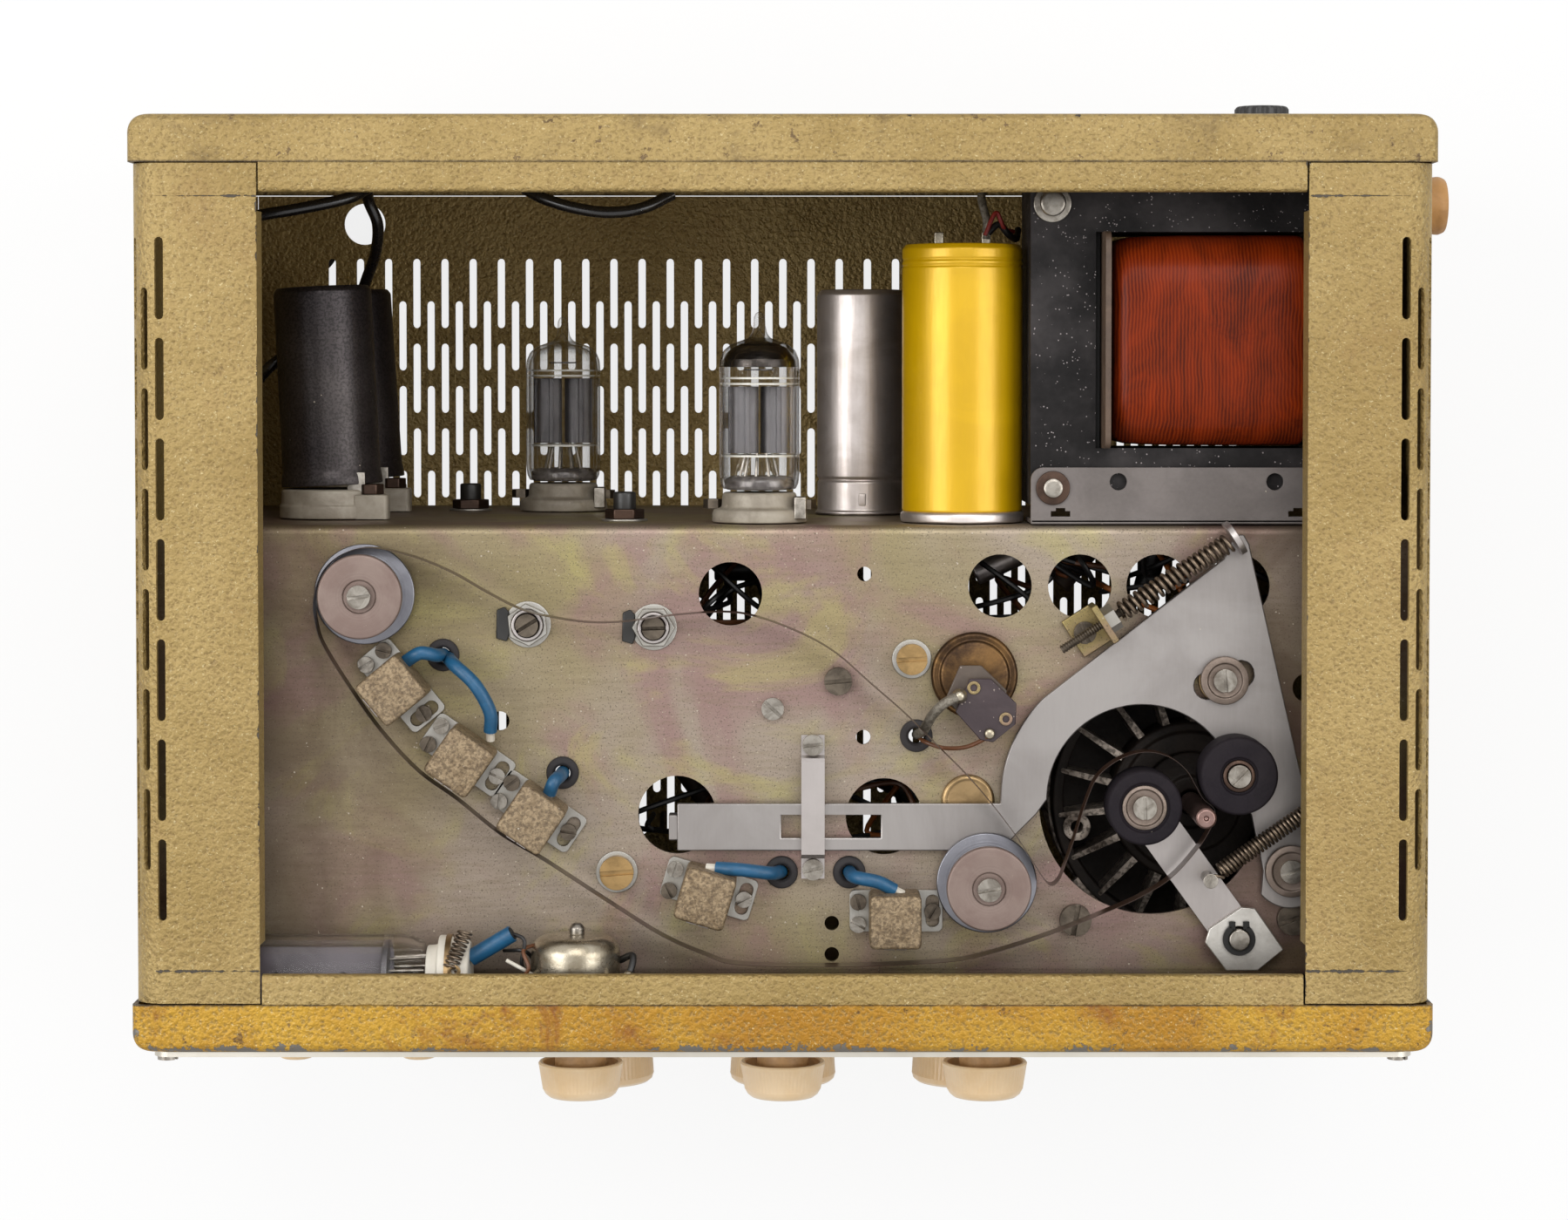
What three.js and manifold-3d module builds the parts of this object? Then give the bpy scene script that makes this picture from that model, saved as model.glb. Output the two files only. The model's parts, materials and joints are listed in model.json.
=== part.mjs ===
// Tape echo unit: a slotted sheet-steel case, open on top, with a tape deck and a valve amplifier inside.
// Millimetres, +Z up. The front panel faces -Y, and the unit stands on four rubber feet.
import * as THREE from 'three';
import { mergeGeometries, mergeVertices } from 'three/addons/utils/BufferGeometryUtils.js';
import Module from 'manifold-3d';

const wasm = await Module();
wasm.setup();

// Driving dimensions of the case
const openingWidth = 262.4;
const columnWidth = 32;
const bodyLength = 210.8;
const caseDepth = 172;
const footHeight = 5;
const sheet = 1.1;
const cornerRadius = 7.4;
const clearance = 0.3;
const overrun = 2;
const capReach = 12.3;
const capStep = 0.5;
const capSheet = 1.2;
const capCorner = 4.6;

// Slots of the ventilated walls
const slotLength = 20.6;
const slotWidth = 2.2;
const slotPitch = 8.36;
const slotRowPitch = 25.15;
const slotFieldShift = 1.25;
const slotRows = 7;
const openSlotRows = 4;
const slotColumnsEachSide = 16;
const sideSlotColumns = 3;

// Chassis
const deckDrop = 28;
const chassisSheet = 1.2;
const shelfFace = 13.8;
const chassisInset = 2.1;
const bendRadius = 2.4;

// Front panel and controls
const panelSheet = 1.3;
const panelInset = 4.2;
const panelCorner = 4;
const knobPitch = 53.5;
const lowerKnobPitch = 49.6;
const upperRowShare = 0.2791;
const lowerRowShare = 0.4535;
const keyRowShare = 0.5814;

// Derived frame of the case
const caseWidth = openingWidth + 2 * columnWidth;
const rim = footHeight + caseDepth;
const floorTop = footHeight + sheet;
const deckTop = rim - deckDrop;
const deckUnder = deckTop - chassisSheet;
const bodyBack = bodyLength / 2;
const bodyFront = -bodyBack;
const capInner = bodyBack + clearance;
const capBack = bodyBack + capReach;
const capFront = -capBack;
const panelBackFace = capFront - clearance;
const panelFace = panelBackFace - panelSheet;
const shelfBottom = floorTop + clearance;
const dropOf = (share) => share * caseDepth;
const upperRowDrop = dropOf(upperRowShare);
const lowerRowDrop = dropOf(lowerRowShare);
const keyRowDrop = dropOf(keyRowShare);

// Finishes, as colours seen in daylight
const finish = (hex, roughness, metalness) => new THREE.MeshStandardMaterial({
  color: new THREE.Color(hex),
  roughness,
  metalness,
});
const hammerGold = finish('#b89a62', 0.45, 0.6);
const hammerYellow = finish('#b89a4a', 0.45, 0.6);
const chromate = finish('#8f8459', 0.5, 0.8);
const zinc = finish('#a8a49c', 0.4, 0.9);
const brightSteel = finish('#b4b1ac', 0.35, 1);
const rollerMetal = finish('#a89890', 0.4, 0.9);
const headMetal = finish('#a39473', 0.5, 0.8);
const bronze = finish('#9a7646', 0.4, 0.9);
const panelMetal = finish('#c9c2b2', 0.3, 0.9);
const blackRubber = finish('#2b2829', 0.85, 0);
const rollerRubber = finish('#4b4650', 0.8, 0);
const creamPlastic = finish('#efdcb6', 0.45, 0);
const whitePlastic = finish('#e8e2d2', 0.45, 0);
const blackPlastic = finish('#1d1c1c', 0.5, 0);
const tapeBrown = finish('#3a2218', 0.35, 0);
const castGrey = finish('#9c9488', 0.55, 0.8);
const blackIron = finish('#232224', 0.6, 0.6);
const coilLacquer = finish('#8c320a', 0.35, 0);
const silverCan = finish('#b9b7b2', 0.35, 0.9);
const yellowPaint = finish('#ebcd00', 0.4, 0.2);
const glassClear = finish('#cfd6d4', 0.1, 0);
const ceramicWhite = finish('#e4e0d6', 0.5, 0);
const phenolic = finish('#3a2a30', 0.5, 0);
const darkCan = finish('#262626', 0.5, 0.6);

// Geometry helpers

const v2 = (x, y) => new THREE.Vector2(x, y);

// Welds a geometry to plain positions and an index, drops flat triangles and turns its faces outward
function weld(source) {
  const bare = new THREE.BufferGeometry();
  bare.setAttribute('position', source.getAttribute('position').clone());
  if (source.index) {
    bare.setIndex(source.index.clone());
  }
  const merged = mergeVertices(bare, 1e-4);
  const at = merged.getAttribute('position');
  const corners = [];
  let volume = 0;
  const a = new THREE.Vector3();
  const b = new THREE.Vector3();
  const c = new THREE.Vector3();
  for (let i = 0; i < merged.index.count; i += 3) {
    const [p, q, r] = [0, 1, 2].map((k) => merged.index.getX(i + k));
    if (p === q || q === r || r === p) {
      continue;
    }
    a.fromBufferAttribute(at, p);
    b.fromBufferAttribute(at, q);
    c.fromBufferAttribute(at, r);
    volume += a.dot(b.clone().cross(c));
    corners.push(p, q, r);
  }
  if (volume < 0) {
    for (let i = 0; i < corners.length; i += 3) {
      [corners[i], corners[i + 1]] = [corners[i + 1], corners[i]];
    }
  }
  merged.setIndex(corners);
  return merged;
}

const together = (...solids) => mergeGeometries(solids.flat().map(weld));

// Rotates about the vertical by degrees, then moves
function put(solid, x, y, z = 0, turn = 0) {
  return solid.clone().rotateZ(THREE.MathUtils.degToRad(turn)).translate(x, y, z);
}

// A section drawn in X and Y, raised from z0 to z1
function raise(section, z0, z1) {
  const shape = section instanceof THREE.Shape ? section : new THREE.Shape(section);
  const solid = new THREE.ExtrudeGeometry(shape, { depth: z1 - z0, bevelEnabled: false, curveSegments: 4 });
  return weld(solid.translate(0, 0, z0));
}

// A section drawn in X and Z, run along Y from y0 to y1
function alongY(section, y0, y1) {
  return raise(section, 0, y1 - y0).rotateX(Math.PI / 2).translate(0, y1, 0);
}

// A section drawn in Y and Z, run along X from x0 to x1
function alongX(section, x0, x1) {
  const cycle = new THREE.Matrix4().set(0, 0, 1, 0, 1, 0, 0, 0, 0, 1, 0, 0, 0, 0, 0, 1);
  return raise(section, 0, x1 - x0).applyMatrix4(cycle).translate(x0, 0, 0);
}

// Corners of a regular polygon that stands for a circle
function circle(x, y, radius, sides, turn = 0) {
  return Array.from({ length: sides }, (_, i) => {
    const angle = turn + (2 * Math.PI * (i + 0.5)) / sides;
    return v2(x + radius * Math.cos(angle), y + radius * Math.sin(angle));
  });
}

// Points of an arc in degrees
function arc(x, y, radius, from, to, steps) {
  return Array.from({ length: steps + 1 }, (_, i) => {
    const angle = THREE.MathUtils.degToRad(from + ((to - from) * i) / steps);
    return v2(x + radius * Math.cos(angle), y + radius * Math.sin(angle));
  });
}

const disc = (x, y, radius, z0, z1, sides = 8) => raise(circle(x, y, radius, sides), z0, z1);

const block = (x0, x1, y0, y1, z0, z1) => weld(
  new THREE.BoxGeometry(x1 - x0, y1 - y0, z1 - z0).translate((x0 + x1) / 2, (y0 + y1) / 2, (z0 + z1) / 2),
);

// A profile of radius and height pairs turned about Z
function turned(profile, sides) {
  return weld(new THREE.LatheGeometry(profile.map(([r, h]) => v2(r, h)), sides).rotateX(Math.PI / 2));
}

// Turned solids with their axis along Y, height running towards +Y
const turnedAlongY = (profile, sides) => turned(profile, sides).rotateX(-Math.PI / 2);

// Turned solids with their axis along X, height running towards +X
const turnedAlongX = (profile, sides) => turned(profile, sides).rotateY(Math.PI / 2);

// A bent sheet: the outside line and the same line moved inward by the thickness
function sheetSection(outside, thickness) {
  const inside = outside.map((point, i) => {
    const before = outside[Math.max(i - 1, 0)];
    const after = outside[Math.min(i + 1, outside.length - 1)];
    const into = point.clone().sub(before);
    const out = after.clone().sub(point);
    const first = into.length() > 0 ? into.normalize() : out.clone().normalize();
    const second = out.length() > 0 ? out.normalize() : first.clone();
    const normal = v2(first.y + second.y, -first.x - second.x).normalize();
    const lean = normal.dot(v2(first.y, -first.x));
    return point.clone().addScaledVector(normal, thickness / lean);
  });
  return new THREE.Shape([...outside, ...inside.reverse()]);
}

function solidOf(geometry) {
  const welded = weld(geometry);
  return new wasm.Manifold(new wasm.Mesh({
    numProp: 3,
    vertProperties: new Float32Array(welded.getAttribute('position').array),
    triVerts: new Uint32Array(welded.index.array),
  }));
}

function geometryOf(solid) {
  const mesh = solid.getMesh();
  const geometry = new THREE.BufferGeometry();
  geometry.setAttribute('position', new THREE.BufferAttribute(new Float32Array(mesh.vertProperties), 3));
  geometry.setIndex(new THREE.BufferAttribute(new Uint32Array(mesh.triVerts), 1));
  return geometry;
}

function cut(body, ...tools) {
  return geometryOf(tools.flat().reduce((left, tool) => left.subtract(solidOf(tool)), solidOf(body)));
}

const join = (...parts) => geometryOf(parts.flat().map(solidOf).reduce((sum, part) => sum.add(part)));

// A round wire through a list of points, as rings square to the way, carried on without twist
function wireThrough(points, radius, sides) {
  const positions = [];
  const index = [];
  const normal = new THREE.Vector3();
  points.forEach((point, i) => {
    const before = points[Math.max(i - 1, 0)];
    const after = points[Math.min(i + 1, points.length - 1)];
    const along = after.clone().sub(before).normalize();
    if (i === 0) {
      normal.set(-along.y, along.x, 0).normalize();
    }
    normal.addScaledVector(along, -normal.dot(along)).normalize();
    const beside = along.clone().cross(normal);
    for (let k = 0; k < sides; k += 1) {
      const around = (2 * Math.PI * k) / sides;
      const spot = point.clone()
        .addScaledVector(normal, radius * Math.cos(around))
        .addScaledVector(beside, radius * Math.sin(around));
      positions.push(spot);
      if (i < points.length - 1) {
        const here = i * sides + k;
        const next = i * sides + ((k + 1) % sides);
        index.push(here, next, here + sides, next, next + sides, here + sides);
      }
    }
  });
  const last = (points.length - 1) * sides;
  for (let k = 1; k < sides - 1; k += 1) {
    index.push(0, k + 1, k);
    index.push(last, last + k, last + k + 1);
  }
  const geometry = new THREE.BufferGeometry().setFromPoints(positions);
  geometry.setIndex(index);
  return weld(geometry);
}

// Centre line of a spring between two points, with a straight leg on its axis at each end
function springLine(start, end, size) {
  const axis = end.clone().sub(start).normalize();
  const side = new THREE.Vector3(-axis.y, axis.x, 0).normalize();
  const up = axis.clone().cross(side);
  const run = start.distanceTo(end) - 2 * size.leg;
  const count = size.turns * size.stepsPerTurn;
  const coil = Array.from({ length: count + 1 }, (_, i) => {
    const angle = (2 * Math.PI * i) / size.stepsPerTurn;
    return start.clone()
      .addScaledVector(axis, size.leg + (run * i) / count)
      .addScaledVector(side, size.radius * Math.cos(angle))
      .addScaledVector(up, size.radius * Math.sin(angle));
  });
  if (size.leg === 0) {
    return coil;
  }
  const legs = [start.clone(), start.clone().addScaledVector(axis, size.leg - size.bend)];
  const tail = [end.clone().addScaledVector(axis, size.bend - size.leg), end.clone()];
  return [...legs, ...coil, ...tail];
}

// Least gap of a wire to itself, measured between points at least half a turn apart along the way
function leastSelfGap(points, size) {
  let least = Infinity;
  const apart = size.stepsPerTurn / 2;
  points.forEach((point, i) => {
    for (let j = i + apart; j < points.length; j += 1) {
      least = Math.min(least, point.distanceTo(points[j]) - 2 * size.wire);
    }
  });
  return least;
}

function spring(name, start, end, size) {
  const line = springLine(start, end, size);
  console.log(`${name}: least gap to itself ${leastSelfGap(line, size).toFixed(2)} mm`);
  return wireThrough(line, size.wire, size.sides);
}

// The unit's scene graph. Its origin is the middle of the footprint on the floor.
const unit = new THREE.Group();

function piece(name, geometry, material) {
  const mesh = new THREE.Mesh(weld(geometry), material);
  mesh.name = name;
  unit.add(mesh);
}

// Places on the deck are shares of the opening width and the body length, from the middle of the case.
// Places on the shelf and the front panel are shares of the opening width and of the case depth below the rim.
const deckX = (share) => share * openingWidth;
const deckY = (share) => share * bodyLength;
const deckAt = ([xShare, yShare]) => [deckX(xShare), deckY(yShare)];

// Case: slotted bottom wall between two bent side walls

function slotTools(columnX, rowShift, rows, reach) {
  const tools = [];
  const top = slotFieldShift + ((slotRows - 1) * slotRowPitch + slotLength) / 2 - rowShift;
  for (let row = 0; row < rows; row += 1) {
    const y1 = top - row * slotRowPitch;
    tools.push(block(columnX - slotWidth / 2, columnX + slotWidth / 2, y1 - slotLength, y1, -reach, reach));
  }
  return tools;
}

const bottomHalf = caseWidth / 2 - cornerRadius - clearance;
const plugHole = { radius: 6.1, xShare: -0.4725, inset: 8.2 };

function caseBottom() {
  const plate = block(-bottomHalf, bottomHalf, bodyFront, bodyBack, footHeight, floorTop);
  const tools = [];
  for (let k = -slotColumnsEachSide; k <= slotColumnsEachSide; k += 1) {
    tools.push(...slotTools(k * slotPitch, 0, openSlotRows, rim));
    if (k < slotColumnsEachSide) {
      tools.push(...slotTools((k + 0.5) * slotPitch, slotRowPitch / 2, openSlotRows - 1, rim));
    }
  }
  const hole = disc(plugHole.xShare * openingWidth, bodyBack - plugHole.inset, plugHole.radius, 0, rim, 12);
  return cut(plate, together(tools), hole);
}

const lip = { depth: 8, endBack: 11.9, endFront: 14.7 };

function caseSide() {
  const outer = caseWidth / 2;
  const flat = outer - cornerRadius;
  const inner = openingWidth / 2;
  const outline = [
    ...arc(flat, footHeight + cornerRadius, cornerRadius, -90, 0, 3),
    ...arc(flat, rim - cornerRadius, cornerRadius, 0, 90, 4),
    v2(inner, rim),
    v2(inner, rim - lip.depth),
  ].reverse();
  const wall = alongY(sheetSection(outline, sheet), bodyFront, bodyBack);
  const notchZ = rim - sheet - overrun / 4;
  const lipOuter = inner + sheet + clearance;
  const notches = [
    block(inner - overrun, lipOuter, bodyBack - lip.endBack, bodyBack + overrun, rim - lip.depth - overrun, notchZ),
    block(inner - overrun, lipOuter, bodyFront - overrun, bodyFront + lip.endFront, rim - lip.depth - overrun, notchZ),
  ];
  const slots = [];
  for (let column = 0; column < sideSlotColumns; column += 1) {
    const run = (column * slotPitch) / 2;
    const angle = Math.min(run / cornerRadius, Math.PI / 2);
    const beyond = Math.max(run - (cornerRadius * Math.PI) / 2, 0);
    const rows = column % 2 === 0 ? slotRows : slotRows - 1;
    const shift = column % 2 === 0 ? 0 : slotRowPitch / 2;
    for (const tool of slotTools(0, shift, rows, sheet * 2)) {
      slots.push(tool.translate(0, 0, cornerRadius).rotateY(angle).translate(flat, 0, rim - cornerRadius - beyond));
    }
  }
  return cut(wall, ...notches, ...slots);
}

const sidePair = caseSide();
const mirrored = (geometry) => weld(geometry.clone().scale(-1, 1, 1));

// Caps: shallow trays that close the front and the back of the body

function capTray(faceHole) {
  const half = caseWidth / 2 + capStep;
  const tray = (width, y0, y1, corner) => new THREE.Shape([
    v2(-width, y0),
    ...arc(-width + corner, y1 - corner, corner, 180, 90, 4),
    ...arc(width - corner, y1 - corner, corner, 90, 0, 4),
    v2(width, y0),
  ]);
  const outside = raise(tray(half, capInner, capBack, capCorner), footHeight - capStep, rim + capStep);
  const mouth = tray(half - capSheet, capInner - overrun, capBack - capSheet, capCorner - capSheet);
  const inside = raise(mouth, footHeight + capSheet, rim + capStep - capSheet);
  const tools = faceHole ? [inside, faceHole] : [inside];
  return join(cut(outside, tools), sillStrip());
}

const capBorder = 7;
const frontWindow = block(
  -caseWidth / 2 + capBorder, caseWidth / 2 - capBorder, 0, caseWidth, footHeight + capBorder, rim - capBorder,
);

// Sills: rolled strips that close the ends of the opening between the columns

const sill = { width: 8.2, leg: 6, roll: 2, tuck: 2 };

function sillStrip() {
  const inner = bodyBack - sill.width;
  const outline = [
    v2(inner, rim - sill.leg),
    ...arc(inner + sill.roll, rim - sill.roll, sill.roll, 180, 90, 4),
    v2(capInner + sill.tuck, rim),
  ];
  const half = openingWidth / 2 - clearance;
  return alongX(sheetSection(outline, sheet), -half, half);
}

// Feet under the bottom wall, and the round bumper on the right side wall

const foot = { radius: 8.5, base: 7.6, inset: 15 };
const bumper = { radius: 7.8, length: 11, drop: 50, inset: 8.4, edge: 1 };

const footProfile = [[0, 0], [foot.base, 0], [foot.radius, footHeight - clearance], [0, footHeight - clearance]];
const footX = bottomHalf - foot.inset;
const footY = bodyBack - foot.inset;
const footPlaces = [[-footX, -footY], [footX, -footY], [-footX, footY], [footX, footY]];

function sideBumper() {
  const stub = turnedAlongX([
    [0, clearance], [bumper.radius, clearance], [bumper.radius, bumper.length - bumper.edge],
    [bumper.radius - bumper.edge, bumper.length], [0, bumper.length],
  ], 12);
  return put(stub, caseWidth / 2, bodyBack - bumper.inset, rim - bumper.drop);
}

// Black screw cap of the fuse holder on the back cap

const fuse = { radius: 7.4, flange: 8.2, flangeThickness: 2, length: 8.2, drop: 90, inset: 32, ribs: 9 };

function fuseCap() {
  const outline = Array.from({ length: fuse.ribs * 2 }, (_, i) => {
    const radius = i % 2 === 0 ? fuse.radius : fuse.radius * 0.9;
    const angle = (Math.PI * i) / fuse.ribs;
    return v2(radius * Math.cos(angle), radius * Math.sin(angle));
  });
  const grip = raise(outline, fuse.flangeThickness, fuse.length);
  const flange = disc(0, 0, fuse.flange, clearance, fuse.flangeThickness, 12);
  return join(grip, flange).rotateX(-Math.PI / 2).translate(caseWidth / 2 - fuse.inset, capBack, rim - fuse.drop);
}

// Chassis: one folded plate with the deck on top, the valve shelf at the back and a wall at the front

const chassisHalf = caseWidth / 2 - sheet - clearance;
const chassisFront = bodyFront + chassisInset;
const deckHole = { lead: 8.2, left: 10.1, right: 9.9, pin: 1.9, screw: 2.5, side: 3.8, motor: 29 };
const bigHoles = [
  [-0.0514, -0.0185, deckHole.lead], [0.2138, -0.009, deckHole.lead], [0.2923, -0.009, deckHole.lead],
  [0.3693, -0.009, deckHole.lead], [0.4478, -0.009, deckHole.lead],
  [-0.104, -0.2899, deckHole.left], [0.0998, -0.2918, deckHole.right],
];
const smallHoles = [
  [0.0804, 0.0057, deckHole.pin], [0.0793, -0.1944, deckHole.pin], [0.0484, -0.4236, deckHole.pin],
  [-0.2786, -0.1745, deckHole.screw], [0.5164, -0.1338, deckHole.side],
];
const motorHole = [0.3632, -0.2747, deckHole.motor];
const grommetHoleShares = [
  [-0.3342, -0.0935], [-0.2168, -0.2381], [-0.0011, -0.3605], [0.0655, -0.3605], [0.1315, -0.1926],
];
const grommet = { neck: 3 };

function chassisPlate() {
  const sunk = deckTop - chassisSheet / 2;
  const outline = [
    v2(chassisFront, shelfBottom),
    ...arc(chassisFront + bendRadius, deckTop - bendRadius, bendRadius, 180, 90, 3),
    ...arc(shelfFace - bendRadius, deckTop - bendRadius, bendRadius, 90, 0, 3),
    v2(shelfFace, shelfBottom),
  ];
  const plate = alongX(sheetSection(outline, chassisSheet), -chassisHalf, chassisHalf);
  const hole = ([xShare, yShare, radius], sides) => disc(
    deckX(xShare), deckY(yShare), radius, deckUnder - overrun, deckTop + overrun, sides,
  );
  const grommetHole = ([xShare, yShare]) => disc(
    deckX(xShare), deckY(yShare), grommet.neck + clearance, deckUnder - overrun, deckTop + overrun, 8,
  );
  const pierced = cut(plate, together(
    bigHoles.map((place) => hole(place, 12)),
    smallHoles.map((place) => hole(place, 6)),
    hole(motorHole, 20),
    grommetHoleShares.map(grommetHole),
  ));
  const cornerX = caseWidth / 2 - cornerRadius - clearance;
  const corner = block(cornerX, caseWidth, bodyFront, bodyBack, 0, footHeight + cornerRadius);
  return join(cut(pierced, corner, mirrored(corner)), deckFittings(sunk), shelfFittings());
}

// Magnetic heads on adjusting plates. Each turns about the vertical, and its gap faces its own -Y.

const head = { width: 13.2, length: 13.7, height: 16, round: 3 };
const headPlate = { left: 10.6, right: 12, front: 4.4, back: 6.4, lift: 0.3, thickness: 1.2 };
const headPlaceShares = [
  [-0.3796, -0.1314], [-0.314, -0.2182], [-0.2443, -0.2874], [-0.0755, -0.3838], [0.1098, -0.4123],
];
const headTurns = [-50.4, -35, -34, -16.7, 0];

function headBlock() {
  const halfLength = head.length / 2;
  const section = [
    v2(-halfLength, headPlate.lift), v2(halfLength, headPlate.lift), v2(halfLength, head.height - head.round),
    ...arc(halfLength - head.round, head.height - head.round, head.round, 0, 90, 3).slice(1),
    v2(-halfLength, head.height),
  ];
  const plate = block(
    -headPlate.left, headPlate.right, -headPlate.front, headPlate.back,
    headPlate.lift, headPlate.lift + headPlate.thickness,
  );
  return join(alongX(section, -head.width / 2, head.width / 2), plate);
}

// Guide rollers on fixed studs, with a flange below and a disc on top

const guide = {
  radius: 10.8, core: 8.6, flange: 12.9, bore: 2.6, flangeThickness: 1.5,
  height: 17, discThickness: 2.6,
};
const guideShares = [[-0.4093, -0.0176], [0.2001, -0.3704]];
const stud = { radius: 2.2, headRadius: 3.1, headHeight: 1.8, collar: 4.6, collarHeight: 2 };

function guideRoller() {
  const low = leverHigh + clearance;
  const profile = [
    [guide.bore, low], [guide.flange, low], [guide.flange, low + guide.flangeThickness],
    [guide.core, low + guide.flangeThickness], [guide.core, deckTop + guide.height - guide.discThickness],
    [guide.radius, deckTop + guide.height - guide.discThickness], [guide.radius, deckTop + guide.height],
    [guide.bore, deckTop + guide.height], [guide.bore, low],
  ];
  return turned(profile, 16);
}

function guideStud(share, low) {
  const top = deckTop + guide.height + clearance;
  const profile = [
    [0, low], [stud.collar, low], [stud.collar, deckTop + stud.collarHeight],
    [stud.radius, deckTop + stud.collarHeight],
    [stud.radius, top], [stud.headRadius, top], [stud.headRadius, top + stud.headHeight],
    [0, top + stud.headHeight],
  ];
  return put(turned(profile, 10), ...deckAt(share));
}

// Capstan and drive motor

const motorAxisShare = [0.4089, -0.2832];
const capstan = { radius: 2.7, top: 20, footDrop: 15.6 };
const motor = {
  radius: 36, hub: 21, ringInner: 13.3, ringOuter: 18.3, ringHeight: 1.2, hubDrop: 17, rimDrop: 21.5,
  length: 66, ribs: 9, ribWidth: 2.4, rimWidth: 3, floorDrop: 26, boss: 6.5, bore: 3.2, boreDepth: 5,
};
const pillarShares = [[0.2885, -0.4189], [0.5027, -0.4175], [0.4329, -0.1229]];
const pillar = { radius: 4.2, thickness: 4 };
const [motorX, motorY] = deckAt(motorAxisShare);

function motorHousing() {
  const top = deckTop - motor.hubDrop;
  const ring = top + motor.ringHeight;
  const profile = [
    [0, top - motor.boreDepth], [motor.bore, top - motor.boreDepth], [motor.bore, ring], [motor.boss, ring],
    [motor.boss, top], [motor.ringInner, top], [motor.ringInner, ring], [motor.ringOuter, ring],
    [motor.ringOuter, top], [motor.hub, top], [motor.hub, deckTop - motor.floorDrop],
    [motor.radius - motor.rimWidth, deckTop - motor.floorDrop],
    [motor.radius - motor.rimWidth, deckTop - motor.rimDrop],
    [motor.radius, deckTop - motor.rimDrop], [motor.radius, top - motor.length + motor.rimWidth],
    [motor.radius - motor.rimWidth, top - motor.length], [0, top - motor.length],
  ];
  const body = turned(profile, 18).translate(motorX, motorY, 0);
  const ribs = Array.from({ length: motor.ribs }, (_, i) => {
    const rib = block(
      motor.hub - overrun, motor.radius - motor.rimWidth / 2, -motor.ribWidth / 2, motor.ribWidth / 2,
      deckTop - motor.floorDrop - overrun, deckTop - motor.rimDrop,
    );
    return put(rib, motorX, motorY, 0, (360 * i) / motor.ribs);
  });
  const lugs = pillarShares.map((share) => {
    const [x, y] = deckAt(share);
    const angle = THREE.MathUtils.radToDeg(Math.atan2(y - motorY, x - motorX));
    const reach = Math.hypot(x - motorX, y - motorY);
    const arm = block(
      motor.radius - motor.rimWidth, reach, -pillar.radius, pillar.radius,
      deckTop - motor.rimDrop - pillar.thickness, deckTop - motor.rimDrop - clearance / 2,
    );
    return [
      put(arm, motorX, motorY, 0, angle),
      disc(x, y, pillar.radius, deckTop - motor.rimDrop - pillar.thickness, deckUnder - clearance, 8),
    ];
  });
  return join(body, ribs, lugs.flat());
}

function capstanShaft() {
  const foot = -capstan.footDrop;
  return turned([
    [0, foot], [capstan.radius, foot], [capstan.radius, capstan.top - capstan.radius / 4],
    [capstan.radius * 0.75, capstan.top], [0, capstan.top],
  ], 12);
}

// Pinch lever: a flat plate that swings on a bush by the right column and carries a rubber roller

const lever = {
  lift: 1.8, thickness: 2, armTopShare: -0.2742, armBottomShare: -0.3321, armLeftShare: -0.1037,
  pivotRound: 9.8, pivotFrom: 40, pivotTo: -140, innerArch: 24.4, archFrom: 0, archTo: 180, outerArch: 36.4,
  outerTo: 134, slotReach: 8, slotHalf: 3.4, tabWidth: 4.2, tabDrop: 9, rodLug: 9, rodLugThickness: 2,
};
const leverPivotShare = [0.4989, -0.3563];
const leverTipShare = [0.4455, 0.054];
const archShare = [0.3525, -0.269];
const bushShare = [0.4329, -0.1229];
const leverBush = { bore: 4.6, neck: 4.3, shoulder: 6.7, shoulderHeight: 2.2 };
const slideBush = { neck: 3, shoulder: 6.2, shoulderHeight: 2.1 };
const secondRoller = { radius: 9.95, bore: 2.8, height: 11.3, lift: 1 };
const tapeGap = 0.9;
const secondRollerTurn = 49.4;
const [leverX, leverY] = deckAt(leverPivotShare);
const armTop = deckY(lever.armTopShare);
const armBottom = deckY(lever.armBottomShare);
const armLeft = deckX(lever.armLeftShare);
const leverLow = deckTop + lever.lift;
const leverHigh = leverLow + lever.thickness;
const rollerReach = capstan.radius + secondRoller.radius + tapeGap;
const secondX = motorX + rollerReach * Math.cos(THREE.MathUtils.degToRad(secondRollerTurn));
const secondY = motorY + rollerReach * Math.sin(THREE.MathUtils.degToRad(secondRollerTurn));
const secondTop = leverHigh + secondRoller.lift + secondRoller.height;

// Outline points of the plate, as shares of the opening width
const leverTipShares = [[0.4318, 0.0251], [0.4432, 0.0537], [0.4518, 0.0545], [0.4569, 0.0432]];
const leverRightShares = [[0.5088, -0.24]];
const leverBranchShares = [[0.4722, -0.3568], [0.4604, -0.2874]];
const leverArmShares = [[0.2489, -0.2874], [0.2306, -0.3102]];
const leverWindowShares = [[-0.0015, -0.2879], [0.0964, -0.2879], [0.0964, -0.3164], [-0.0015, -0.3164]];

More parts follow.
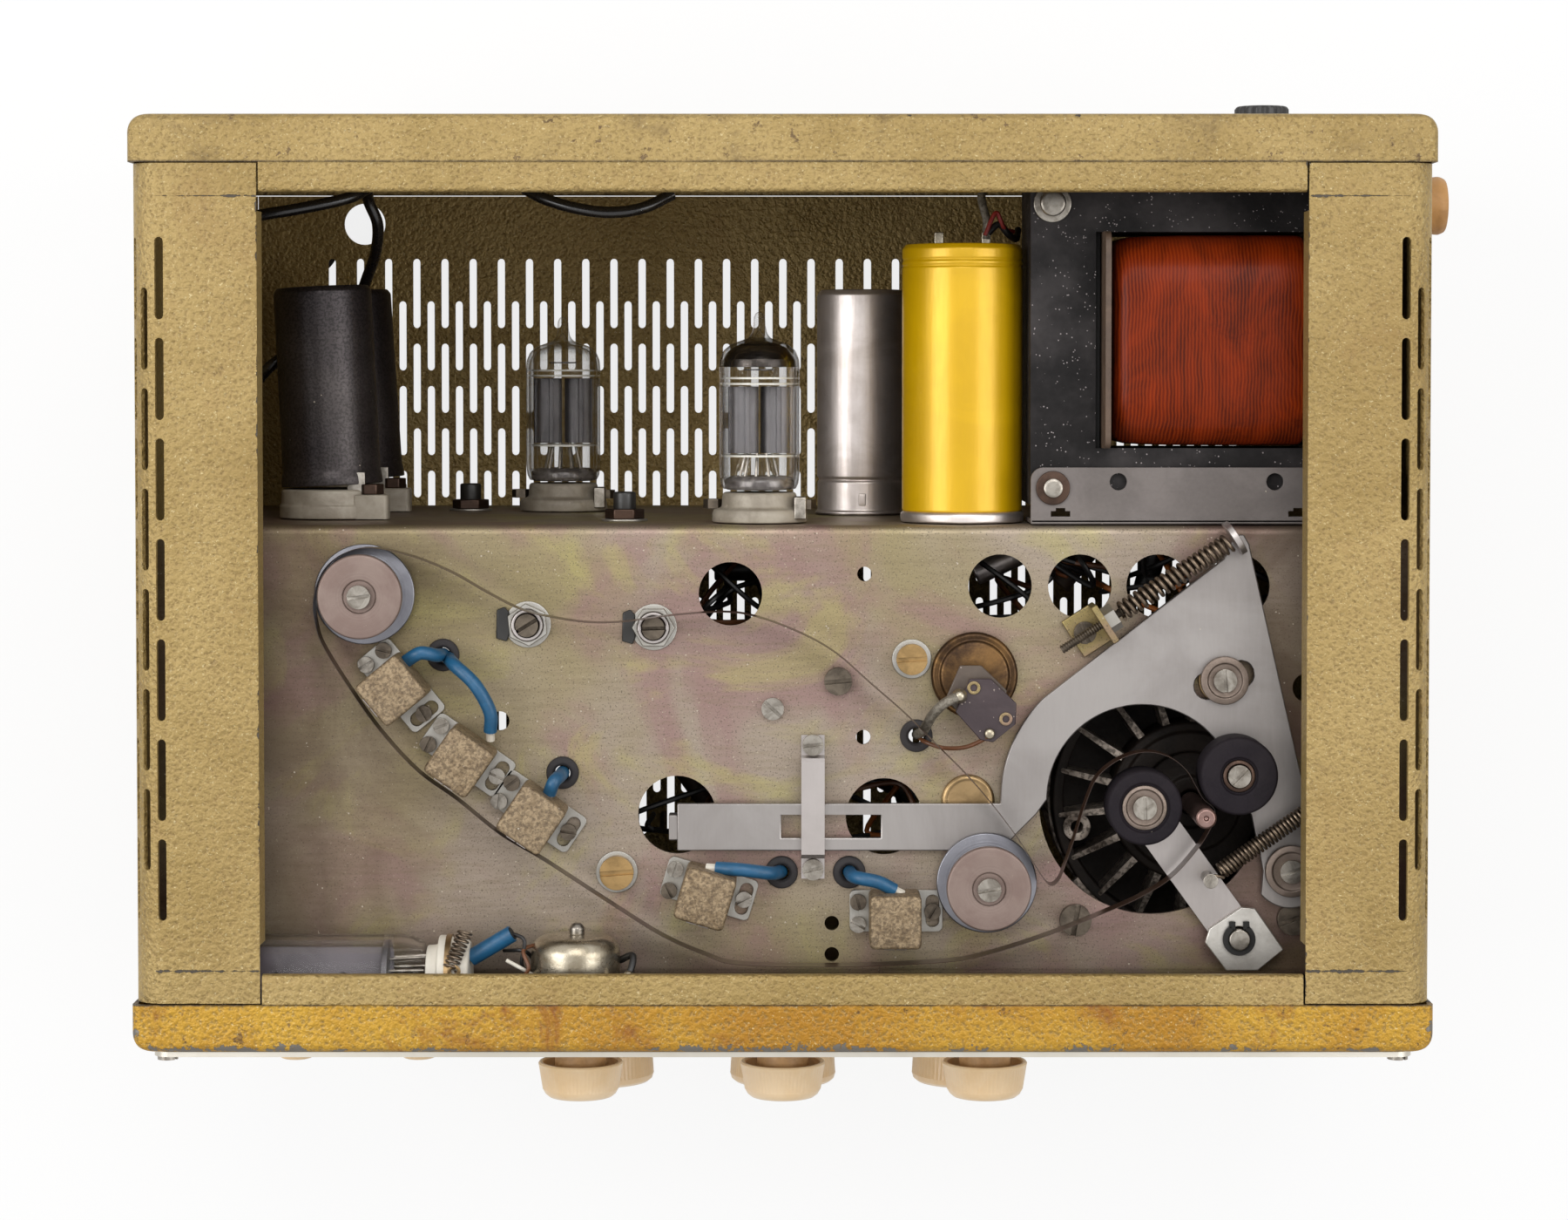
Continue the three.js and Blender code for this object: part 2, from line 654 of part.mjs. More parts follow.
function leverPlate() {
  const [archX, archY] = deckAt(archShare);
  const toPoint = (share) => v2(...deckAt(share));
  const armMeets = THREE.MathUtils.radToDeg(Math.asin((armTop - archY) / lever.outerArch));
  const outline = [
    ...leverTipShares.map(toPoint),
    ...leverRightShares.map(toPoint),
    ...arc(leverX, leverY, lever.pivotRound, lever.pivotFrom, lever.pivotTo, 8),
    ...leverBranchShares.map(toPoint),
    ...arc(archX, archY, lever.innerArch, lever.archFrom, lever.archTo, 12),
    ...leverArmShares.map(toPoint),
    v2(deckX(leverArmShares[1][0]) - (armTop - armBottom) / 3, armBottom),
    v2(armLeft, armBottom),
    v2(armLeft, armTop),
    ...arc(archX, archY, lever.outerArch, lever.archTo - armMeets, lever.outerTo, 4),
  ];
  const plate = raise(outline, leverLow, leverHigh);
  const window = raise(leverWindowShares.map(toPoint), leverLow - overrun, leverHigh + overrun);
  const bore = disc(leverX, leverY, leverBush.bore, leverLow - overrun, leverHigh + overrun, 12);
  const [bushX, bushY] = deckAt(bushShare);
  const lean = THREE.MathUtils.radToDeg(Math.atan2(bushY - leverY, bushX - leverX)) - 90;
  const straight = lever.slotReach - lever.slotHalf;
  const slotOutline = [
    ...arc(straight, 0, lever.slotHalf, -90, 90, 4),
    ...arc(-straight, 0, lever.slotHalf, 90, 270, 4),
  ];
  const slot = put(raise(slotOutline, leverLow - overrun, leverHigh + overrun), bushX, bushY, 0, lean);
  const tab = block(
    armLeft, armLeft + lever.thickness, armBottom, armBottom + lever.tabWidth,
    leverHigh - lever.tabDrop - lever.thickness, leverHigh - lever.thickness / 2,
  );
  const headLow = secondTop + clearance;
  const rollerStud = disc(
    secondX, secondY, secondRoller.bore - clearance, leverLow + lever.thickness / 2, headLow, 10,
  );
  const rollerHead = disc(
    secondX, secondY, secondRoller.bore + clearance, headLow, headLow + stud.headHeight / 2, 10,
  );
  return join(cut(plate, window, bore, slot), tab, rollerStud, rollerHead, rodLug(), springRod());
}

const rod = { radius: 1.2, lift: 7.4, leftReach: 12 };
const bracket = { width: 8.6, depth: 11, thickness: 1.6, height: 11, foot: 8, hole: 2.6 };
const bracketShare = [0.3107, -0.054];
const nut = { radius: 3.2, thickness: 3 };
const [bracketX, bracketY] = deckAt(bracketShare);
const [tipX, tipY] = deckAt(leverTipShare);
const rodAngle = Math.atan2(tipY - bracketY, tipX - bracketX);
const rodTurn = THREE.MathUtils.radToDeg(rodAngle);
const rodLength = Math.hypot(tipX - bracketX, tipY - bracketY);
const rodHeight = deckTop + rod.lift;

// The lug that stands up at the lever's tip, and the rod that runs from it through the bracket
function rodLug() {
  const lug = block(
    -lever.rodLugThickness, 0, -lever.rodLug / 2, lever.rodLug / 2,
    leverHigh - lever.thickness / 2, rodHeight + lever.rodLug / 2,
  );
  return put(lug, tipX - overrun / 2, tipY, 0, rodTurn);
}

function springRod() {
  const bar = turnedAlongX([
    [0, -rod.leftReach], [rod.radius, -rod.leftReach], [rod.radius, rodLength - lever.rodLugThickness],
    [0, rodLength - lever.rodLugThickness],
  ], 8);
  return put(bar, bracketX, bracketY, rodHeight, rodTurn);
}

function leverBracket() {
  const lugTop = rodHeight + bracket.height / 2;
  const upright = block(
    0, bracket.thickness, -bracket.depth / 2, bracket.depth / 2, deckTop + clearance, lugTop,
  );
  const base = block(
    -bracket.foot, bracket.thickness / 2, -bracket.depth / 2, bracket.depth / 2,
    deckTop + clearance, deckTop + clearance + bracket.thickness,
  );
  const holeTool = turnedAlongX([[0, -bracket.foot], [bracket.hole, -bracket.foot], [bracket.hole, bracket.foot],
    [0, bracket.foot]], 8);
  const ring = turnedAlongX([
    [bracket.hole, bracket.thickness], [nut.radius + bracket.hole / 2, bracket.thickness],
    [nut.radius + bracket.hole / 2, bracket.thickness + nut.thickness],
    [bracket.hole, bracket.thickness + nut.thickness], [bracket.hole, bracket.thickness],
  ], 6).translate(0, 0, rodHeight);
  const body = cut(join(upright, base), holeTool.translate(0, 0, rodHeight));
  return put(join(body, ring), bracketX, bracketY, 0, rodTurn);
}

const leverCoil = { radius: 2.25, wire: 0.45, turns: 10, stepsPerTurn: 8, sides: 5, leg: 0 };
const rodPoint = (along) => new THREE.Vector3(
  bracketX + along * Math.cos(rodAngle), bracketY + along * Math.sin(rodAngle), rodHeight,
);

function leverSpring() {
  const start = bracket.thickness + nut.thickness + 2 * clearance + leverCoil.wire;
  const end = rodLength - lever.rodLugThickness - overrun / 2 - clearance - leverCoil.wire;
  return spring('lever_spring', rodPoint(start), rodPoint(end), leverCoil);
}

// Pinch arm: swings on a pin near the front and carries the first rubber roller

const arm = { width: 10.8, lift: 1.8, thickness: 2, bore: 3.1, clip: 1.1, postLift: 9.5, post: 1.5 };
const armPivotShare = [0.4478, -0.4393];
const armRollerShare = [0.351, -0.2727];
const armPostShare = [0.4165, -0.3634];
const firstRoller = { radius: 9.6, bore: 2.9, height: 12 };
const armPlateShares = [
  [0.0023, 0.0387], [0.0159, 0.0372], [0.0442, -0.0133], [0.0187, -0.039], [-0.0122, -0.039],
  [-0.0332, -0.0047],
  [-0.029, 0.0123],
];
const [armX, armY] = deckAt(armPivotShare);
const [firstX, firstY] = deckAt(armRollerShare);
const [postX, postY] = deckAt(armPostShare);
const armLow = deckTop + arm.lift;
const armHigh = armLow + arm.thickness;
const rollerBase = armHigh + clearance;

function pinchArm() {
  const reach = Math.hypot(firstX - armX, firstY - armY);
  const turn = THREE.MathUtils.radToDeg(Math.atan2(firstY - armY, firstX - armX));
  const half = arm.width / 2;
  const strip = put(raise([
    v2(0, -half), ...arc(reach, 0, half, -90, 90, 5), v2(0, half),
  ], armLow, armHigh), armX, armY, 0, turn);
  const plate = raise(armPlateShares.map(([x, y]) => v2(armX + deckX(x), armY + deckY(y))), armLow, armHigh);
  const bore = disc(armX, armY, arm.bore, armLow - overrun, armHigh + overrun, 10);
  const ear = disc(postX, postY, arm.post * 2.6, armLow, armHigh, 8);
  const post = disc(postX, postY, arm.post, armLow + arm.thickness / 2, armHigh + arm.postLift, 8);
  const axle = disc(firstX, firstY, firstRoller.bore - clearance, armLow + arm.thickness / 2,
    rollerBase + firstRoller.height + clearance, 10);
  const cap = disc(firstX, firstY, firstRoller.bore + clearance, rollerBase + firstRoller.height + clearance,
    rollerBase + firstRoller.height + clearance + stud.headHeight / 2, 10);
  return join(cut(join(plate, strip, ear), bore), post, axle, cap);
}

// A rubber tyre with a recessed metal hub, turned about Z from its own bottom face
function rubberRoller(size) {
  const hub = size.bore * 2.1;
  const recess = size.height / 12;
  return turned([
    [size.bore, 0], [size.radius, 0], [size.radius, size.height], [hub, size.height],
    [hub, size.height - recess],
    [size.bore, size.height - recess], [size.bore, 0],
  ], 18);
}

const armCoil = { radius: 2.4, wire: 0.45, turns: 10, stepsPerTurn: 8, sides: 5, leg: 5, bend: 1.6 };
const anchorShare = [0.5564, -0.242];
const anchor = { radius: 1.8, top: 11.5 };

function armSpring() {
  const height = armHigh + arm.postLift * 0.55;
  const from = new THREE.Vector3(postX, postY, height);
  const to = new THREE.Vector3(...deckAt(anchorShare), height);
  const way = to.clone().sub(from).normalize();
  const start = from.clone().addScaledVector(way, arm.post + clearance);
  const end = to.clone().addScaledVector(way, -anchor.radius - clearance);
  return spring('arm_spring', start, end, armCoil);
}

// Studs, bushes and pins that stand on the deck

function deckFittings(low) {
  const leverStud = put(turned([
    [0, low], [leverBush.shoulder, low], [leverBush.shoulder, leverLow - clearance],
    [leverBush.neck, leverLow - clearance], [leverBush.neck, leverHigh + clearance],
    [leverBush.shoulder, leverHigh + clearance], [leverBush.shoulder, leverHigh + leverBush.shoulderHeight],
    [0, leverHigh + leverBush.shoulderHeight],
  ], 12), leverX, leverY);
  const slideStud = put(turned([
    [0, low], [slideBush.neck, low], [slideBush.neck, leverHigh + clearance],
    [slideBush.shoulder, leverHigh + clearance], [slideBush.shoulder, leverHigh + slideBush.shoulderHeight],
    [0, leverHigh + slideBush.shoulderHeight],
  ], 12), ...deckAt(bushShare));
  const clipFoot = armHigh + clearance;
  const armPin = put(turned([
    [0, low], [arm.bore + arm.clip, low], [arm.bore + arm.clip, armLow - clearance],
    [arm.bore - clearance, armLow - clearance], [arm.bore - clearance, clipFoot],
    [arm.bore + arm.clip, clipFoot], [arm.bore + arm.clip, clipFoot + arm.clip], [0, clipFoot + arm.clip],
  ], 10), armX, armY);
  const nuts = trimmerShares.map((share) => put(turned([
    [trimmer.bore, low], [trimmer.nut, low], [trimmer.nut, deckTop + trimmer.nutHeight],
    [trimmer.bore, deckTop + trimmer.nutHeight], [trimmer.bore, low],
  ], 6), ...deckAt(share)));
  return [
    ...guideShares.map((share) => guideStud(share, low)), leverStud, slideStud, armPin, ...nuts,
    disc(...deckAt(anchorShare), anchor.radius, low, deckTop + anchor.top, 8),
    disc(...deckAt(brassDiscShare), brassDisc.radius, low, deckTop + brassDisc.height, 12),
  ];
}

function shelfFittings() {
  const trimmerProfile = [
    [0, -chassisSheet / 2], [trimmer.nut, -chassisSheet / 2], [trimmer.nut, trimmer.nutHeight],
    [trimmer.shaft, trimmer.nutHeight], [trimmer.shaft, trimmer.shaftHeight], [0, trimmer.shaftHeight],
  ];
  const socketProfile = [
    [0, -chassisSheet / 2], [socket.radius, -chassisSheet / 2], [socket.radius, socket.flange],
    [socket.collar, socket.flange], [socket.collar, socket.height], [0, socket.height],
  ];
  const onFace = (solid, places) => places.map(({ xShare, dropShare }) => solid.clone().translate(
    deckX(xShare), shelfFace, rim - dropOf(dropShare),
  ));
  return [
    ...onFace(turnedAlongY(trimmerProfile, 8), shelfTrimmers),
    ...onFace(turnedAlongY(socketProfile, 10), [...valvePlaces, ...shieldPlaces]),
  ];
}

const brassDiscShare = [0.1825, -0.2727];
const brassDisc = { radius: 6.9, height: 1.3 };

// Strap bridge that guides and stops the lever's long arm

const strap = {
  width: 6, foot: 6.6, thickness: 1.2, height: 5.4, xShare: 0.0297, backShare: -0.2225, frontShare: -0.3363,
};

function strapBridge() {
  const low = deckTop + clearance;
  const high = deckTop + strap.height;
  const front = deckY(strap.frontShare);
  const back = deckY(strap.backShare);
  const outline = [
    v2(front - strap.foot, low + strap.thickness), v2(front - strap.thickness, low + strap.thickness),
    v2(front - strap.thickness, high), v2(back + strap.thickness, high),
    v2(back + strap.thickness, low + strap.thickness), v2(back + strap.foot, low + strap.thickness),
  ];
  const x = deckX(strap.xShare);
  return alongX(sheetSection(outline, strap.thickness), x - strap.width / 2, x + strap.width / 2);
}

// Erase magnet: a domed disc, and two insulating plates on spacers beside it

const dome = { radius: 11.2, edge: 2.6, rise: 4.2 };
const domeShare = [0.1883, -0.1176];
const plateLift = 8.4;
const plateThickness = 1.4;
const lowerPlateLift = 5.4;
const upperPlateShares = [
  [0.1684, -0.1593], [0.182, -0.1193], [0.2032, -0.1193], [0.2278, -0.1488], [0.227, -0.1741],
  [0.2051, -0.1963],
  [0.1924, -0.1931],
];
const lowerPlateShiftShare = [-0.009, 0.0149];
const eyeletShares = [[0.1862, -0.1298], [0.2175, -0.1678]];
const eyeletRadius = 1.7;

function eraseMagnet() {
  const low = deckTop + clearance;
  const disk = put(turned([
    [0, low], [dome.radius, low], [dome.radius, low + dome.edge], [dome.radius * 0.8, low + dome.rise * 0.85],
    [dome.radius * 0.4, low + dome.rise], [0, low + dome.rise],
  ], 14), ...deckAt(domeShare));
  const upper = raise(upperPlateShares.map((share) => v2(...deckAt(share))), deckTop + plateLift,
    deckTop + plateLift + plateThickness);
  const [shiftX, shiftY] = deckAt(lowerPlateShiftShare);
  const lower = raise(upperPlateShares.map((share) => v2(...deckAt(share))), deckTop + lowerPlateLift,
    deckTop + lowerPlateLift + plateThickness).translate(shiftX, shiftY, 0);
  const spacers = eyeletShares.map((share) => disc(...deckAt(share), eyeletRadius, deckTop + clearance,
    deckTop + plateLift + plateThickness + clearance, 8));
  return join(disk, upper, lower, spacers);
}

// Tape: one closed loop, standing on edge. Its route is a list of points chosen by hand.

const tape = { width: 6.35, thickness: 0.2 };
const tapeLow = leverHigh + guide.flangeThickness + 2 * clearance;
const tapeRouteShares = [
  [-0.4558, -0.0218], [-0.4543, -0.0503], [-0.4466, -0.0787], [-0.4207, -0.1309], [-0.3918, -0.1817],
  [-0.3552, -0.231], [-0.3171, -0.2657], [-0.2748, -0.3079], [-0.2321, -0.3397], [-0.1684, -0.3914],
  [-0.1174, -0.4312], [-0.0751, -0.4545], [-0.0412, -0.4658], [0.0564, -0.4682], [0.154, -0.463],
  [0.1963, -0.4545], [0.2557, -0.4312], [0.3152, -0.4018], [0.3491, -0.3828], [0.3788, -0.3596],
  [0.404, -0.325], [0.4169, -0.2989], [0.4205, -0.2875], [0.4204, -0.278], [0.4169, -0.2718],
  [0.4093, -0.2638], [0.4017, -0.2476], [0.3925, -0.2287], [0.3754, -0.2125], [0.3525, -0.2068],
  [0.3277, -0.2158], [0.3064, -0.2372], [0.2946, -0.2704], [0.2854, -0.3065], [0.2752, -0.3444],
  [0.2698, -0.3615], [0.263, -0.3691], [0.2561, -0.3643], [0.245, -0.3435], [0.2306, -0.315],
  [0.205, -0.2728], [0.1795, -0.2358], [0.1498, -0.1988], [0.12, -0.1618], [0.0861, -0.1248],
  [0.0522, -0.0878], [0.0183, -0.0636], [-0.024, -0.0436], [-0.0579, -0.0375], [-0.109, -0.0417],
  [-0.1513, -0.0489], [-0.1852, -0.0503], [-0.2191, -0.0451], [-0.253, -0.0351], [-0.287, -0.0142],
  [-0.3209, 0.01], [-0.3552, 0.028], [-0.3872, 0.0384], [-0.4101, 0.0398], [-0.4314, 0.0304],
  [-0.4474, 0.0104],
];

function tapeLoop() {
  const turns = tapeRouteShares.map((share) => new THREE.Vector3(...deckAt(share), 0));
  const route = new THREE.CatmullRomCurve3(turns, true, 'centripetal');
  const steps = turns.length;
  const half = tape.thickness / 2;
  const corners = [[half, tapeLow], [half, tapeLow + tape.width], [-half, tapeLow + tape.width], [-half, tapeLow]];
  const points = [];
  const index = [];
  for (let i = 0; i < steps; i += 1) {
    const at = route.getPoint(i / steps);
    const along = route.getTangent(i / steps);
    corners.forEach(([side, z], k) => {
      points.push(new THREE.Vector3(at.x - along.y * side, at.y + along.x * side, z));
      const here = i * 4 + k;
      const beside = i * 4 + ((k + 1) % 4);
      const ahead = ((i + 1) % steps) * 4;
      index.push(here, beside, ahead + k, beside, ahead + ((k + 1) % 4), ahead + k);
    });
  }
  const band = new THREE.BufferGeometry().setFromPoints(points);
  band.setIndex(index);
  return band;
}

// Amplifier parts on the shelf. Each stands on the shelf's face and points to +Y. The transformer stands by the
// right wall, the yellow can beside it and the silver can beside that.

const shelfSeat = shelfFace + clearance;
const onShelf = (solid, x, drop) => solid.translate(x, shelfSeat, rim - drop);
const core = {
  wallGap: 8.2, width: 91, rise: 5.2, height: 85, frontDropShare: 0.1744, stack: 36, windowWidth: 57.4,
  windowHeight: 55.8, leg: 19,
};
const coreRight = caseWidth / 2 - core.wallGap;
const coreLeft = coreRight - core.width;
const silver = {
  radius: 12.6, height: 62, groove: 0.8, grooveHeight: 4, dropShare: 0.5872, spacing: 25, edge: 1.4,
};
const yellow = {
  radius: 15.7, height: 72.7, foot: 2.7, groove: 1, grooveDrop: 5, dropShare: 0.2674, coreGap: 1.2, edge: 1.6,
  terminal: 2, terminalHeight: 5, terminalReach: 6,
};
const yellowX = coreLeft - yellow.coreGap - yellow.radius;

function silverCapacitor() {
  const low = silver.grooveHeight;
  return onShelf(turnedAlongY([
    [0, 0], [silver.radius, 0], [silver.radius, low], [silver.radius - silver.groove, low + silver.groove],
    [silver.radius, low + 2 * silver.groove], [silver.radius, silver.height - silver.edge],
    [silver.radius - silver.edge, silver.height], [0, silver.height],
  ], 14), yellowX - silver.spacing, dropOf(silver.dropShare));
}

function yellowCapacitor() {
  const groove = yellow.height - yellow.grooveDrop;
  const can = turnedAlongY([
    [0, 0], [yellow.radius + yellow.groove / 2, 0], [yellow.radius + yellow.groove / 2, yellow.foot],
    [yellow.radius, yellow.foot], [yellow.radius, groove - yellow.groove],
    [yellow.radius - yellow.groove, groove],
    [yellow.radius, groove + yellow.groove], [yellow.radius, yellow.height - yellow.edge],
    [yellow.radius - yellow.edge, yellow.height], [0, yellow.height],
  ], 14);
  const pin = (x) => turnedAlongY([
    [0, yellow.height - overrun], [yellow.terminal, yellow.height - overrun],
    [yellow.terminal, yellow.height + yellow.terminalHeight], [0, yellow.height + yellow.terminalHeight],
  ], 8).translate(x, 0, 0);
  const pins = [-yellow.terminalReach, yellow.terminalReach].map(pin);
  return onShelf(join(can, pins), yellowX, dropOf(yellow.dropShare));
}

const valve = { radius: 10.5, socketHeight: 9, foot: 3, height: 38.5, shoulder: 5, tip: 1.6, tipHeight: 7.4 };
const socket = { radius: 12.4, collar: 11.2, height: 8, flange: 2.2 };
const valvePlaces = [
  { xShare: -0.0233, dropShare: 0.25 },
  { xShare: -0.2378, dropShare: 0.7209 },
];
const shieldPlaces = [
  { xShare: -0.4627, dropShare: 0.4186 },
  { xShare: -0.4623, dropShare: 0.7442 },
];
const shield = { radius: 13.1, skirt: 14, skirtHeight: 8, height: 54, wall: 1.1, mouth: 6, base: 8, edge: 3 };

function bareValve() {
  const top = valve.socketHeight + valve.height;
  return turnedAlongY([
    [0, socket.height + clearance], [valve.radius * 0.92, socket.height + clearance],
    [valve.radius, valve.socketHeight + valve.foot],
    [valve.radius, top - valve.shoulder], [valve.radius * 0.72, top - valve.shoulder * 0.35],
    [valve.tip * 1.6, top],
    [valve.tip * 0.7, top + valve.tipHeight], [0, top + valve.tipHeight],
  ], 12);
}

function shieldCan() {
  const low = shield.base + clearance;
  return turnedAlongY([
    [shield.skirt, low], [shield.skirt, low + shield.skirtHeight],
    [shield.radius, low + shield.skirtHeight + shield.wall],
    [shield.radius, low + shield.height - shield.edge], [shield.radius - shield.edge, low + shield.height],
    [shield.mouth, low + shield.height], [shield.mouth, low + shield.height - shield.wall],
    [shield.radius - shield.wall, low + shield.height - shield.edge], [shield.radius - shield.wall, low],
    [shield.skirt, low],
  ], 12);
}

const placed = (solid, places) => places.map(
  ({ xShare, dropShare }) => onShelf(solid.clone(), deckX(xShare), dropOf(dropShare)),
);

// Mains transformer: laminated core with a middle leg, a bulging coil and a zinc bracket

const winding = { width: 50.6, bulge: 9.6, gap: 0.35, crown: 6 };
const zincBracket = { height: 14.6, thickness: 1.4, boltRadius: 4, boltHeight: 2 };
const coreBase = shelfFace + core.rise;
const coreMiddle = (coreLeft + coreRight) / 2;
const windowLow = coreBase + (core.height - core.windowHeight) / 2;
const windowHigh = windowLow + core.windowHeight;
const coreFront = rim - dropOf(core.frontDropShare);

function transformerCore() {
  const outer = block(
    coreLeft, coreRight, coreBase, coreBase + core.height, coreFront - core.stack, coreFront,
  );
  const gapWidth = (core.windowWidth - core.leg) / 2;
  const coreBack = coreFront - core.stack;
  const windowAt = (x) => block(
    x, x + gapWidth, windowLow, windowHigh, coreBack - overrun, coreFront + overrun,
  );
  return cut(outer, windowAt(coreMiddle - core.windowWidth / 2), windowAt(coreMiddle + core.leg / 2));
}

function transformerCoil() {
  const halfWidth = winding.width / 2;
  const z0 = coreFront - core.stack;
  const shoulder = halfWidth - winding.crown;
  const crown = [v2(halfWidth, coreFront + winding.bulge / 3), v2(shoulder, coreFront + winding.bulge * 0.85),
    v2(halfWidth / 3, coreFront + winding.bulge), v2(-halfWidth / 3, coreFront + winding.bulge),
    v2(-shoulder, coreFront + winding.bulge * 0.85), v2(-halfWidth, coreFront + winding.bulge / 3)];
  const under = crown.map((point) => v2(-point.x, 2 * z0 + core.stack - point.y));
  const section = new THREE.Shape([...crown, ...under]);
  const gap = core.leg / 2 + winding.gap;
  section.holes.push(new THREE.Path([
    v2(-gap, z0 - winding.gap), v2(gap, z0 - winding.gap), v2(gap, coreFront + winding.gap),
    v2(-gap, coreFront + winding.gap),
  ]));
  return alongY(section, windowLow + winding.gap, windowHigh - winding.gap).translate(coreMiddle, 0, 0);
}

function transformerBracket() {
  const low = shelfFace + clearance;
  const front = coreFront + clearance;
  const face = block(
    coreLeft, coreRight, low, low + zincBracket.height, front, front + zincBracket.thickness,
  );
  const base = block(
    coreLeft, coreRight, low, low + zincBracket.thickness,
    coreFront - core.stack / 2, front + zincBracket.thickness / 2,
  );
  const bolts = [coreLeft + core.width / 16, coreRight - core.width / 16].map((x) => disc(
    x, coreBase + zincBracket.height / 3, zincBracket.boltRadius, front + zincBracket.thickness / 2,
    front + zincBracket.thickness + zincBracket.boltHeight, 8,
  ));
  return join(face, base, bolts);
}

// Glass indicator tube lying by the front sill, with its ceramic socket

const indicator = { radius: 10.9, length: 55, endShare: -0.3487, yShare: -0.4886, dome: 6 };
const indicatorSocket = { radius: 10.6, length: 10.5, step: 2.5, neck: 8 };
const indicatorHeight = deckTop + clearance + indicator.radius;

function indicatorTube() {
  return turnedAlongX([
    [0, -indicator.length], [indicator.radius * 0.55, -indicator.length + indicator.dome * 0.25],
    [indicator.radius, -indicator.length + indicator.dome], [indicator.radius, -indicator.dome / 3],
    [indicator.radius * 0.85, 0], [0, 0],
  ], 16).translate(deckX(indicator.endShare), deckY(indicator.yShare), indicatorHeight);
}

function ceramicSocket() {
  return turnedAlongX([
    [0, 0], [indicatorSocket.neck, 0], [indicatorSocket.neck, indicatorSocket.step],
    [indicatorSocket.radius, indicatorSocket.step], [indicatorSocket.radius, indicatorSocket.length],
    [0, indicatorSocket.length],
  ], 14).translate(deckX(indicator.endShare) + clearance, deckY(indicator.yShare), indicatorHeight);
}

// Tin can by the front sill, the trimmers, and the places of the front controls

const pot = { radius: 10, small: 7.5, depth: 12.6 };
const tin = { radius: 10.5, length: 22, xShare: -0.202, backShare: -0.4269, stud: 2, studLength: 3.4 };
const trimmer = { nut: 5.3, nutHeight: 3, shaft: 3, bore: 3.8, shaftHeight: 5.5 };
const trimmerShares = [[-0.2508, -0.056], [-0.1269, -0.0593]];
const shelfTrimmers = [
  { xShare: -0.16, dropShare: 0.3256 },
  { xShare: -0.3403, dropShare: 0.7558 },
];
const upperKnobs = [-1, 0, 1].map((k) => [k * knobPitch, upperRowDrop]);
const lowerKnobs = [-1, 0, 1].map((k) => [k * lowerKnobPitch, lowerRowDrop]);
const slimColumnShares = [-0.4992, -0.3735];
const slimRowShares = [0.3779, 0.5581];

function tinCan() {
  return turnedAlongY([
    [0, -tin.length], [tin.radius, -tin.length], [tin.radius, 0], [tin.stud, 0], [tin.stud, tin.studLength],
    [0, tin.studLength],
  ], 14).translate(deckX(tin.xShare), deckY(tin.backShare), deckTop + clearance + tin.radius);
}

const trimmerShaft = () => disc(0, 0, trimmer.shaft, deckTop + clearance, deckTop + trimmer.shaftHeight, 10);

// Front panel with its holes

const keys = { count: 4, pitch: 18.3, width: 17.8, height: 10, reach: 6, depth: 10, travel: 3, round: 1.6, cheek: 1.6 };
const shaft = { radius: 3, gap: 0.8 };
const jack = { bore: 3.3, nut: 6.6, nutHeight: 2.4, barrel: 6.4, barrelLength: 11.6, boreDepth: 9 };
const jackPlaces = [
  { xShare: -0.5069, dropShare: 0.8837 },
  { xShare: -0.3773, dropShare: 0.8837 },
  { xShare: 0.3697, dropShare: 0.8605 },
];
const din = { radius: 8.6, flange: 12, flangeThickness: 1.4, barrelLength: 11, bore: 6.2, boreDepth: 7 };
const dinPlaces = [
  { xShare: 0.503, dropShare: 0.9012 },
  { xShare: 0.503, dropShare: 0.6279 },
];
const keysTop = rim - keyRowDrop + keys.height / 2;

function frontPanel() {
  const half = caseWidth / 2 - panelInset;
  const z0 = footHeight + panelInset;
  const z1 = rim - panelInset / 2;
  const outline = [
    ...arc(half - panelCorner, z0 + panelCorner, panelCorner, -90, 0, 3),
    ...arc(half - panelCorner, z1 - panelCorner, panelCorner, 0, 90, 3),
    ...arc(-half + panelCorner, z1 - panelCorner, panelCorner, 90, 180, 3),
    ...arc(-half + panelCorner, z0 + panelCorner, panelCorner, 180, 270, 3),
  ];
  const plate = new THREE.Shape(outline);
  const halfKeys = (keys.count * keys.pitch) / 2 + clearance;
  plate.holes.push(new THREE.Path([
    v2(-halfKeys, keysTop - keys.height - 2 * clearance), v2(halfKeys, keysTop - keys.height - 2 * clearance),
    v2(halfKeys, keysTop + 2 * clearance), v2(-halfKeys, keysTop + 2 * clearance),
  ]));
  const behind = (radius, x, drop) => alongY(
    circle(x, rim - drop, radius, 8), panelBackFace - panelSheet / 2, panelBackFace + pot.depth,
  );
  const sheetPlate = alongY(plate, panelFace, panelBackFace);
  const shaftWell = (x, drop) => alongY(
    circle(x, rim - drop, shaft.radius + shaft.gap, 6), panelFace - overrun, panelBackFace,
  );
  const large = [...upperKnobs, ...lowerKnobs];
  const small = slimColumnShares.flatMap((x) => slimRowShares.map((drop) => [deckX(x), dropOf(drop)]));
  const pots = [
    ...large.map(([x, drop]) => behind(pot.radius, x, drop)), ...small.map(([x, drop]) => behind(pot.small, x, drop)),
  ];
  const wells = [...large, ...small].map(([x, drop]) => shaftWell(x, drop));
  const body = join(sheetPlate, pots, jackBodies(), dinBodies(), keySwitch());
  return cut(body, together(wells), together(jackBores(), dinBores()));
}

const atPlaces = (solid, places) => places.map(
  ({ xShare, dropShare }) => solid.clone().translate(deckX(xShare), panelFace, rim - dropOf(dropShare)),
);

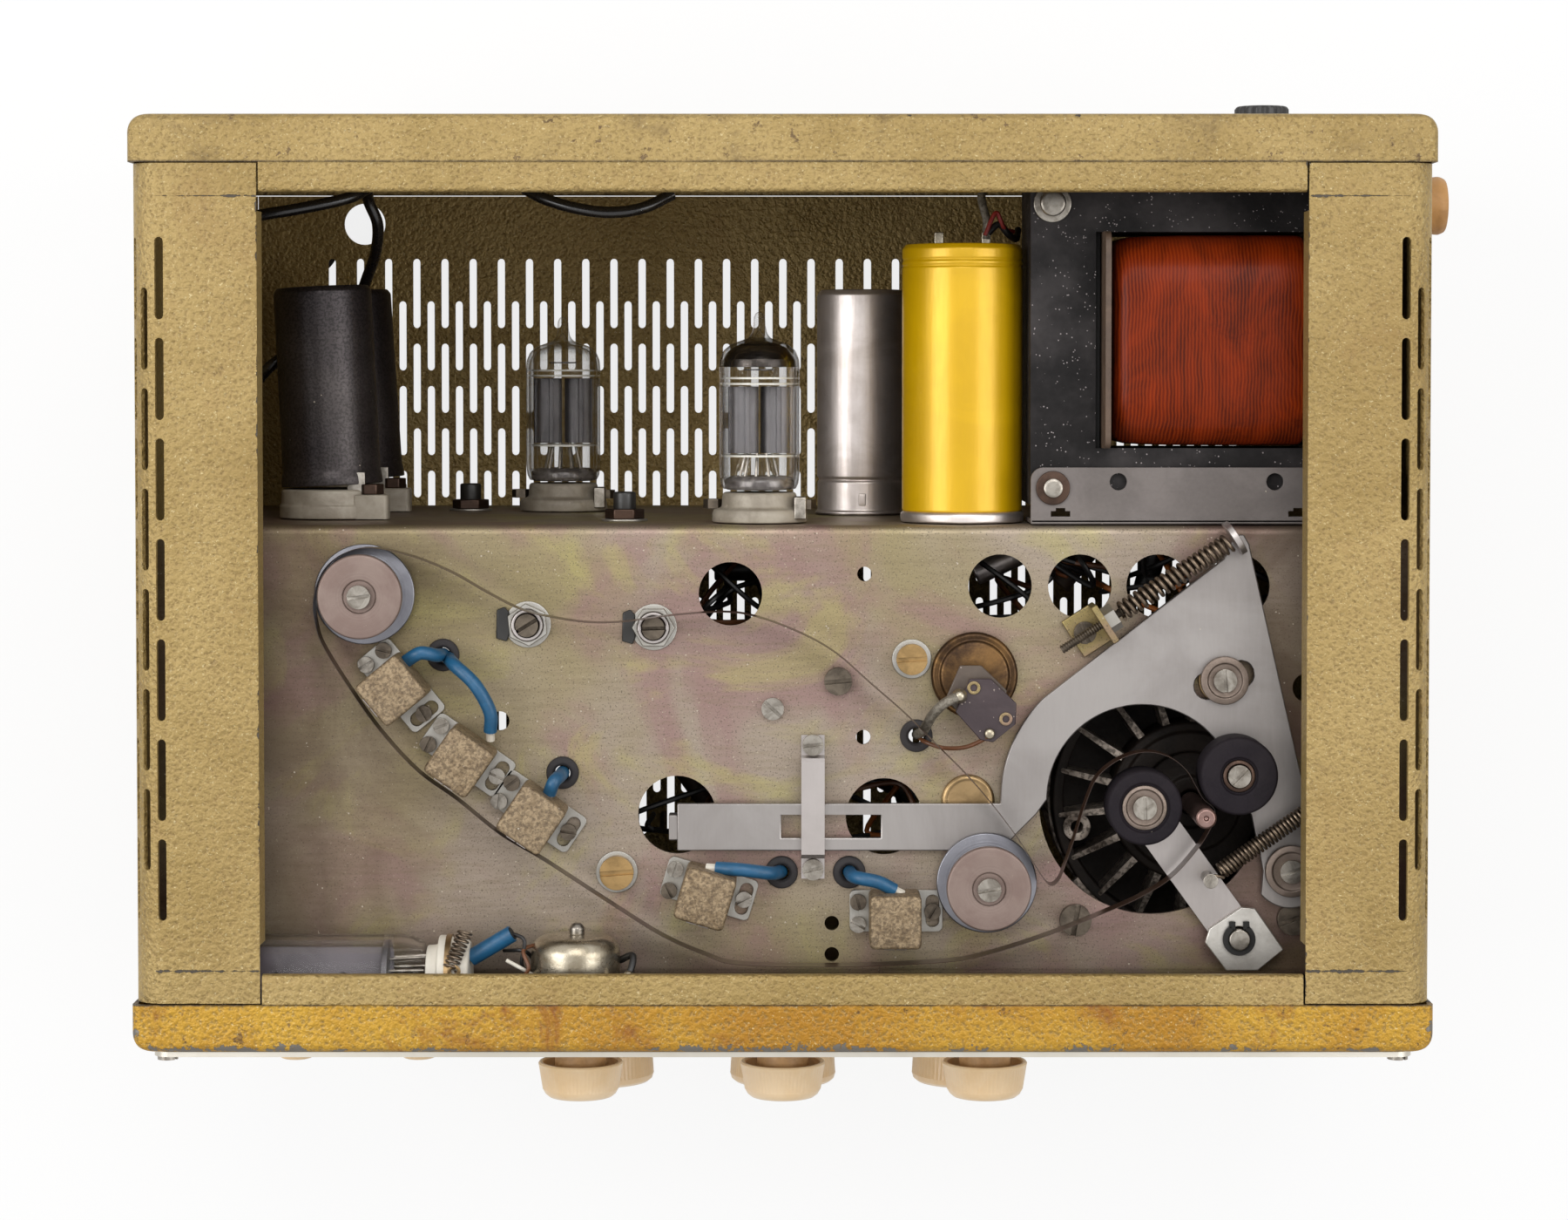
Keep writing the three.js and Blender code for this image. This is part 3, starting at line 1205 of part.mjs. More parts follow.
function jackBodies() {
  return atPlaces(turnedAlongY([
    [0, -jack.nutHeight], [jack.nut, -jack.nutHeight], [jack.nut, panelSheet / 2],
    [jack.barrel, panelSheet / 2],
    [jack.barrel, jack.barrelLength], [0, jack.barrelLength],
  ], 8), jackPlaces);
}

const jackBores = () => atPlaces(
  alongY(circle(0, 0, jack.bore, 8), -jack.nutHeight - overrun, jack.boreDepth), jackPlaces,
);

function dinBodies() {
  const barrel = alongY(circle(0, 0, din.radius, 12), 0, din.barrelLength);
  const flange = block(
    -din.flange, din.flange, -din.flangeThickness, panelSheet / 2, -din.radius, din.radius,
  );
  return atPlaces(join(barrel, flange), dinPlaces);
}

const dinBores = () => atPlaces(
  alongY(circle(0, 0, din.bore, 12), -din.flangeThickness - overrun, din.boreDepth), dinPlaces,
);

// Knobs: ribbed cups whose stub shaft passes the panel

const smallKnob = { base: 11, tip: 9.7, lift: 1.2, length: 20, rim: 7.6, well: 3, ribs: 9, ribDepth: 0.6 };
const largeKnob = {
  base: 13.6, tip: 14.3, lift: 1.2, length: 21, rim: 10.6, well: 4, ribs: 11, ribDepth: 0.7,
};
const slimKnob = { radius: 4.6, lift: 1, length: 12, edge: 0.9 };

// A ribbed cup pointing to -Y, made of rings that share one count of points
function cupKnob(size) {
  const count = size.ribs * 2;
  const ring = (radius, depth, y) => Array.from({ length: count }, (_, i) => {
    const angle = (2 * Math.PI * i) / count;
    const reach = radius - (i % 2 === 0 ? 0 : depth);
    return new THREE.Vector3(reach * Math.cos(angle), y, reach * Math.sin(angle));
  });
  const rings = [
    ring(size.base, size.ribDepth, -size.lift), ring(size.tip, size.ribDepth, -size.length),
    ring(size.rim, 0, -size.length), ring(size.rim, 0, -size.length + size.well),
  ];
  const points = [new THREE.Vector3(0, -size.lift, 0), ...rings.flat(), new THREE.Vector3(0, -size.length + size.well, 0)];
  const index = [];
  const last = points.length - 1;
  for (let i = 0; i < count; i += 1) {
    const next = (i + 1) % count;
    index.push(0, 1 + i, 1 + next);
    for (let level = 0; level < rings.length - 1; level += 1) {
      const low = 1 + level * count;
      const high = low + count;
      index.push(low + i, high + i, low + next, low + next, high + i, high + next);
    }
    const top = 1 + (rings.length - 1) * count;
    index.push(top + i, last, top + next);
  }
  const geometry = new THREE.BufferGeometry().setFromPoints(points);
  geometry.setIndex(index);
  return join(weld(geometry), stubShaft(size.lift));
}

function stubShaft(lift) {
  return alongY(circle(0, 0, shaft.radius, 6), -lift - overrun / 2, panelSheet);
}

function slimCap() {
  const cap = turnedAlongY([
    [0, -slimKnob.length], [slimKnob.radius - slimKnob.edge, -slimKnob.length],
    [slimKnob.radius, -slimKnob.length + slimKnob.edge], [slimKnob.radius, -slimKnob.lift],
    [0, -slimKnob.lift],
  ], 12);
  return join(cap, stubShaft(slimKnob.lift));
}

const onPanel = (solid, x, drop) => solid.translate(x, panelFace, rim - drop);

// Piano keys and the switch behind them

function pianoKey() {
  const section = [
    v2(keys.depth, -keys.height / 2), v2(keys.depth, keys.height / 2), v2(-keys.reach + keys.round, keys.height / 2),
    v2(-keys.reach, keys.height / 2 - keys.round), v2(-keys.reach, -keys.height / 2),
  ];
  return alongX(section, -keys.width / 2, keys.width / 2);
}

function keySwitch() {
  const half = (keys.count * keys.pitch) / 2 + overrun;
  const middle = rim - keyRowDrop;
  const front = panelBackFace - panelSheet / 2;
  const back = chassisFront - clearance;
  const deep = panelFace + keys.depth + keys.travel + clearance * 2;
  const body = block(-half, half, deep, back, middle - keys.height, middle + keys.height);
  const cheek = (x) => block(
    x, x + keys.cheek, front, deep + keys.cheek / 2, middle - keys.height, middle + keys.height,
  );
  return join(body, cheek(-half), cheek(half - keys.cheek));
}

// The assembly

piece('case_bottom', caseBottom(), hammerGold);
piece('case_right_side', sidePair, hammerGold);
piece('case_left_side', mirrored(sidePair), hammerGold);
piece('rear_cap', capTray(), hammerGold);
piece('front_cap', capTray(frontWindow).rotateZ(Math.PI), hammerYellow);
footPlaces.forEach(([x, y], i) => {
  piece(`foot_${i + 1}`, put(turned(footProfile, 10), x, y), blackRubber);
});
piece('side_bumper', sideBumper(), blackRubber);
piece('fuse_cap', fuseCap(), blackPlastic);
piece('chassis', chassisPlate(), chromate);
headPlaceShares.forEach((share, i) => {
  piece(`head_${i + 1}`, put(headBlock(), ...deckAt(share), deckTop, headTurns[i]), headMetal);
});
piece('left_roller', put(guideRoller(), ...deckAt(guideShares[0])), rollerMetal);
piece('right_roller', put(guideRoller(), ...deckAt(guideShares[1])), rollerMetal);
piece('motor_housing', motorHousing(), castGrey);
piece('capstan', put(capstanShaft(), motorX, motorY, deckTop), bronze);
piece('pinch_lever', leverPlate(), brightSteel);
piece('lever_roller', put(rubberRoller(secondRoller), secondX, secondY, leverHigh + secondRoller.lift), rollerRubber);
piece('lever_bracket', leverBracket(), chromate);
piece('lever_spring', leverSpring(), brightSteel);
piece('pinch_arm', pinchArm(), zinc);
piece('pinch_roller', put(rubberRoller(firstRoller), firstX, firstY, rollerBase), rollerRubber);
piece('arm_spring', armSpring(), brightSteel);
piece('strap_bridge', strapBridge(), zinc);
piece('erase_magnet', eraseMagnet(), phenolic);
piece('tape_loop', tapeLoop(), tapeBrown);
piece('silver_can', silverCapacitor(), silverCan);
piece('yellow_can', yellowCapacitor(), yellowPaint);
placed(bareValve(), valvePlaces).forEach((valveSolid, i) => {
  piece(`valve_${i + 1}`, valveSolid, glassClear);
});
placed(shieldCan(), shieldPlaces).forEach((can, i) => {
  piece(`shield_can_${i + 1}`, can, darkCan);
});
piece('transformer_core', transformerCore(), blackIron);
piece('transformer_coil', transformerCoil(), coilLacquer);
piece('transformer_bracket', transformerBracket(), zinc);
piece('indicator_tube', indicatorTube(), glassClear);
piece('indicator_socket', ceramicSocket(), ceramicWhite);
piece('tin_can', tinCan(), silverCan);
trimmerShares.forEach((share, i) => {
  piece(`trimmer_${i + 1}`, put(trimmerShaft(), ...deckAt(share)), blackPlastic);
});
piece('front_panel', frontPanel(), panelMetal);
upperKnobs.forEach(([x, drop], i) => {
  piece(`small_knob_${i + 1}`, onPanel(cupKnob(smallKnob), x, drop), creamPlastic);
});
lowerKnobs.forEach(([x, drop], i) => {
  piece(`large_knob_${i + 1}`, onPanel(cupKnob(largeKnob), x, drop), creamPlastic);
});
slimColumnShares.forEach((x, i) => slimRowShares.forEach((drop, j) => {
  piece(`slim_knob_${2 * i + j + 1}`, onPanel(slimCap(), deckX(x), dropOf(drop)), creamPlastic);
}));
for (let i = 0; i < keys.count; i += 1) {
  const x = (i - (keys.count - 1) / 2) * keys.pitch;
  piece(`key_${i + 1}`, pianoKey().translate(x, panelFace, rim - keyRowDrop), whitePlastic);
}

// Centre the footprint: the bumper and the caps set the width, the knobs and the fuse cap the length
const reachRight = caseWidth / 2 + bumper.length;
const reachLeft = caseWidth / 2 + capStep;
const reachBack = capBack + fuse.length;
const reachFront = -panelFace + largeKnob.length;
unit.position.set((reachLeft - reachRight) / 2, (reachFront - reachBack) / 2, 0);
unit.updateMatrixWorld(true);

export default unit;
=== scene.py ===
"""Looks of an open-topped tape echo unit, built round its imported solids.

Lengths inside the classes are millimetres in the case's own frame: X to the right, Y to the back, Z up, with the
middle of the opening at X = 0 and the floor at Z = 0. The mesh writer turns them into metres in the row frame.
"""

import json
import logging
from dataclasses import astuple, dataclass, field
from enum import Enum
from typing import Callable, Optional, Sequence

import bpy
import numpy as np
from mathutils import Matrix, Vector, geometry

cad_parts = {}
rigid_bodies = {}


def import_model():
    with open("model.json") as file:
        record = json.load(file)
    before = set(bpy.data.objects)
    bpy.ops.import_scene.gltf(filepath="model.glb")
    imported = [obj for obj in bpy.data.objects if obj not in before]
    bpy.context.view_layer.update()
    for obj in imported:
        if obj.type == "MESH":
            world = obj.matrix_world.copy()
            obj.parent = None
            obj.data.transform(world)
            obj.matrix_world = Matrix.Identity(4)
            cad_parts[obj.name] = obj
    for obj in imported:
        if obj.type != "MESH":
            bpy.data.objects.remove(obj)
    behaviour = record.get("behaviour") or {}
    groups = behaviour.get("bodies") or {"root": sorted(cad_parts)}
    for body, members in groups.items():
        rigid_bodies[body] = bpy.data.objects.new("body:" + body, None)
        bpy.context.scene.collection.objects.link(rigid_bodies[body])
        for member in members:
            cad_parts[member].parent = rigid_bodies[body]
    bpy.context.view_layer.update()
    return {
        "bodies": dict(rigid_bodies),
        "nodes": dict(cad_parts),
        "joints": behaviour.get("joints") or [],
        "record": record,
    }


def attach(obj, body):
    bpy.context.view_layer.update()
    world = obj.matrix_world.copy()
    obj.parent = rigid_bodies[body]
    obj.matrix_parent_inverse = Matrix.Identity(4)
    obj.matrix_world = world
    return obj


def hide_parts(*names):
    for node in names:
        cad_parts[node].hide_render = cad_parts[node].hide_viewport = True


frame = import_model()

LOG = logging.getLogger("tape_echo")
MM = 0.001
CASE_TO_ROW = np.array([-5.25, 7.20, 0.0])
RIM = 177.0
DECK = 149.0
ON_DECK = DECK + 0.3
LEVER_LOW, LEVER_TOP = 150.8, 152.8
SEAT = 14.1
SHELF = 13.8
Array = np.ndarray
Socket = bpy.types.NodeSocket
Surface = tuple[Socket, Socket, Optional[object], Optional[Socket]]
Table = tuple[tuple[object, ...], ...]
Profile = Sequence[tuple[float, float]]
CORNER_POINTS = 4


# Surfaces worked out as arrays --------------------------------------------------------------------


@dataclass
class Skin:
    """Points of one closed surface in millimetres, with its four-sided and three-sided faces."""

    points: Array
    quads: Array = field(default_factory=lambda: np.zeros((0, 4), int))
    tris: Array = field(default_factory=lambda: np.zeros((0, 3), int))

    def __add__(self, other: "Skin") -> "Skin":
        """Both surfaces in one."""
        n = len(self.points)
        return Skin(np.vstack([self.points, other.points]), np.vstack([self.quads, other.quads + n]),
                    np.vstack([self.tris, other.tris + n]))

    def moved(self, x: float, y: float, z: float = 0) -> "Skin":
        """The surface moved by x, y and z."""
        return Skin(self.points + np.array([x, y, z]), self.quads, self.tris)

    def turned(self, degrees: float, axis: str = "z") -> "Skin":
        """The surface turned about an axis through the origin: a plane rotation of two coordinates."""
        a, b = {"x": (1, 2), "y": (2, 0), "z": (0, 1)}[axis]
        c, s = np.cos(np.radians(degrees)), np.sin(np.radians(degrees))
        points = self.points.copy()
        points[:, a] = c * self.points[:, a] - s * self.points[:, b]
        points[:, b] = s * self.points[:, a] + c * self.points[:, b]
        return Skin(points, self.quads, self.tris)

    def mirrored(self) -> "Skin":
        """The surface with X reversed and its faces turned round, so that they still point out."""
        return Skin(self.points * np.array([-1, 1, 1]), self.quads[:, ::-1], self.tris[:, ::-1])

    def outward(self) -> "Skin":
        """The surface with its faces pointing out: reversed where the sum of its signed tetrahedra is negative."""
        tris = np.vstack([self.quads[:, [0, 1, 2]], self.quads[:, [0, 2, 3]], self.tris])
        a, b, c = (self.points[tris[:, k]] for k in range(3))
        if np.einsum("ij,ij->i", a, np.cross(b, c)).sum() < 0:
            return Skin(self.points, self.quads[:, ::-1], self.tris[:, ::-1])
        return self


def grid_skin(rows: Array) -> Skin:
    """Closed surface of loops stacked in rows.

    A grid of k rows of n points: neighbours along a row and between rows make the faces, each row closes on itself,
    and coincident points are merged, so a row shrunk to a point is a closed pole.

    Args:
        rows: array of shape (k, n, 3), whose first and last rows are poles or equal to each other.

    Returns:
        The surface, facing out.
    """
    k, n, _ = rows.shape
    i, j = np.meshgrid(np.arange(k - 1), np.arange(n), indexing="ij")
    i, j = i.ravel(), j.ravel()
    ahead = (j + 1) % n
    quads = np.stack([i * n + j, i * n + ahead, (i + 1) * n + ahead, (i + 1) * n + j], axis=1)
    points = rows.reshape(-1, 3)
    _, first, inverse = np.unique(np.round(points, 5), axis=0, return_index=True, return_inverse=True)
    quads = inverse.reshape(-1)[quads]
    same = quads == np.roll(quads, -1, axis=1)
    count = same.sum(axis=1)
    tris = quads[count == 1][~same[count == 1]].reshape(-1, 3)
    return Skin(points[first], quads[count == 0], tris).outward()


def revolve(profile: Profile, sides: int = 48) -> Skin:
    """Surface of revolution about Z: each (radius, height) of the profile is carried round a full circle.

    Args:
        profile: its points, from pole to pole or closed on itself.
        sides: points round each ring.

    Returns:
        The surface.
    """
    r, h = np.array(profile, float).T
    angle = np.linspace(0, 2 * np.pi, sides, endpoint=False)
    x, y = r[:, None] * np.cos(angle), r[:, None] * np.sin(angle)
    return grid_skin(np.stack([x, y, np.repeat(h[:, None], sides, 1)], axis=2))


def revolve_y(profile: Profile, sides: int) -> Skin:
    """Surface of revolution about Y, with heights running towards +Y."""
    return revolve(profile, sides).turned(-90, "x")


def revolve_x(profile: Profile, sides: int) -> Skin:
    """Surface of revolution about X, with heights running towards +X."""
    return revolve(profile, sides).turned(90, "y")


def softened(profile: Profile, radius: float) -> Profile:
    """A profile with each corner rounded: a quadratic curve between points near it on both of its legs.

    Args:
        profile: points whose ends stay.
        radius: how far from its corner a curve starts, at most.

    Returns:
        The longer profile.
    """
    points = np.array(profile, float)
    out = [points[0]]
    for before, here, after in zip(points, points[1:], points[2:]):
        back, ahead = before - here, after - here
        a = here + back * min(radius / max(np.hypot(*back), 1e-9), 0.45)
        b = here + ahead * min(radius / max(np.hypot(*ahead), 1e-9), 0.45)
        t = np.linspace(0, 1, CORNER_POINTS)[:, None]
        out.extend((1 - t) ** 2 * a + 2 * t * (1 - t) * here + t**2 * b)
    out.append(points[-1])
    return [tuple(p) for p in out]


def arc(x: float, y: float, radius: float, start: float, end: float, steps: int) -> Profile:
    """Points of an arc from start to end degrees, both included."""
    angle = np.radians(np.linspace(start, end, steps + 1))
    return list(zip(x + radius * np.cos(angle), y + radius * np.sin(angle)))


def ring(x: float, y: float, radius: float, sides: int, turn: float = 0) -> Profile:
    """Points of a full circle."""
    return arc(x, y, radius, turn, turn + 360 - 360 / sides, sides - 1)


def stadium(x: float, y: float, length: float, width: float, turn: float = 90, steps: int = 5) -> Profile:
    """A slot's outline: two half circles joined by straight sides, its length along the direction of turn.

    Args:
        x: of its middle.
        y: of its middle.
        length: over all.
        width: across.
        turn: direction of its length in degrees.
        steps: straight pieces in each half circle.

    Returns:
        Its points.
    """
    reach = (length - width) / 2
    c, s = np.cos(np.radians(turn)), np.sin(np.radians(turn))
    ends = arc(reach, 0, width / 2, -90, 90, steps) + arc(-reach, 0, width / 2, 90, 270, steps)
    return [(x + c * a - s * b, y + s * a + c * b) for a, b in ends]


def rounded_box(x: float, y: float, radius: float, steps: int = 4) -> Array:
    """Loop of a rectangle of half sizes x and y, with a quarter circle about each corner's centre."""
    corners = [(x - radius, y - radius, 0), (radius - x, y - radius, 90), (radius - x, radius - y, 180),
               (x - radius, radius - y, 270)]
    return np.array([p for cx, cy, a in corners for p in arc(cx, cy, radius, a, a + 90, steps)])


def loft(loops: Sequence[Array], heights: Sequence[float]) -> Skin:
    """Surface through flat loops at given heights, each end closed by a point in the middle of its loop.

    Args:
        loops: of the same number of points.
        heights: one for each loop.

    Returns:
        The closed surface.
    """
    rows = [np.column_stack([loop, np.full(len(loop), h)]) for loop, h in zip(loops, heights)]
    first, last = (np.tile(row.mean(axis=0), (len(row), 1)) for row in (rows[0], rows[-1]))
    return grid_skin(np.stack([first, *rows, last]))


def soft_block(x: float, y: float, z0: float, z1: float, corner: float, edge: float, foot: float = 0.0) -> Skin:
    """Block with rounded upright corners and top edge: rounded rectangles that shrink along a quarter circle.

    Args:
        x: half its width.
        y: half its depth.
        z0: its underside.
        z1: its top.
        corner: radius of the upright corners.
        edge: radius of the top edge.
        foot: size of the slope at the lower edge.

    Returns:
        The closed surface.
    """
    turn = np.radians(np.linspace(0, 90, 5))
    inset = edge * (1 - np.cos(turn))
    loops = [rounded_box(x - foot, y - foot, max(corner - foot, 0.05)), rounded_box(x, y, corner)]
    loops += [rounded_box(x - i, y - i, max(corner - i, 0.05)) for i in inset]
    return loft(loops, [z0, z0 + foot, *(z1 - edge + edge * np.sin(turn))])


def spline(points: Sequence[Sequence[float]], per_span: int, closed: bool = False) -> Array:
    """Smooth way through points: a Catmull-Rom cubic on each span, worked out for all spans at once.

    Args:
        points: that it passes.
        per_span: points made from each to the next.
        closed: whether the last point leads back to the first.

    Returns:
        The points of the way.
    """
    p = np.array(points, float)
    if closed:
        p = np.vstack([p[-1], p, p[0], p[1]])
    else:
        p = np.vstack([2 * p[0] - p[1], p, 2 * p[-1] - p[-2]])
    a, b, c, d = p[:-3, None], p[1:-2, None], p[2:-1, None], p[3:, None]
    t = np.linspace(0, 1, per_span, endpoint=False)[None, :, None]
    way = 0.5 * (2 * b + (c - a) * t + (2 * a - 5 * b + 4 * c - d) * t**2 + (3 * b - a - 3 * c + d) * t**3)
    way = way.reshape(-1, p.shape[1])
    return way if closed else np.vstack([way, p[-2]])


def wire(path: Array, radius: float, sides: int) -> Skin:
    """Round wire along a path, of rings that are square to it and don't twist.

    Each ring's first direction is the ring before's, made square to the path again.

    Args:
        path: (n, 3) points.
        radius: of the wire.
        sides: points round each ring.

    Returns:
        The surface, closed at both ends by a point.
    """
    along = np.gradient(path, axis=0)
    along /= np.linalg.norm(along, axis=1, keepdims=True)
    across = np.empty_like(path)
    start = np.array([0.0, 0.0, 1.0]) if abs(along[0, 2]) < 0.9 else np.array([1.0, 0.0, 0.0])
    for i, way in enumerate(along):
        start = start - way * start.dot(way)
        start = start / np.linalg.norm(start)
        across[i] = start
    beside = np.cross(along, across)
    a, b = np.array(ring(0, 0, radius, sides)).T
    rows = path[:, None] + (across[:, None] * a[None, :, None] + beside[:, None] * b[None, :, None])
    ends = [np.tile(path[k], (sides, 1)) for k in (0, -1)]
    return grid_skin(np.concatenate([ends[0][None], rows, ends[1][None]]))


def tube(path: Sequence[Sequence[float]], radius: float, sides: int, per_span: int) -> Skin:
    """Round wire on a smooth way through points."""
    return wire(spline(path, per_span), radius, sides)


def helix(start: Array, end: Array, radius: float, turns: float, steps: int) -> Array:
    """Points of a helix between two points: a circle square to the axis, advanced evenly along it.

    Args:
        start: of its axis.
        end: of its axis.
        radius: of its turns.
        turns: in all.
        steps: points in a turn.

    Returns:
        The points.
    """
    axis = end - start
    length = np.linalg.norm(axis)
    axis = axis / length
    side = np.cross(axis, [0, 0, 1.0])
    side /= np.linalg.norm(side)
    up = np.cross(axis, side)
    t = np.linspace(0, 1, int(turns * steps) + 1)[:, None]
    angle = 2 * np.pi * turns * t
    return start + axis * length * t + radius * (side * np.cos(angle) + up * np.sin(angle))


def winding(loop: Array) -> float:
    """Twice the signed area of a flat loop: above zero when it runs anticlockwise."""
    x, y = loop.T
    return float(np.sum(x * np.roll(y, -1) - np.roll(x, -1) * y))


Mapping = Callable[[Array, Array], Array]


def flat_at(z: float) -> Mapping:
    """Mapping of sheet points to a level plane: depth is counted down from z."""
    return lambda uv, depth: np.column_stack([uv, z - depth])


def sheet(outline: Sequence, holes: Sequence, thickness: float, place: Mapping, creases: Sequence = ()) -> Skin:
    """Pierced sheet: a flat pattern cut into triangles, placed twice in space, with a wall round every edge.

    The pattern's corners, hole edges and creases are kept by a constrained Delaunay triangulation; place gives each
    point of the pattern its position at a depth of 0 and of the thickness.

    Args:
        outline: the pattern's outer loop.
        holes: inner loops.
        thickness: of the sheet.
        place: position of pattern points (n, 2) at depths (n,).
        creases: straight lines (two points) that triangles may not cross.

    Returns:
        The closed surface.
    """
    loops = [np.array(loop, float) for loop in (outline, *holes)]
    loops = [loop if winding(loop) > 0 else loop[::-1] for loop in loops]
    points = np.vstack(loops + [np.array(c, float) for c in creases])
    edges, faces, n = [], [], 0
    for loop in loops:
        ids = np.arange(n, n + len(loop))
        edges.append(np.column_stack([ids, np.roll(ids, -1)]))
        faces.append(ids.tolist())
        n += len(loop)
    for _ in creases:
        edges.append([[n, n + 1]])
        n += 2
    made = geometry.delaunay_2d_cdt([Vector(p) for p in points], np.vstack(edges).tolist(), faces, 1, 1e-6)
    uv = np.array([tuple(p) for p in made[0]])
    tris = np.array([face for face, loops_round_it in zip(made[2], made[5]) if len(loops_round_it) == 1])
    a, b, c = (uv[tris[:, k]] for k in range(3))
    twice = (b[:, 0] - a[:, 0]) * (c[:, 1] - a[:, 1]) - (b[:, 1] - a[:, 1]) * (c[:, 0] - a[:, 0])
    tris[twice < 0] = tris[twice < 0][:, ::-1]
    tris = tris[np.abs(twice) > 1e-9]
    count = len(uv)
    sides = np.vstack([tris[:, [0, 1]], tris[:, [1, 2]], tris[:, [2, 0]]])
    code, back = sides[:, 0] * count + sides[:, 1], sides[:, 1] * count + sides[:, 0]
    rim = sides[~np.isin(code, back)]
    top, under = place(uv, np.zeros(count)), place(uv, np.full(count, thickness))
    walls = np.column_stack([rim[:, 1], rim[:, 0], rim[:, 0] + count, rim[:, 1] + count])
    return Skin(np.vstack([top, under]), walls, np.vstack([tris, tris[:, ::-1] + count])).outward()


def prism(outline: Sequence, z0: float, z1: float, holes: Sequence = ()) -> Skin:
    """Straight-sided solid over a flat outline."""
    return sheet(outline, holes, z1 - z0, flat_at(z1))


def bent_line(outside: Profile, axis: str) -> tuple[Mapping, Array, float]:
    """Mapping that bends a flat pattern along a profile.

    The pattern's first coordinate is the distance along the profile and the second runs along the axis; depth goes
    to the right of the profile's direction.

    Args:
        outside: profile points.
        axis: "x" or "y", the direction that the profile is carried along.

    Returns:
        The mapping, the distance of each profile point, and the whole length.
    """
    line = np.array(outside, float)
    step = np.diff(line, axis=0)
    length = np.hypot(*step.T)
    at = np.concatenate([[0], np.cumsum(length)])
    normal = np.column_stack([step[:, 1], -step[:, 0]]) / length[:, None]
    corner = np.vstack([normal[:1], normal[:-1] + normal[1:], normal[-1:]])
    corner /= (corner * np.vstack([normal[:1], normal])).sum(axis=1, keepdims=True)

    def place(uv: Array, depth: Array) -> Array:
        """Position of pattern points at a depth below the outside."""
        p, q = (np.interp(uv[:, 0], at, line[:, k]) for k in (0, 1))
        nx, ny = (np.interp(uv[:, 0], at, corner[:, k]) for k in (0, 1))
        p, q = p + nx * depth, q + ny * depth
        return np.column_stack([uv[:, 1], p, q] if axis == "x" else [p, uv[:, 1], q])

    return place, at, at[-1]


# Finishes -----------------------------------------------------------------------------------------


def tint(code: str) -> tuple[float, float, float, float]:
    """Linear colour of a six-digit code, by the sRGB curve."""
    c = np.array([int(code[i:i + 2], 16) for i in (1, 3, 5)]) / 255
    linear = np.where(c <= 0.04045, c / 12.92, ((c + 0.055) / 1.055) ** 2.4)
    return (*linear.tolist(), 1.0)


class Tree:
    """Shorthand for a node tree: a node, its inputs and its links in one call."""

    def __init__(self, tree: bpy.types.NodeTree) -> None:
        """Keeps the tree and empties it."""
        self.tree = tree
        tree.nodes.clear()

    def add(self, kind: str, inputs: Optional[dict] = None, **settings: object) -> bpy.types.Node:
        """A node with its settings; sockets among the inputs are linked and other values are written.

        Args:
            kind: of shader node, without its prefix.
            inputs: what goes into its sockets, by name or number.
            settings: its own properties.

        Returns:
            The node.
        """
        node = self.tree.nodes.new("ShaderNode" + kind)
        for key, value in settings.items():
            setattr(node, key, value)
        for key, value in (inputs or {}).items():
            if isinstance(value, bpy.types.NodeSocket):
                self.tree.links.new(value, node.inputs[key])
            else:
                node.inputs[key].default_value = value
        return node

    def math(self, operation: str, a: object, b: object = 0.0) -> Socket:
        """Result of a Math node."""
        return self.add("Math", {0: a, 1: b}, operation=operation).outputs[0]

    def mix(self, factor: object, a: object, b: object, blend_type: str = "MIX") -> Socket:
        """Two colours mixed by a factor."""
        return self.add("Mix", {0: factor, 6: a, 7: b}, data_type="RGBA", blend_type=blend_type).outputs[2]

    def noise(self, scale: object, vector: object, detail: float, roughness: float = 0.55,
              distortion: float = 0) -> Socket:
        """Value of a Noise texture."""
        return self.add("TexNoise", {"Scale": scale, "Vector": vector, "Detail": detail, "Roughness": roughness,
                                     "Distortion": distortion}).outputs["Fac"]

    def step(self, value: object, low: object, high: object, out_low: float = 0, out_high: float = 1) -> Socket:
        """Smooth step of a value between low and high."""
        return self.add("MapRange", {0: value, 1: low, 2: high, 3: out_low, 4: out_high},
                        interpolation_type="SMOOTHSTEP").outputs[0]

    def stretched(self, vector: object, scale: tuple[float, float, float]) -> Socket:
        """Coordinates with each axis scaled."""
        return self.add("Mapping", {"Vector": vector, "Scale": scale}).outputs[0]

    def use(self, group: bpy.types.NodeTree, **inputs: object) -> bpy.types.Node:
        """A group node with its inputs, whose names have spaces for underscores.

        Args:
            group: what the node stands for.
            inputs: sockets or values.

        Returns:
            The node.
        """
        node = self.add("Group", node_tree=group)
        for key, value in inputs.items():
            name = key.replace("_", " ")
            if isinstance(value, bpy.types.NodeSocket):
                self.tree.links.new(value, node.inputs[name])
            else:
                node.inputs[name].default_value = value
        return node


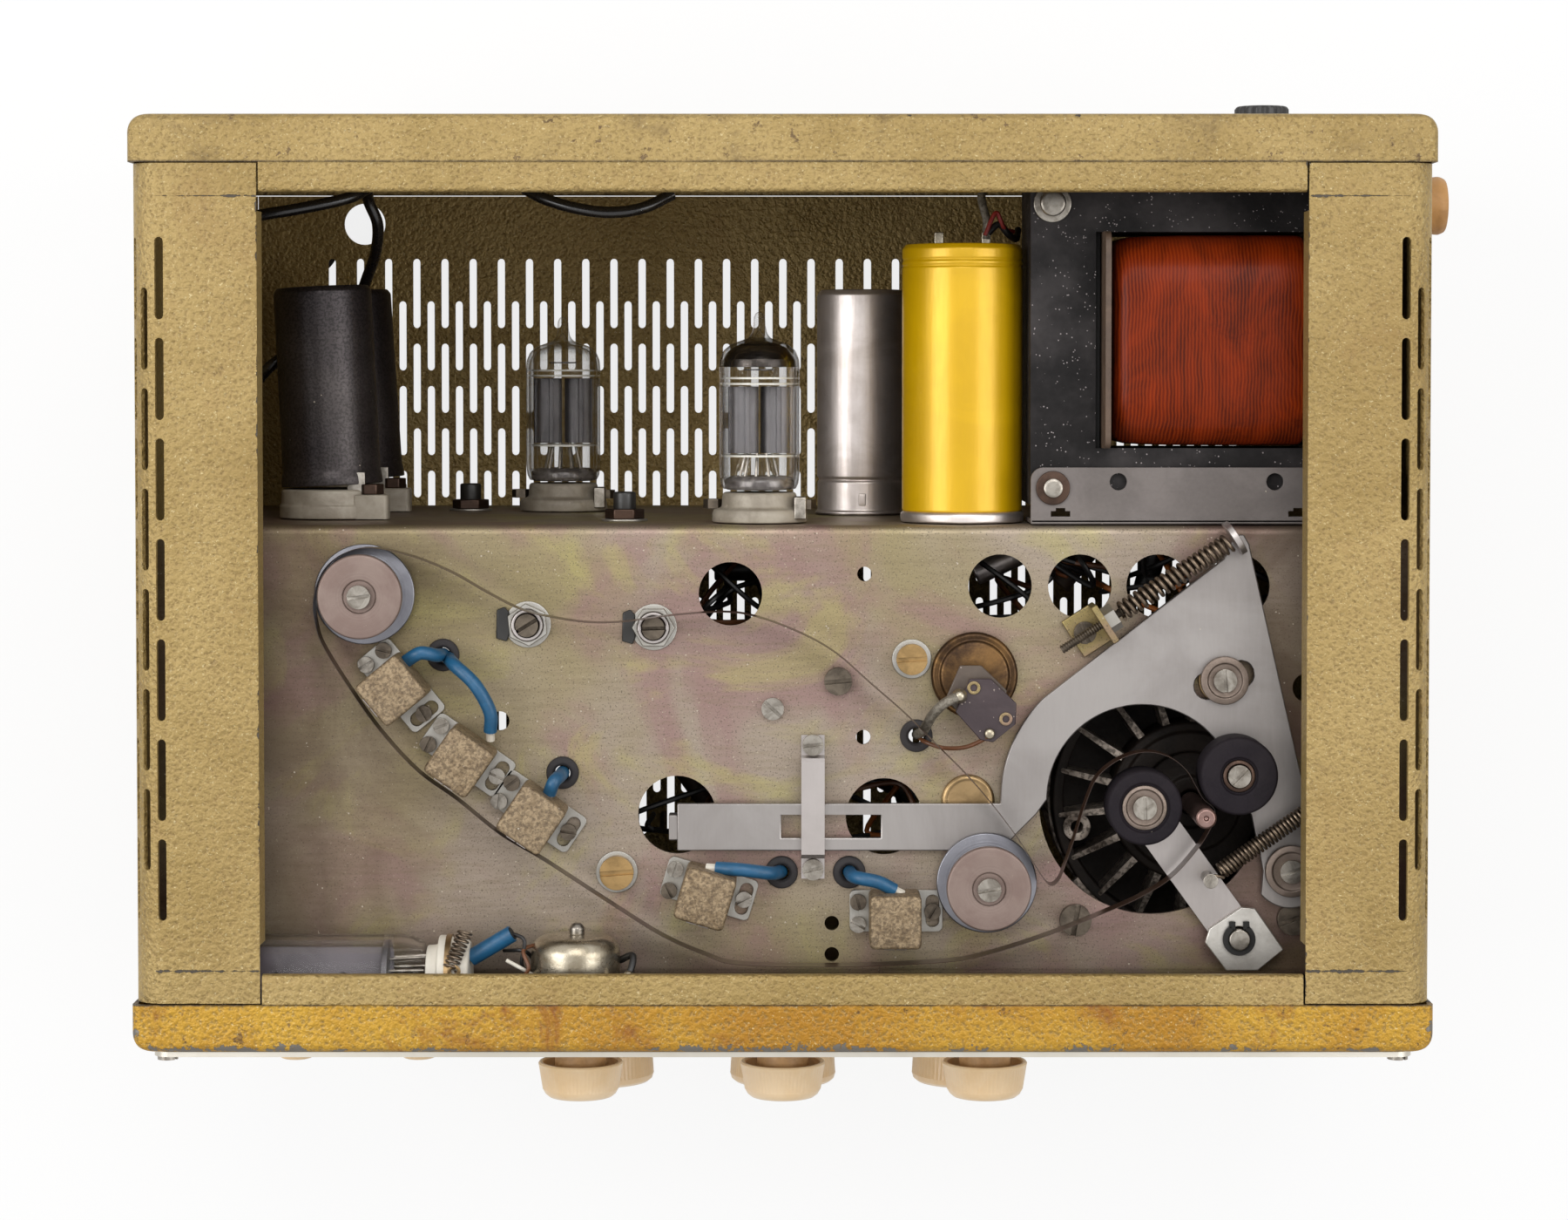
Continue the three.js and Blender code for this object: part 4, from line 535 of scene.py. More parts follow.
def shared_group(name: str, inputs: dict[str, str], outputs: dict[str, str], fill: Callable) -> bpy.types.NodeTree:
    """A shader node group made once and found again by its name.

    Args:
        name: of the group.
        inputs: socket names and their kinds, "Float", "Color" or "Vector".
        outputs: the same for what it puts out.
        fill: function of a Tree and the group's input node, which returns the output sockets in order.

    Returns:
        The group.
    """
    if name in bpy.data.node_groups:
        return bpy.data.node_groups[name]
    group = bpy.data.node_groups.new(name, "ShaderNodeTree")
    for direction, sockets in (("INPUT", inputs), ("OUTPUT", outputs)):
        for label, kind in sockets.items():
            group.interface.new_socket(name=label, in_out=direction, socket_type="NodeSocket" + kind)
    tree = Tree(group)
    entry, leave = group.nodes.new("NodeGroupInput"), group.nodes.new("NodeGroupOutput")
    for socket, target in zip(fill(tree, entry.outputs), leave.inputs):
        group.links.new(socket, target)
    return group


def dusting() -> bpy.types.NodeTree:
    """Group: pale specks and a thin film of dust over a colour, thicker in patches."""

    def fill(t: Tree, i: object) -> list[Socket]:
        """Specks are the middles of small cells, kept where a wide noise is high."""
        cells = t.add("TexVoronoi", {"Vector": i["Vector"], "Scale": i["Grain"]})
        speck = t.math("LESS_THAN", cells.outputs["Distance"], 0.2)
        chosen = t.math("GREATER_THAN", t.noise(t.math("MULTIPLY", i["Grain"], 0.43), i["Vector"], 1),
                        t.math("SUBTRACT", 0.78, t.math("MULTIPLY", i["Amount"], 0.3)))
        patch = t.step(t.noise(45.0, i["Vector"], 5, 0.6), 0.35, 0.75)
        film = t.math("MULTIPLY", t.math("MULTIPLY", patch, i["Amount"]), 0.18)
        mask = t.add("Clamp", {0: t.math("ADD", t.math("MULTIPLY", speck, chosen), film)}).outputs[0]
        mask = t.math("MULTIPLY", mask, t.math("MINIMUM", t.math("MULTIPLY", i["Amount"], 4.0), 1.0))
        return [t.mix(mask, i["Color"], i["Dust"]), mask]

    return shared_group("dusting",
                        {"Color": "Color", "Dust": "Color", "Amount": "Float", "Grain": "Float",
                         "Vector": "Vector"},
                        {"Color": "Color", "Mask": "Float"}, fill)


def hammering() -> bpy.types.NodeTree:
    """Group: the pebbled skin of hammer enamel, as soft cells with raised rims."""

    def fill(t: Tree, i: object) -> list[Socket]:
        """Distances to cell middles, read at places pushed about by a noise, at two sizes."""
        push = t.add("TexNoise", {"Vector": i["Vector"], "Scale": t.math("MULTIPLY", i["Scale"], 0.8),
                                  "Detail": 2.0}).outputs["Color"]
        place = t.mix(t.math("DIVIDE", 0.9, i["Scale"]), i["Vector"], push, "ADD")
        cells = t.add("TexVoronoi", {"Vector": place, "Scale": i["Scale"], "Smoothness": 0.6},
                      feature="SMOOTH_F1").outputs["Distance"]
        small = t.add("TexVoronoi", {"Vector": place, "Scale": t.math("MULTIPLY", i["Scale"], 2.1),
                                     "Smoothness": 0.5}, feature="SMOOTH_F1").outputs["Distance"]
        height = t.math("ADD", t.math("MULTIPLY", cells, 0.75), t.math("MULTIPLY", small, 0.35))
        return [height, t.step(height, 0.25, 0.7)]

    return shared_group("hammering", {"Vector": "Vector", "Scale": "Float"}, {"Height": "Float", "Tone": "Float"},
                        fill)


def edge_wear() -> bpy.types.NodeTree:
    """Group: how worn a point is, from its distance to an edge in metres, broken up by a noise."""

    def fill(t: Tree, i: object) -> list[Socket]:
        """The noise moves the limit of the worn band in and out."""
        ragged = t.noise(330.0, i["Vector"], 6, 0.68)
        broad = t.step(t.noise(38.0, i["Vector"], 3), 0.3, 0.68, 0.15, 1.5)
        reach = t.math("MULTIPLY", t.math("MULTIPLY", t.step(ragged, 0.34, 0.72), broad), i["Width"])
        return [t.step(t.math("SUBTRACT", reach, i["Distance"]), 0.0, 0.00012)]

    return shared_group("edge_wear", {"Distance": "Float", "Width": "Float", "Vector": "Vector"}, {"Mask": "Float"},
                        fill)


def turning_marks() -> bpy.types.NodeTree:
    """Group: fine rings round a centre, as a lathe leaves them."""

    def fill(t: Tree, i: object) -> list[Socket]:
        """A noise read at the distance from the centre, so it changes only outwards."""
        apart = t.add("VectorMath", {0: i["Vector"], 1: i["Centre"]}, operation="SUBTRACT").outputs[0]
        flat = t.add("VectorMath", {0: apart, 1: i["Plane"]}, operation="MULTIPLY").outputs[0]
        far = t.add("VectorMath", {0: flat}, operation="LENGTH").outputs["Value"]
        marks = t.add("TexNoise", {"W": far, "Scale": i["Scale"], "Detail": 3.0},
                      noise_dimensions="1D").outputs["Fac"]
        return [marks]

    return shared_group("turning_marks",
                        {"Vector": "Vector", "Centre": "Vector", "Plane": "Vector", "Scale": "Float"},
                        {"Height": "Float"}, fill)


@dataclass(frozen=True)
class Finish:
    """A finish: two colours in patches, fine grain, dust, and marks of how the piece was made.

    Scales are per metre.
    """

    name: str
    slot: str
    base: str
    shade: str
    blotch: float = 60.0
    blend: float = 0.5
    roughness: float = 0.45
    spread: float = 0.12
    metallic: float = 0.0
    grain: float = 1400.0
    bump: float = 0.00003
    dust: float = 0.0
    dust_tint: str = "#b9ad9c"
    dust_grain: float = 900.0
    coat: float = 0.0
    centre: Optional[tuple[float, float, float]] = None
    plane: tuple[float, float, float] = (1.0, 1.0, 0.0)
    streak: tuple[float, float, float] = (1.0, 1.0, 1.0)
    speckle: float = 0.0
    dark: str = "#1d1815"
    gloss: float = 0.5

    def material(self) -> bpy.types.Material:
        """The Blender material of this finish, made on first use."""
        if self.name in bpy.data.materials:
            return bpy.data.materials[self.name]
        made = bpy.data.materials.new(self.name)
        made.use_nodes = True
        made.diffuse_color = tint(self.base)
        tree = Tree(made.node_tree)
        shader = tree.add("BsdfPrincipled", self.constants())
        out = tree.add("OutputMaterial")
        tree.tree.links.new(shader.outputs[0], out.inputs["Surface"])
        place = tree.add("TexCoord").outputs["Object"]
        colour, rough, metal, height = self.pattern(tree, place)
        if self.dust > 0:
            film = tree.use(dusting(), Color=colour, Dust=tint(self.dust_tint), Amount=self.dust,
                            Grain=self.dust_grain, Vector=place)
            colour, mask = film.outputs
            rough = tree.math("MAXIMUM", rough, tree.math("MULTIPLY", mask, 0.8))
            if metal is not None:
                metal = tree.math("MULTIPLY", metal, tree.math("SUBTRACT", 1.0, mask))
        tree.tree.links.new(colour, shader.inputs["Base Color"])
        tree.tree.links.new(rough, shader.inputs["Roughness"])
        if metal is not None:
            tree.tree.links.new(metal, shader.inputs["Metallic"])
        if height is not None:
            lift = tree.add("Bump", {"Height": height, "Strength": 1.0, "Distance": self.bump})
            tree.tree.links.new(lift.outputs[0], shader.inputs["Normal"])
        cover = self.cover(tree)
        if cover is not None:
            tree.tree.links.new(cover, shader.inputs["Alpha"])
        return made

    def cover(self, t: Tree) -> Optional[Socket]:
        """How much of what lies behind is hidden, or None where all of it is."""
        return None

    def constants(self) -> dict[str, float]:
        """Values that are the same all over the surface."""
        return {"Metallic": self.metallic, "Coat Weight": self.coat, "Coat Roughness": 0.15,
                "Specular IOR Level": self.gloss}

    def pattern(self, t: Tree, place: Socket) -> Surface:
        """Colour, roughness, metalness and height over the surface.

        Args:
            t: tree of the material.
            place: Object coordinates.

        Returns:
            The four sockets, with None for what is the same all over or flat.
        """
        wide = t.step(t.noise(self.blotch, place, 5, 0.6, 0.6), 0.34, 0.68)
        drawn = t.stretched(place, self.streak)
        fine = t.noise(self.grain, drawn, 4, 0.6)
        height = fine
        if self.centre is not None:
            x, y, z = (np.array(self.centre) + CASE_TO_ROW) * MM
            marks = t.use(turning_marks(), Vector=place, Centre=(x, y, z), Plane=self.plane,
                          Scale=2600.0).outputs[0]
            height = t.math("ADD", t.math("MULTIPLY", fine, 0.4), marks)
        tone = t.add("Clamp",
                     {0: t.math("ADD", t.math("MULTIPLY", wide, self.blend),
                                t.math("MULTIPLY", t.math("SUBTRACT", height, 0.5), 0.7 * self.blend))}).outputs[0]
        colour = t.mix(tone, tint(self.base), tint(self.shade))
        if self.speckle:
            colour = t.mix(t.step(fine, 0.46, 0.58, 0.0, self.speckle), colour, tint(self.dark))
        rough = t.math("ADD", self.roughness, t.math("MULTIPLY", t.math("SUBTRACT", fine, 0.5), 2 * self.spread))
        return colour, rough, self.metallic if self.metallic and self.dust else None, height


@dataclass(frozen=True)
class HammerEnamel(Finish):
    """Hammer enamel over steel, worn to the metal along given edges, with stains.

    Each edge is the meeting of two planes: (axis, place, axis, place), in the case's frame in millimetres.
    """

    hollow: str = "#7e673a"
    stain: str = "#7a4a1c"
    stained: float = 0.3
    cell: float = 760.0
    wear: float = 0.0
    edges: tuple[tuple[int, float, int, float], ...] = ()
    bare: str = "#4d4740"
    seam: float = 0.0

    def pattern(self, t: Tree, place: Socket) -> Surface:
        """Pebbles tinted by their height, then stains, then bare metal near the edges."""
        skin = t.use(hammering(), Vector=place, Scale=self.cell).outputs
        broad = t.step(t.noise(24.0, place, 6, 0.62, 0.4), 0.32, 0.7)
        colour = t.mix(broad, tint(self.base), tint(self.shade))
        colour = t.mix(t.step(skin[0], 0.2, 0.6, 0.35, 1.0), tint(self.hollow), colour)
        fleck = t.step(t.noise(1500.0, place, 3, 0.7), 0.6, 0.7, 0.0, 0.45)
        colour = t.mix(fleck, colour, tint("#e6d8ab"))
        dirt = t.math("MULTIPLY", t.step(t.noise(30.0, place, 8, 0.75, 1.2), 0.52, 0.72), self.stained)
        colour = t.mix(dirt, colour, tint(self.stain))
        pits = t.step(t.noise(190.0, place, 6, 0.75), 0.62, 0.66, 0.0, 0.75 * min(1.0, self.stained * 2))
        colour = t.mix(pits, colour, tint("#4a3320"))
        if self.seam:
            apart = t.math("SUBTRACT", t.add("SeparateXYZ", {0: place}).outputs[1],
                           (self.seam + CASE_TO_ROW[1]) * MM)
            grime = t.step(t.noise(160.0, place, 5, 0.7), 0.3, 0.6, 0.35, 1.0)
            line = t.step(t.math("ABSOLUTE", apart), 0.0009, 0.0003)
            colour = t.mix(t.math("MULTIPLY", line, grime), colour, tint("#2c1f12"))
        bare = self.bare_mask(t, place)
        colour = t.mix(bare, colour, tint(self.bare))
        rough = t.math("ADD", t.math("MULTIPLY", skin[1], 0.1), self.roughness)
        rough = t.math("ADD", rough, t.math("MULTIPLY", dirt, 0.25))
        metal = t.math("MULTIPLY", t.math("SUBTRACT", 1.0, t.math("MAXIMUM", dirt, 0.0)), self.metallic)
        metal = t.math("MAXIMUM", metal, t.math("MULTIPLY", bare, 0.8))
        height = t.math("MULTIPLY", skin[0], t.math("SUBTRACT", 1.0, t.math("MULTIPLY", bare, 0.9)))
        return colour, rough, metal, height

    def bare_mask(self, t: Tree, place: Socket) -> Socket:
        """Wear from the distance to the nearest edge.

        Args:
            t: tree of the material.
            place: Object coordinates.

        Returns:
            1 where the metal is bare.
        """
        axes = t.add("SeparateXYZ", {0: place}).outputs
        nearest: object = 1.0
        for a, u, b, v in self.edges:
            gaps = [t.math("SUBTRACT", axes[k], (w + CASE_TO_ROW[k]) * MM) for k, w in ((a, u), (b, v))]
            square = t.math("ADD", t.math("MULTIPLY", gaps[0], gaps[0]), t.math("MULTIPLY", gaps[1], gaps[1]))
            nearest = t.math("MINIMUM", nearest, t.math("SQRT", square))
        return t.use(edge_wear(), Distance=nearest, Width=self.wear * MM, Vector=place).outputs[0]


@dataclass(frozen=True)
class Chromate(Finish):
    """Yellow chromate on zinc: broad clouds of olive, mauve and straw, fine salt-and-pepper grain, dark drawn
    streaks, and painted shade that darkens it towards its left and right ends.
    """

    def pattern(self, t: Tree, place: Socket) -> Surface:
        """Three wide noises mix four tints; a fine noise darkens points."""
        far = t.add("Mapping", {"Vector": place, "Location": (3.1, 1.7, 0.4)}).outputs[0]
        colour = t.mix(t.step(t.noise(9.0, place, 3, 0.5, 0.8), 0.38, 0.62), tint(self.base), tint(self.shade))
        colour = t.mix(t.step(t.noise(14.0, far, 4, 0.55, 1.5), 0.46, 0.66, 0.0, 0.8), colour, tint("#8d6f6c"))
        colour = t.mix(t.step(t.noise(17.0, t.stretched(far, (1.0, 1.6, 1.0)), 4, 0.6, 1.8), 0.5, 0.68, 0.0, 0.6),
                       colour, tint("#a39a62"))
        drawn = t.noise(420.0, t.stretched(place, self.streak), 3, 0.6)
        colour = t.mix(t.step(drawn, 0.35, 0.8, 0.0, 0.35), colour, tint("#6e6248"))
        pepper = t.step(t.noise(2100.0, place, 2, 0.7), 0.56, 0.68, 0.0, 0.75)
        colour = t.mix(pepper, colour, tint("#4a3f2f"))
        salt = t.step(t.noise(1700.0, far, 2, 0.7), 0.66, 0.74, 0.0, 0.55)
        colour = t.mix(salt, colour, tint("#c9c0a8"))
        axes = t.add("SeparateXYZ", {0: place}).outputs
        # Painted shade: broken clouds of dark brown towards the deck's left end and its right end, standing in for
        # the shadow that falls there.
        ends = t.math("MAXIMUM", t.step(axes[0], -0.055, -0.13, 0.0, 0.62), t.step(axes[0], 0.07, 0.13, 0.0, 0.72))
        clouds = t.step(t.noise(26.0, far, 5, 0.65, 1.0), 0.3, 0.62, 0.45, 1.0)
        colour = t.mix(t.math("MULTIPLY", ends, clouds), colour, tint("#4d3829"))
        rough = t.math("ADD", self.roughness, t.math("MULTIPLY", t.math("SUBTRACT", drawn, 0.5), 0.25))
        metal = t.math("SUBTRACT", self.metallic, t.math("MULTIPLY", pepper, 0.5))
        return colour, rough, metal, drawn


@dataclass(frozen=True)
class Glass(Finish):
    """Clear blown glass with a plain transmission and faint smears in its roughness."""

    def constants(self) -> dict[str, float]:
        """Thin clear glass."""
        return {"Metallic": 0.0, "Transmission Weight": 1.0, "IOR": 1.3, "Specular IOR Level": 0.6}

    def cover(self, t: Tree) -> Optional[Socket]:
        """Clear where it is seen straight on, fuller towards its edges."""
        facing = t.add("LayerWeight", {"Blend": 0.3}).outputs["Facing"]
        return t.step(facing, 0.05, 0.9, 0.12, 0.9)

    def pattern(self, t: Tree, place: Socket) -> Surface:
        """Clear, with smears."""
        smear = t.step(t.noise(120.0, place, 4), 0.5, 0.75)
        return t.mix(smear, tint(self.base), tint(self.shade)), t.math("MULTIPLY", smear, self.spread), None, None


@dataclass(frozen=True)
class Winding(Finish):
    """Lacquered layers of wire: fine ribs across the coil under a thick glossy coat, with runs and dust."""

    def pattern(self, t: Tree, place: Socket) -> Surface:
        """Ribs are a sine of the height on the coil, wavered by a noise; darker patches show through, and painted
        shade darkens it far from its middle along Y.
        """
        waver = t.noise(70.0, place, 3)
        axes = t.add("SeparateXYZ", {0: place}).outputs
        ribs = t.math("SINE", t.math("ADD", t.math("MULTIPLY", axes[0], 7000.0), t.math("MULTIPLY", waver, 16.0)))
        runs = t.step(t.noise(34.0, t.stretched(place, (2.2, 0.7, 1.0)), 6, 0.65, 1.0), 0.36, 0.66)
        colour = t.mix(runs, tint(self.base), tint(self.shade))
        colour = t.mix(t.step(ribs, -0.6, 1.0, 0.0, 0.3), colour, tint("#b5480e"))
        colour = t.mix(t.step(t.noise(60.0, place, 7, 0.7), 0.55, 0.75, 0.0, 0.8), colour, tint("#3a0f03"))
        # Painted shade: dark red beyond 33 mm from the coil's middle along Y, standing in for the shading of its
        # rounded edges there.
        middle = t.math("ABSOLUTE", t.math("SUBTRACT", axes[1], (61.5 + CASE_TO_ROW[1]) * MM))
        colour = t.mix(t.step(middle, 0.033, 0.041, 0.0, 0.85), colour, tint("#220501"))
        height = t.math("ADD", t.math("MULTIPLY", ribs, 0.25), t.math("MULTIPLY", waver, 4.0))
        return colour, t.math("ADD", 0.34, t.math("MULTIPLY", waver, 0.2)), None, height


CAP_Z, CAP_X, CAP_Y, BODY_Y = 177.5, 163.7, 117.7, 105.4
GOLD = dict(slot="case_hammertone", base="#a38b57", shade="#937b47", roughness=0.44, metallic=0.35, bump=0.0005)


class Look:
    """The finishes of the unit, by what they cover."""

    CASE = HammerEnamel("hammer_gold", **GOLD, stained=0.16, wear=0.5, seam=0.0,
                        edges=((0, -131.2, 2, RIM), (0, 131.2, 2, RIM), (1, 97.2, 2, RIM), (1, -97.2, 2, RIM)))
    REAR = HammerEnamel("hammer_gold_dirty", **GOLD, stained=0.6, stain="#5f4b30", wear=0.8, seam=BODY_Y,
                        edges=((1, CAP_Y, 2, CAP_Z), (0, CAP_X, 2, CAP_Z), (0, -CAP_X, 2, CAP_Z)))
    FRONT = HammerEnamel("hammer_yellow_rusty", slot="front_cap_hammertone", base="#b78e2a", shade="#a07014",
                         roughness=0.4, metallic=0.35, bump=0.0005, stained=0.85, stain="#7a3a08", wear=2.4,
                         seam=-BODY_Y, bare="#726d66",
                         edges=((1, -CAP_Y, 2, CAP_Z), (0, CAP_X, 2, CAP_Z), (0, -CAP_X, 2, CAP_Z),
                                (0, CAP_X, 1, -CAP_Y), (0, -CAP_X, 1, -CAP_Y)))
    CHROMATE = Chromate("chromate_zinc", "chromate", "#988a7c", "#8f8260", roughness=0.44, metallic=0.6,
                        bump=0.00002, dust=0.3, streak=(0.25, 2.0, 1.0))
    ZINC = Finish("zinc_plate", "zinc", "#aaa7a1", "#8d887e", 90, 0.6, 0.4, metallic=0.85, dust=0.12,
                  streak=(3, 0.3, 1))
    STEEL = Finish("bright_steel_plate", "bright_steel", "#b5aeab", "#968f8b", 35, 0.55, 0.36, 0.08, 0.9, 900,
                   0.00002, 0.1, streak=(1.0, 0.12, 1.0))
    LEVER = Finish("lever_plate_steel", "bright_steel", "#9a9592", "#7e7875", 35, 0.55, 0.42, 0.08, 0.9, 900,
                   0.00002, 0.12, streak=(1.0, 0.12, 1.0))
    DOME = Finish("dark_dome", "chromate", "#6b4f2e", "#2c1c10", 90, 0.9, 0.36, 0.1, 0.85, dust=0.15)
    CAST_DARK = Finish("cast_alloy_dark", "cast_grey", "#1f1813", "#0e0a08", 110, 0.7, 0.6, 0.12, 0.2, 900, 0.0001,
                       0.15, "#5b4a39", gloss=0.2)
    SCREW = Finish("screw_steel", "bright_steel", "#a19b92", "#5f574d", 300, 0.7, 0.34, 0.12, 0.95)
    DARK_SCREW = Finish("dark_screw", "bright_steel", "#6d6357", "#3f3831", 300, 0.7, 0.4, 0.12, 0.9)
    BRONZE_SCREW = Finish("bronze_screw", "bronze", "#a98a5c", "#76603f", 200, 0.7, 0.36, 0.12, 0.9)
    BRONZE = Finish("turned_bronze", "bronze", "#a58a63", "#6f5a3d", 160, 0.6, 0.36, 0.12, 0.9, dust=0.1)
    HEAD = Finish("hammered_head", "head_enamel", "#998568", "#6c5940", 700, 0.9, 0.5, 0.1, 0.4, 1500, 0.00018, 0.3,
                  speckle=0.5, dark="#3a2c20")
    RUBBER = Finish("tyre_rubber", "roller_rubber", "#1f1a1f", "#151116", 120, 0.7, 0.7, 0.1, 0, 1600, 0.00003,
                    0.12, gloss=0.15)
    FOOT = Finish("foot_rubber", "black_rubber", "#262324", "#383334", 90, 0.5, 0.8, 0.08, 0, 1200, 0.00005, 0.1)
    BUMPER = Finish("perished_rubber", "black_rubber", "#b98a52", "#8f6535", 110, 0.7, 0.55, 0.1, 0, 900, 0.00006,
                    0.05)
    CAST = Finish("cast_alloy", "cast_grey", "#a89c90", "#4b4037", 110, 0.9, 0.5, 0.12, 0.75, 900, 0.0001, 0.25,
                  "#5b4a39", speckle=0.6, dark="#120d0a")
    SILVER = Finish("drawn_can", "silver_can", "#dcd3cf", "#b1a59c", 70, 0.6, 0.42, 0.1, 0.9, 500, 0.00003, 0.05,
                    streak=(2.5, 0.15, 2.5))
    TIN = Finish("tinned_steel", "silver_can", "#b3aa98", "#7d715c", 160, 0.6, 0.3, 0.12, 0.95, dust=0.15)
    YELLOW = Finish("yellow_sleeve", "yellow_can", "#dcae00", "#c79a00", 45, 0.5, 0.34, 0.08, 0.25, 700, 0.00003,
                    0.05, coat=0.12, streak=(2.0, 0.2, 2.0))
    SHIELD = Finish("black_shield", "dark_can", "#3b3536", "#2a2425", 80, 0.6, 0.36, 0.14, 0.6, 1500, 0.00006, 0.2,
                    speckle=0.55, dark="#0d0b0b")
    LAMINATION = Finish("black_varnish", "black_iron", "#131010", "#0a0808", 60, 0.6, 0.56, 0.12, 0.1, 700, 0.00006,
                        0.7, "#9c9494", 1100, gloss=0.2)
    COIL = Winding("lacquered_winding", "coil_lacquer", "#7a2404", "#481002", coat=0.03, bump=0.00004, dust=0.1,
                   dust_grain=500, gloss=0.12)
    CHEEK = Finish("coil_cheek", "phenolic", "#5d4a3b", "#39291f", 120, 0.6, 0.55, 0.1, 0, 900, 0.00005, 0.2)
    PHENOLIC = Finish("dark_laminate", "phenolic", "#2c1e22", "#413336", 90, 0.7, 0.5, 0.12, 0, 700, 0.00005, 0.6,
                      "#9a8d86")
    TAPE = Finish("oxide_tape", "tape_brown", "#3d2a20", "#2a1a12", 25, 0.5, 0.3, 0.06, 0, 900, 0.00001, 0.0)
    GLASS = Glass("blown_glass", "glass", "#ffffff", "#eef2f2", spread=0.08)
    CERAMIC = Finish("white_ceramic", "ceramic", "#e3ddd0", "#c9bfae", 80, 0.5, 0.4, 0.08, 0, 900, 0.00003, 0.15,
                     "#9b8d78")
    PANEL = Finish("brushed_panel", "panel_metal", "#cfcabf", "#b5afa2", 30, 0.5, 0.34, 0.08, 0.85, 1400, 0.00002,
                   0.05, streak=(0.03, 1.0, 1.0))
    CREAM = Finish("cream_knob", "cream_plastic", "#f5d9b2", "#eac48d", 60, 0.6, 0.34, 0.06, 0, 900, 0.00002, 0.03,
                   coat=0.25)
    WHITE = Finish("ivory_key", "white_plastic", "#e9e3d3", "#d8cfb8", 50, 0.5, 0.36, 0.06, 0, 900, 0.00002, 0.03,
                   coat=0.2)
    BLACK = Finish("moulded_black", "black_plastic", "#1a1918", "#2c2a28", 120, 0.5, 0.4, 0.1, 0, 900, 0.00004,
                   0.15)
    BLUE = Finish("blue_sleeve", "black_plastic", "#1b587e", "#134260", 200, 0.6, 0.42, 0.08, 0, 1200, 0.00005,
                  0.12)
    WIRE = Finish("black_wire", "black_plastic", "#151414", "#242120", 200, 0.5, 0.4, 0.1, 0, 900, 0.00003, 0.1)
    GREY_LEAD = Finish("braided_lead", "zinc", "#8e877b", "#5b5347", 900, 0.9, 0.5, 0.1, 0.4, 2500, 0.0002)
    BROWN_LEAD = Finish("brown_lead", "black_plastic", "#6b4022", "#4c2c18", 200, 0.5, 0.45, 0.1)
    RED_LEAD = Finish("red_lead", "black_plastic", "#9c2b22", "#6d1a16", 200, 0.5, 0.4, 0.1)
    CABLE = Finish("black_cable", "black_plastic", "#1b1817", "#0f0d0d", 120, 0.5, 0.28, 0.08, 0, 600, 0.00002,
                   0.06, coat=0.3)
    SOCKET = Finish("moulded_socket", "ceramic", "#a39a8b", "#7b7163", 140, 0.7, 0.5, 0.1, 0.1, 900, 0.00005, 0.3)
    GLASS_FOOT = Finish("valve_foot_glass", "dark_can", "#56504e", "#8d8782", 260, 0.8, 0.2, 0.08, 0.3)
    BRACKET = Finish("grey_bracket", "zinc", "#6f6865", "#544e4b", 60, 0.5, 0.5, 0.1, 0.5, 900, 0.00003, 0.2)
    SCREEN = Finish("indicator_screen", "ceramic", "#d4d0dc", "#b4aebd", 140, 0.5, 0.4, 0.08)
    CREAM_SHADED = Finish("cream_hub", "cream_plastic", "#c9a070", "#916a3d", 90, 0.7, 0.45, 0.08, 0, 900, 0.00003,
                          0.1)
    ORANGE_LEAD = Finish("orange_lead", "black_plastic", "#a8602a", "#7d4119", 200, 0.5, 0.45, 0.1)
    CAPSTAN = Finish("capstan_bronze", "bronze", "#927872", "#6e544b", 160, 0.6, 0.34, 0.1, 0.9,
                     centre=(107.3, -59.7, 0))
    BUSH = Finish("grey_bush", "bronze", "#7f7168", "#5c5045", 130, 0.6, 0.46, 0.1, 0.75, dust=0.15)
    BRONZE_DARK = Finish("dark_bronze", "bronze", "#4c3a30", "#2b211d", 200, 0.6, 0.4, 0.1, 0.8)
    SPRING = Finish("spring_steel", "bright_steel", "#7b6c5c", "#4d4238", 200, 0.7, 0.38, 0.1, 0.9)
    ZINC_BRIGHT = Finish("bright_zinc", "zinc", "#cfcbc4", "#a8a39b", 120, 0.6, 0.36, 0.1, 0.8, dust=0.08)
    CHROMATE_SMALL = Chromate("chromate_small", "chromate", "#a08f62", "#8a7a48", roughness=0.38, metallic=0.75,
                              bump=0.00002, dust=0.15)
    PHENOLIC_CLEAR = Finish("clear_laminate", "phenolic", "#5e5248", "#463a33", 90, 0.7, 0.35, 0.1, 0, 700, 0.00003,
                            0.3, "#9a8d86")
    ANODE = Finish("valve_anode", "dark_can", "#636061", "#403d3e", 90, 0.6, 0.5, 0.1, 0.6, 900, 0.00004)
    MICA = Finish("mica_disc", "ceramic", "#d9d6cd", "#b9b5a9", 200, 0.5, 0.35, 0.08)
    GETTER = Finish("getter_mirror", "dark_can", "#2a2624", "#4b4540", 140, 0.7, 0.2, 0.08, 0.9)
    TARGET = Finish("indicator_target", "ceramic", "#5b5358", "#3d353a", 140, 0.6, 0.4, 0.08)
    DARK = Finish("dark_inside", "black_plastic", "#12110f", "#1e1b18", 90, 0.5, 0.7, 0.1)


# Pieces -------------------------------------------------------------------------------------------


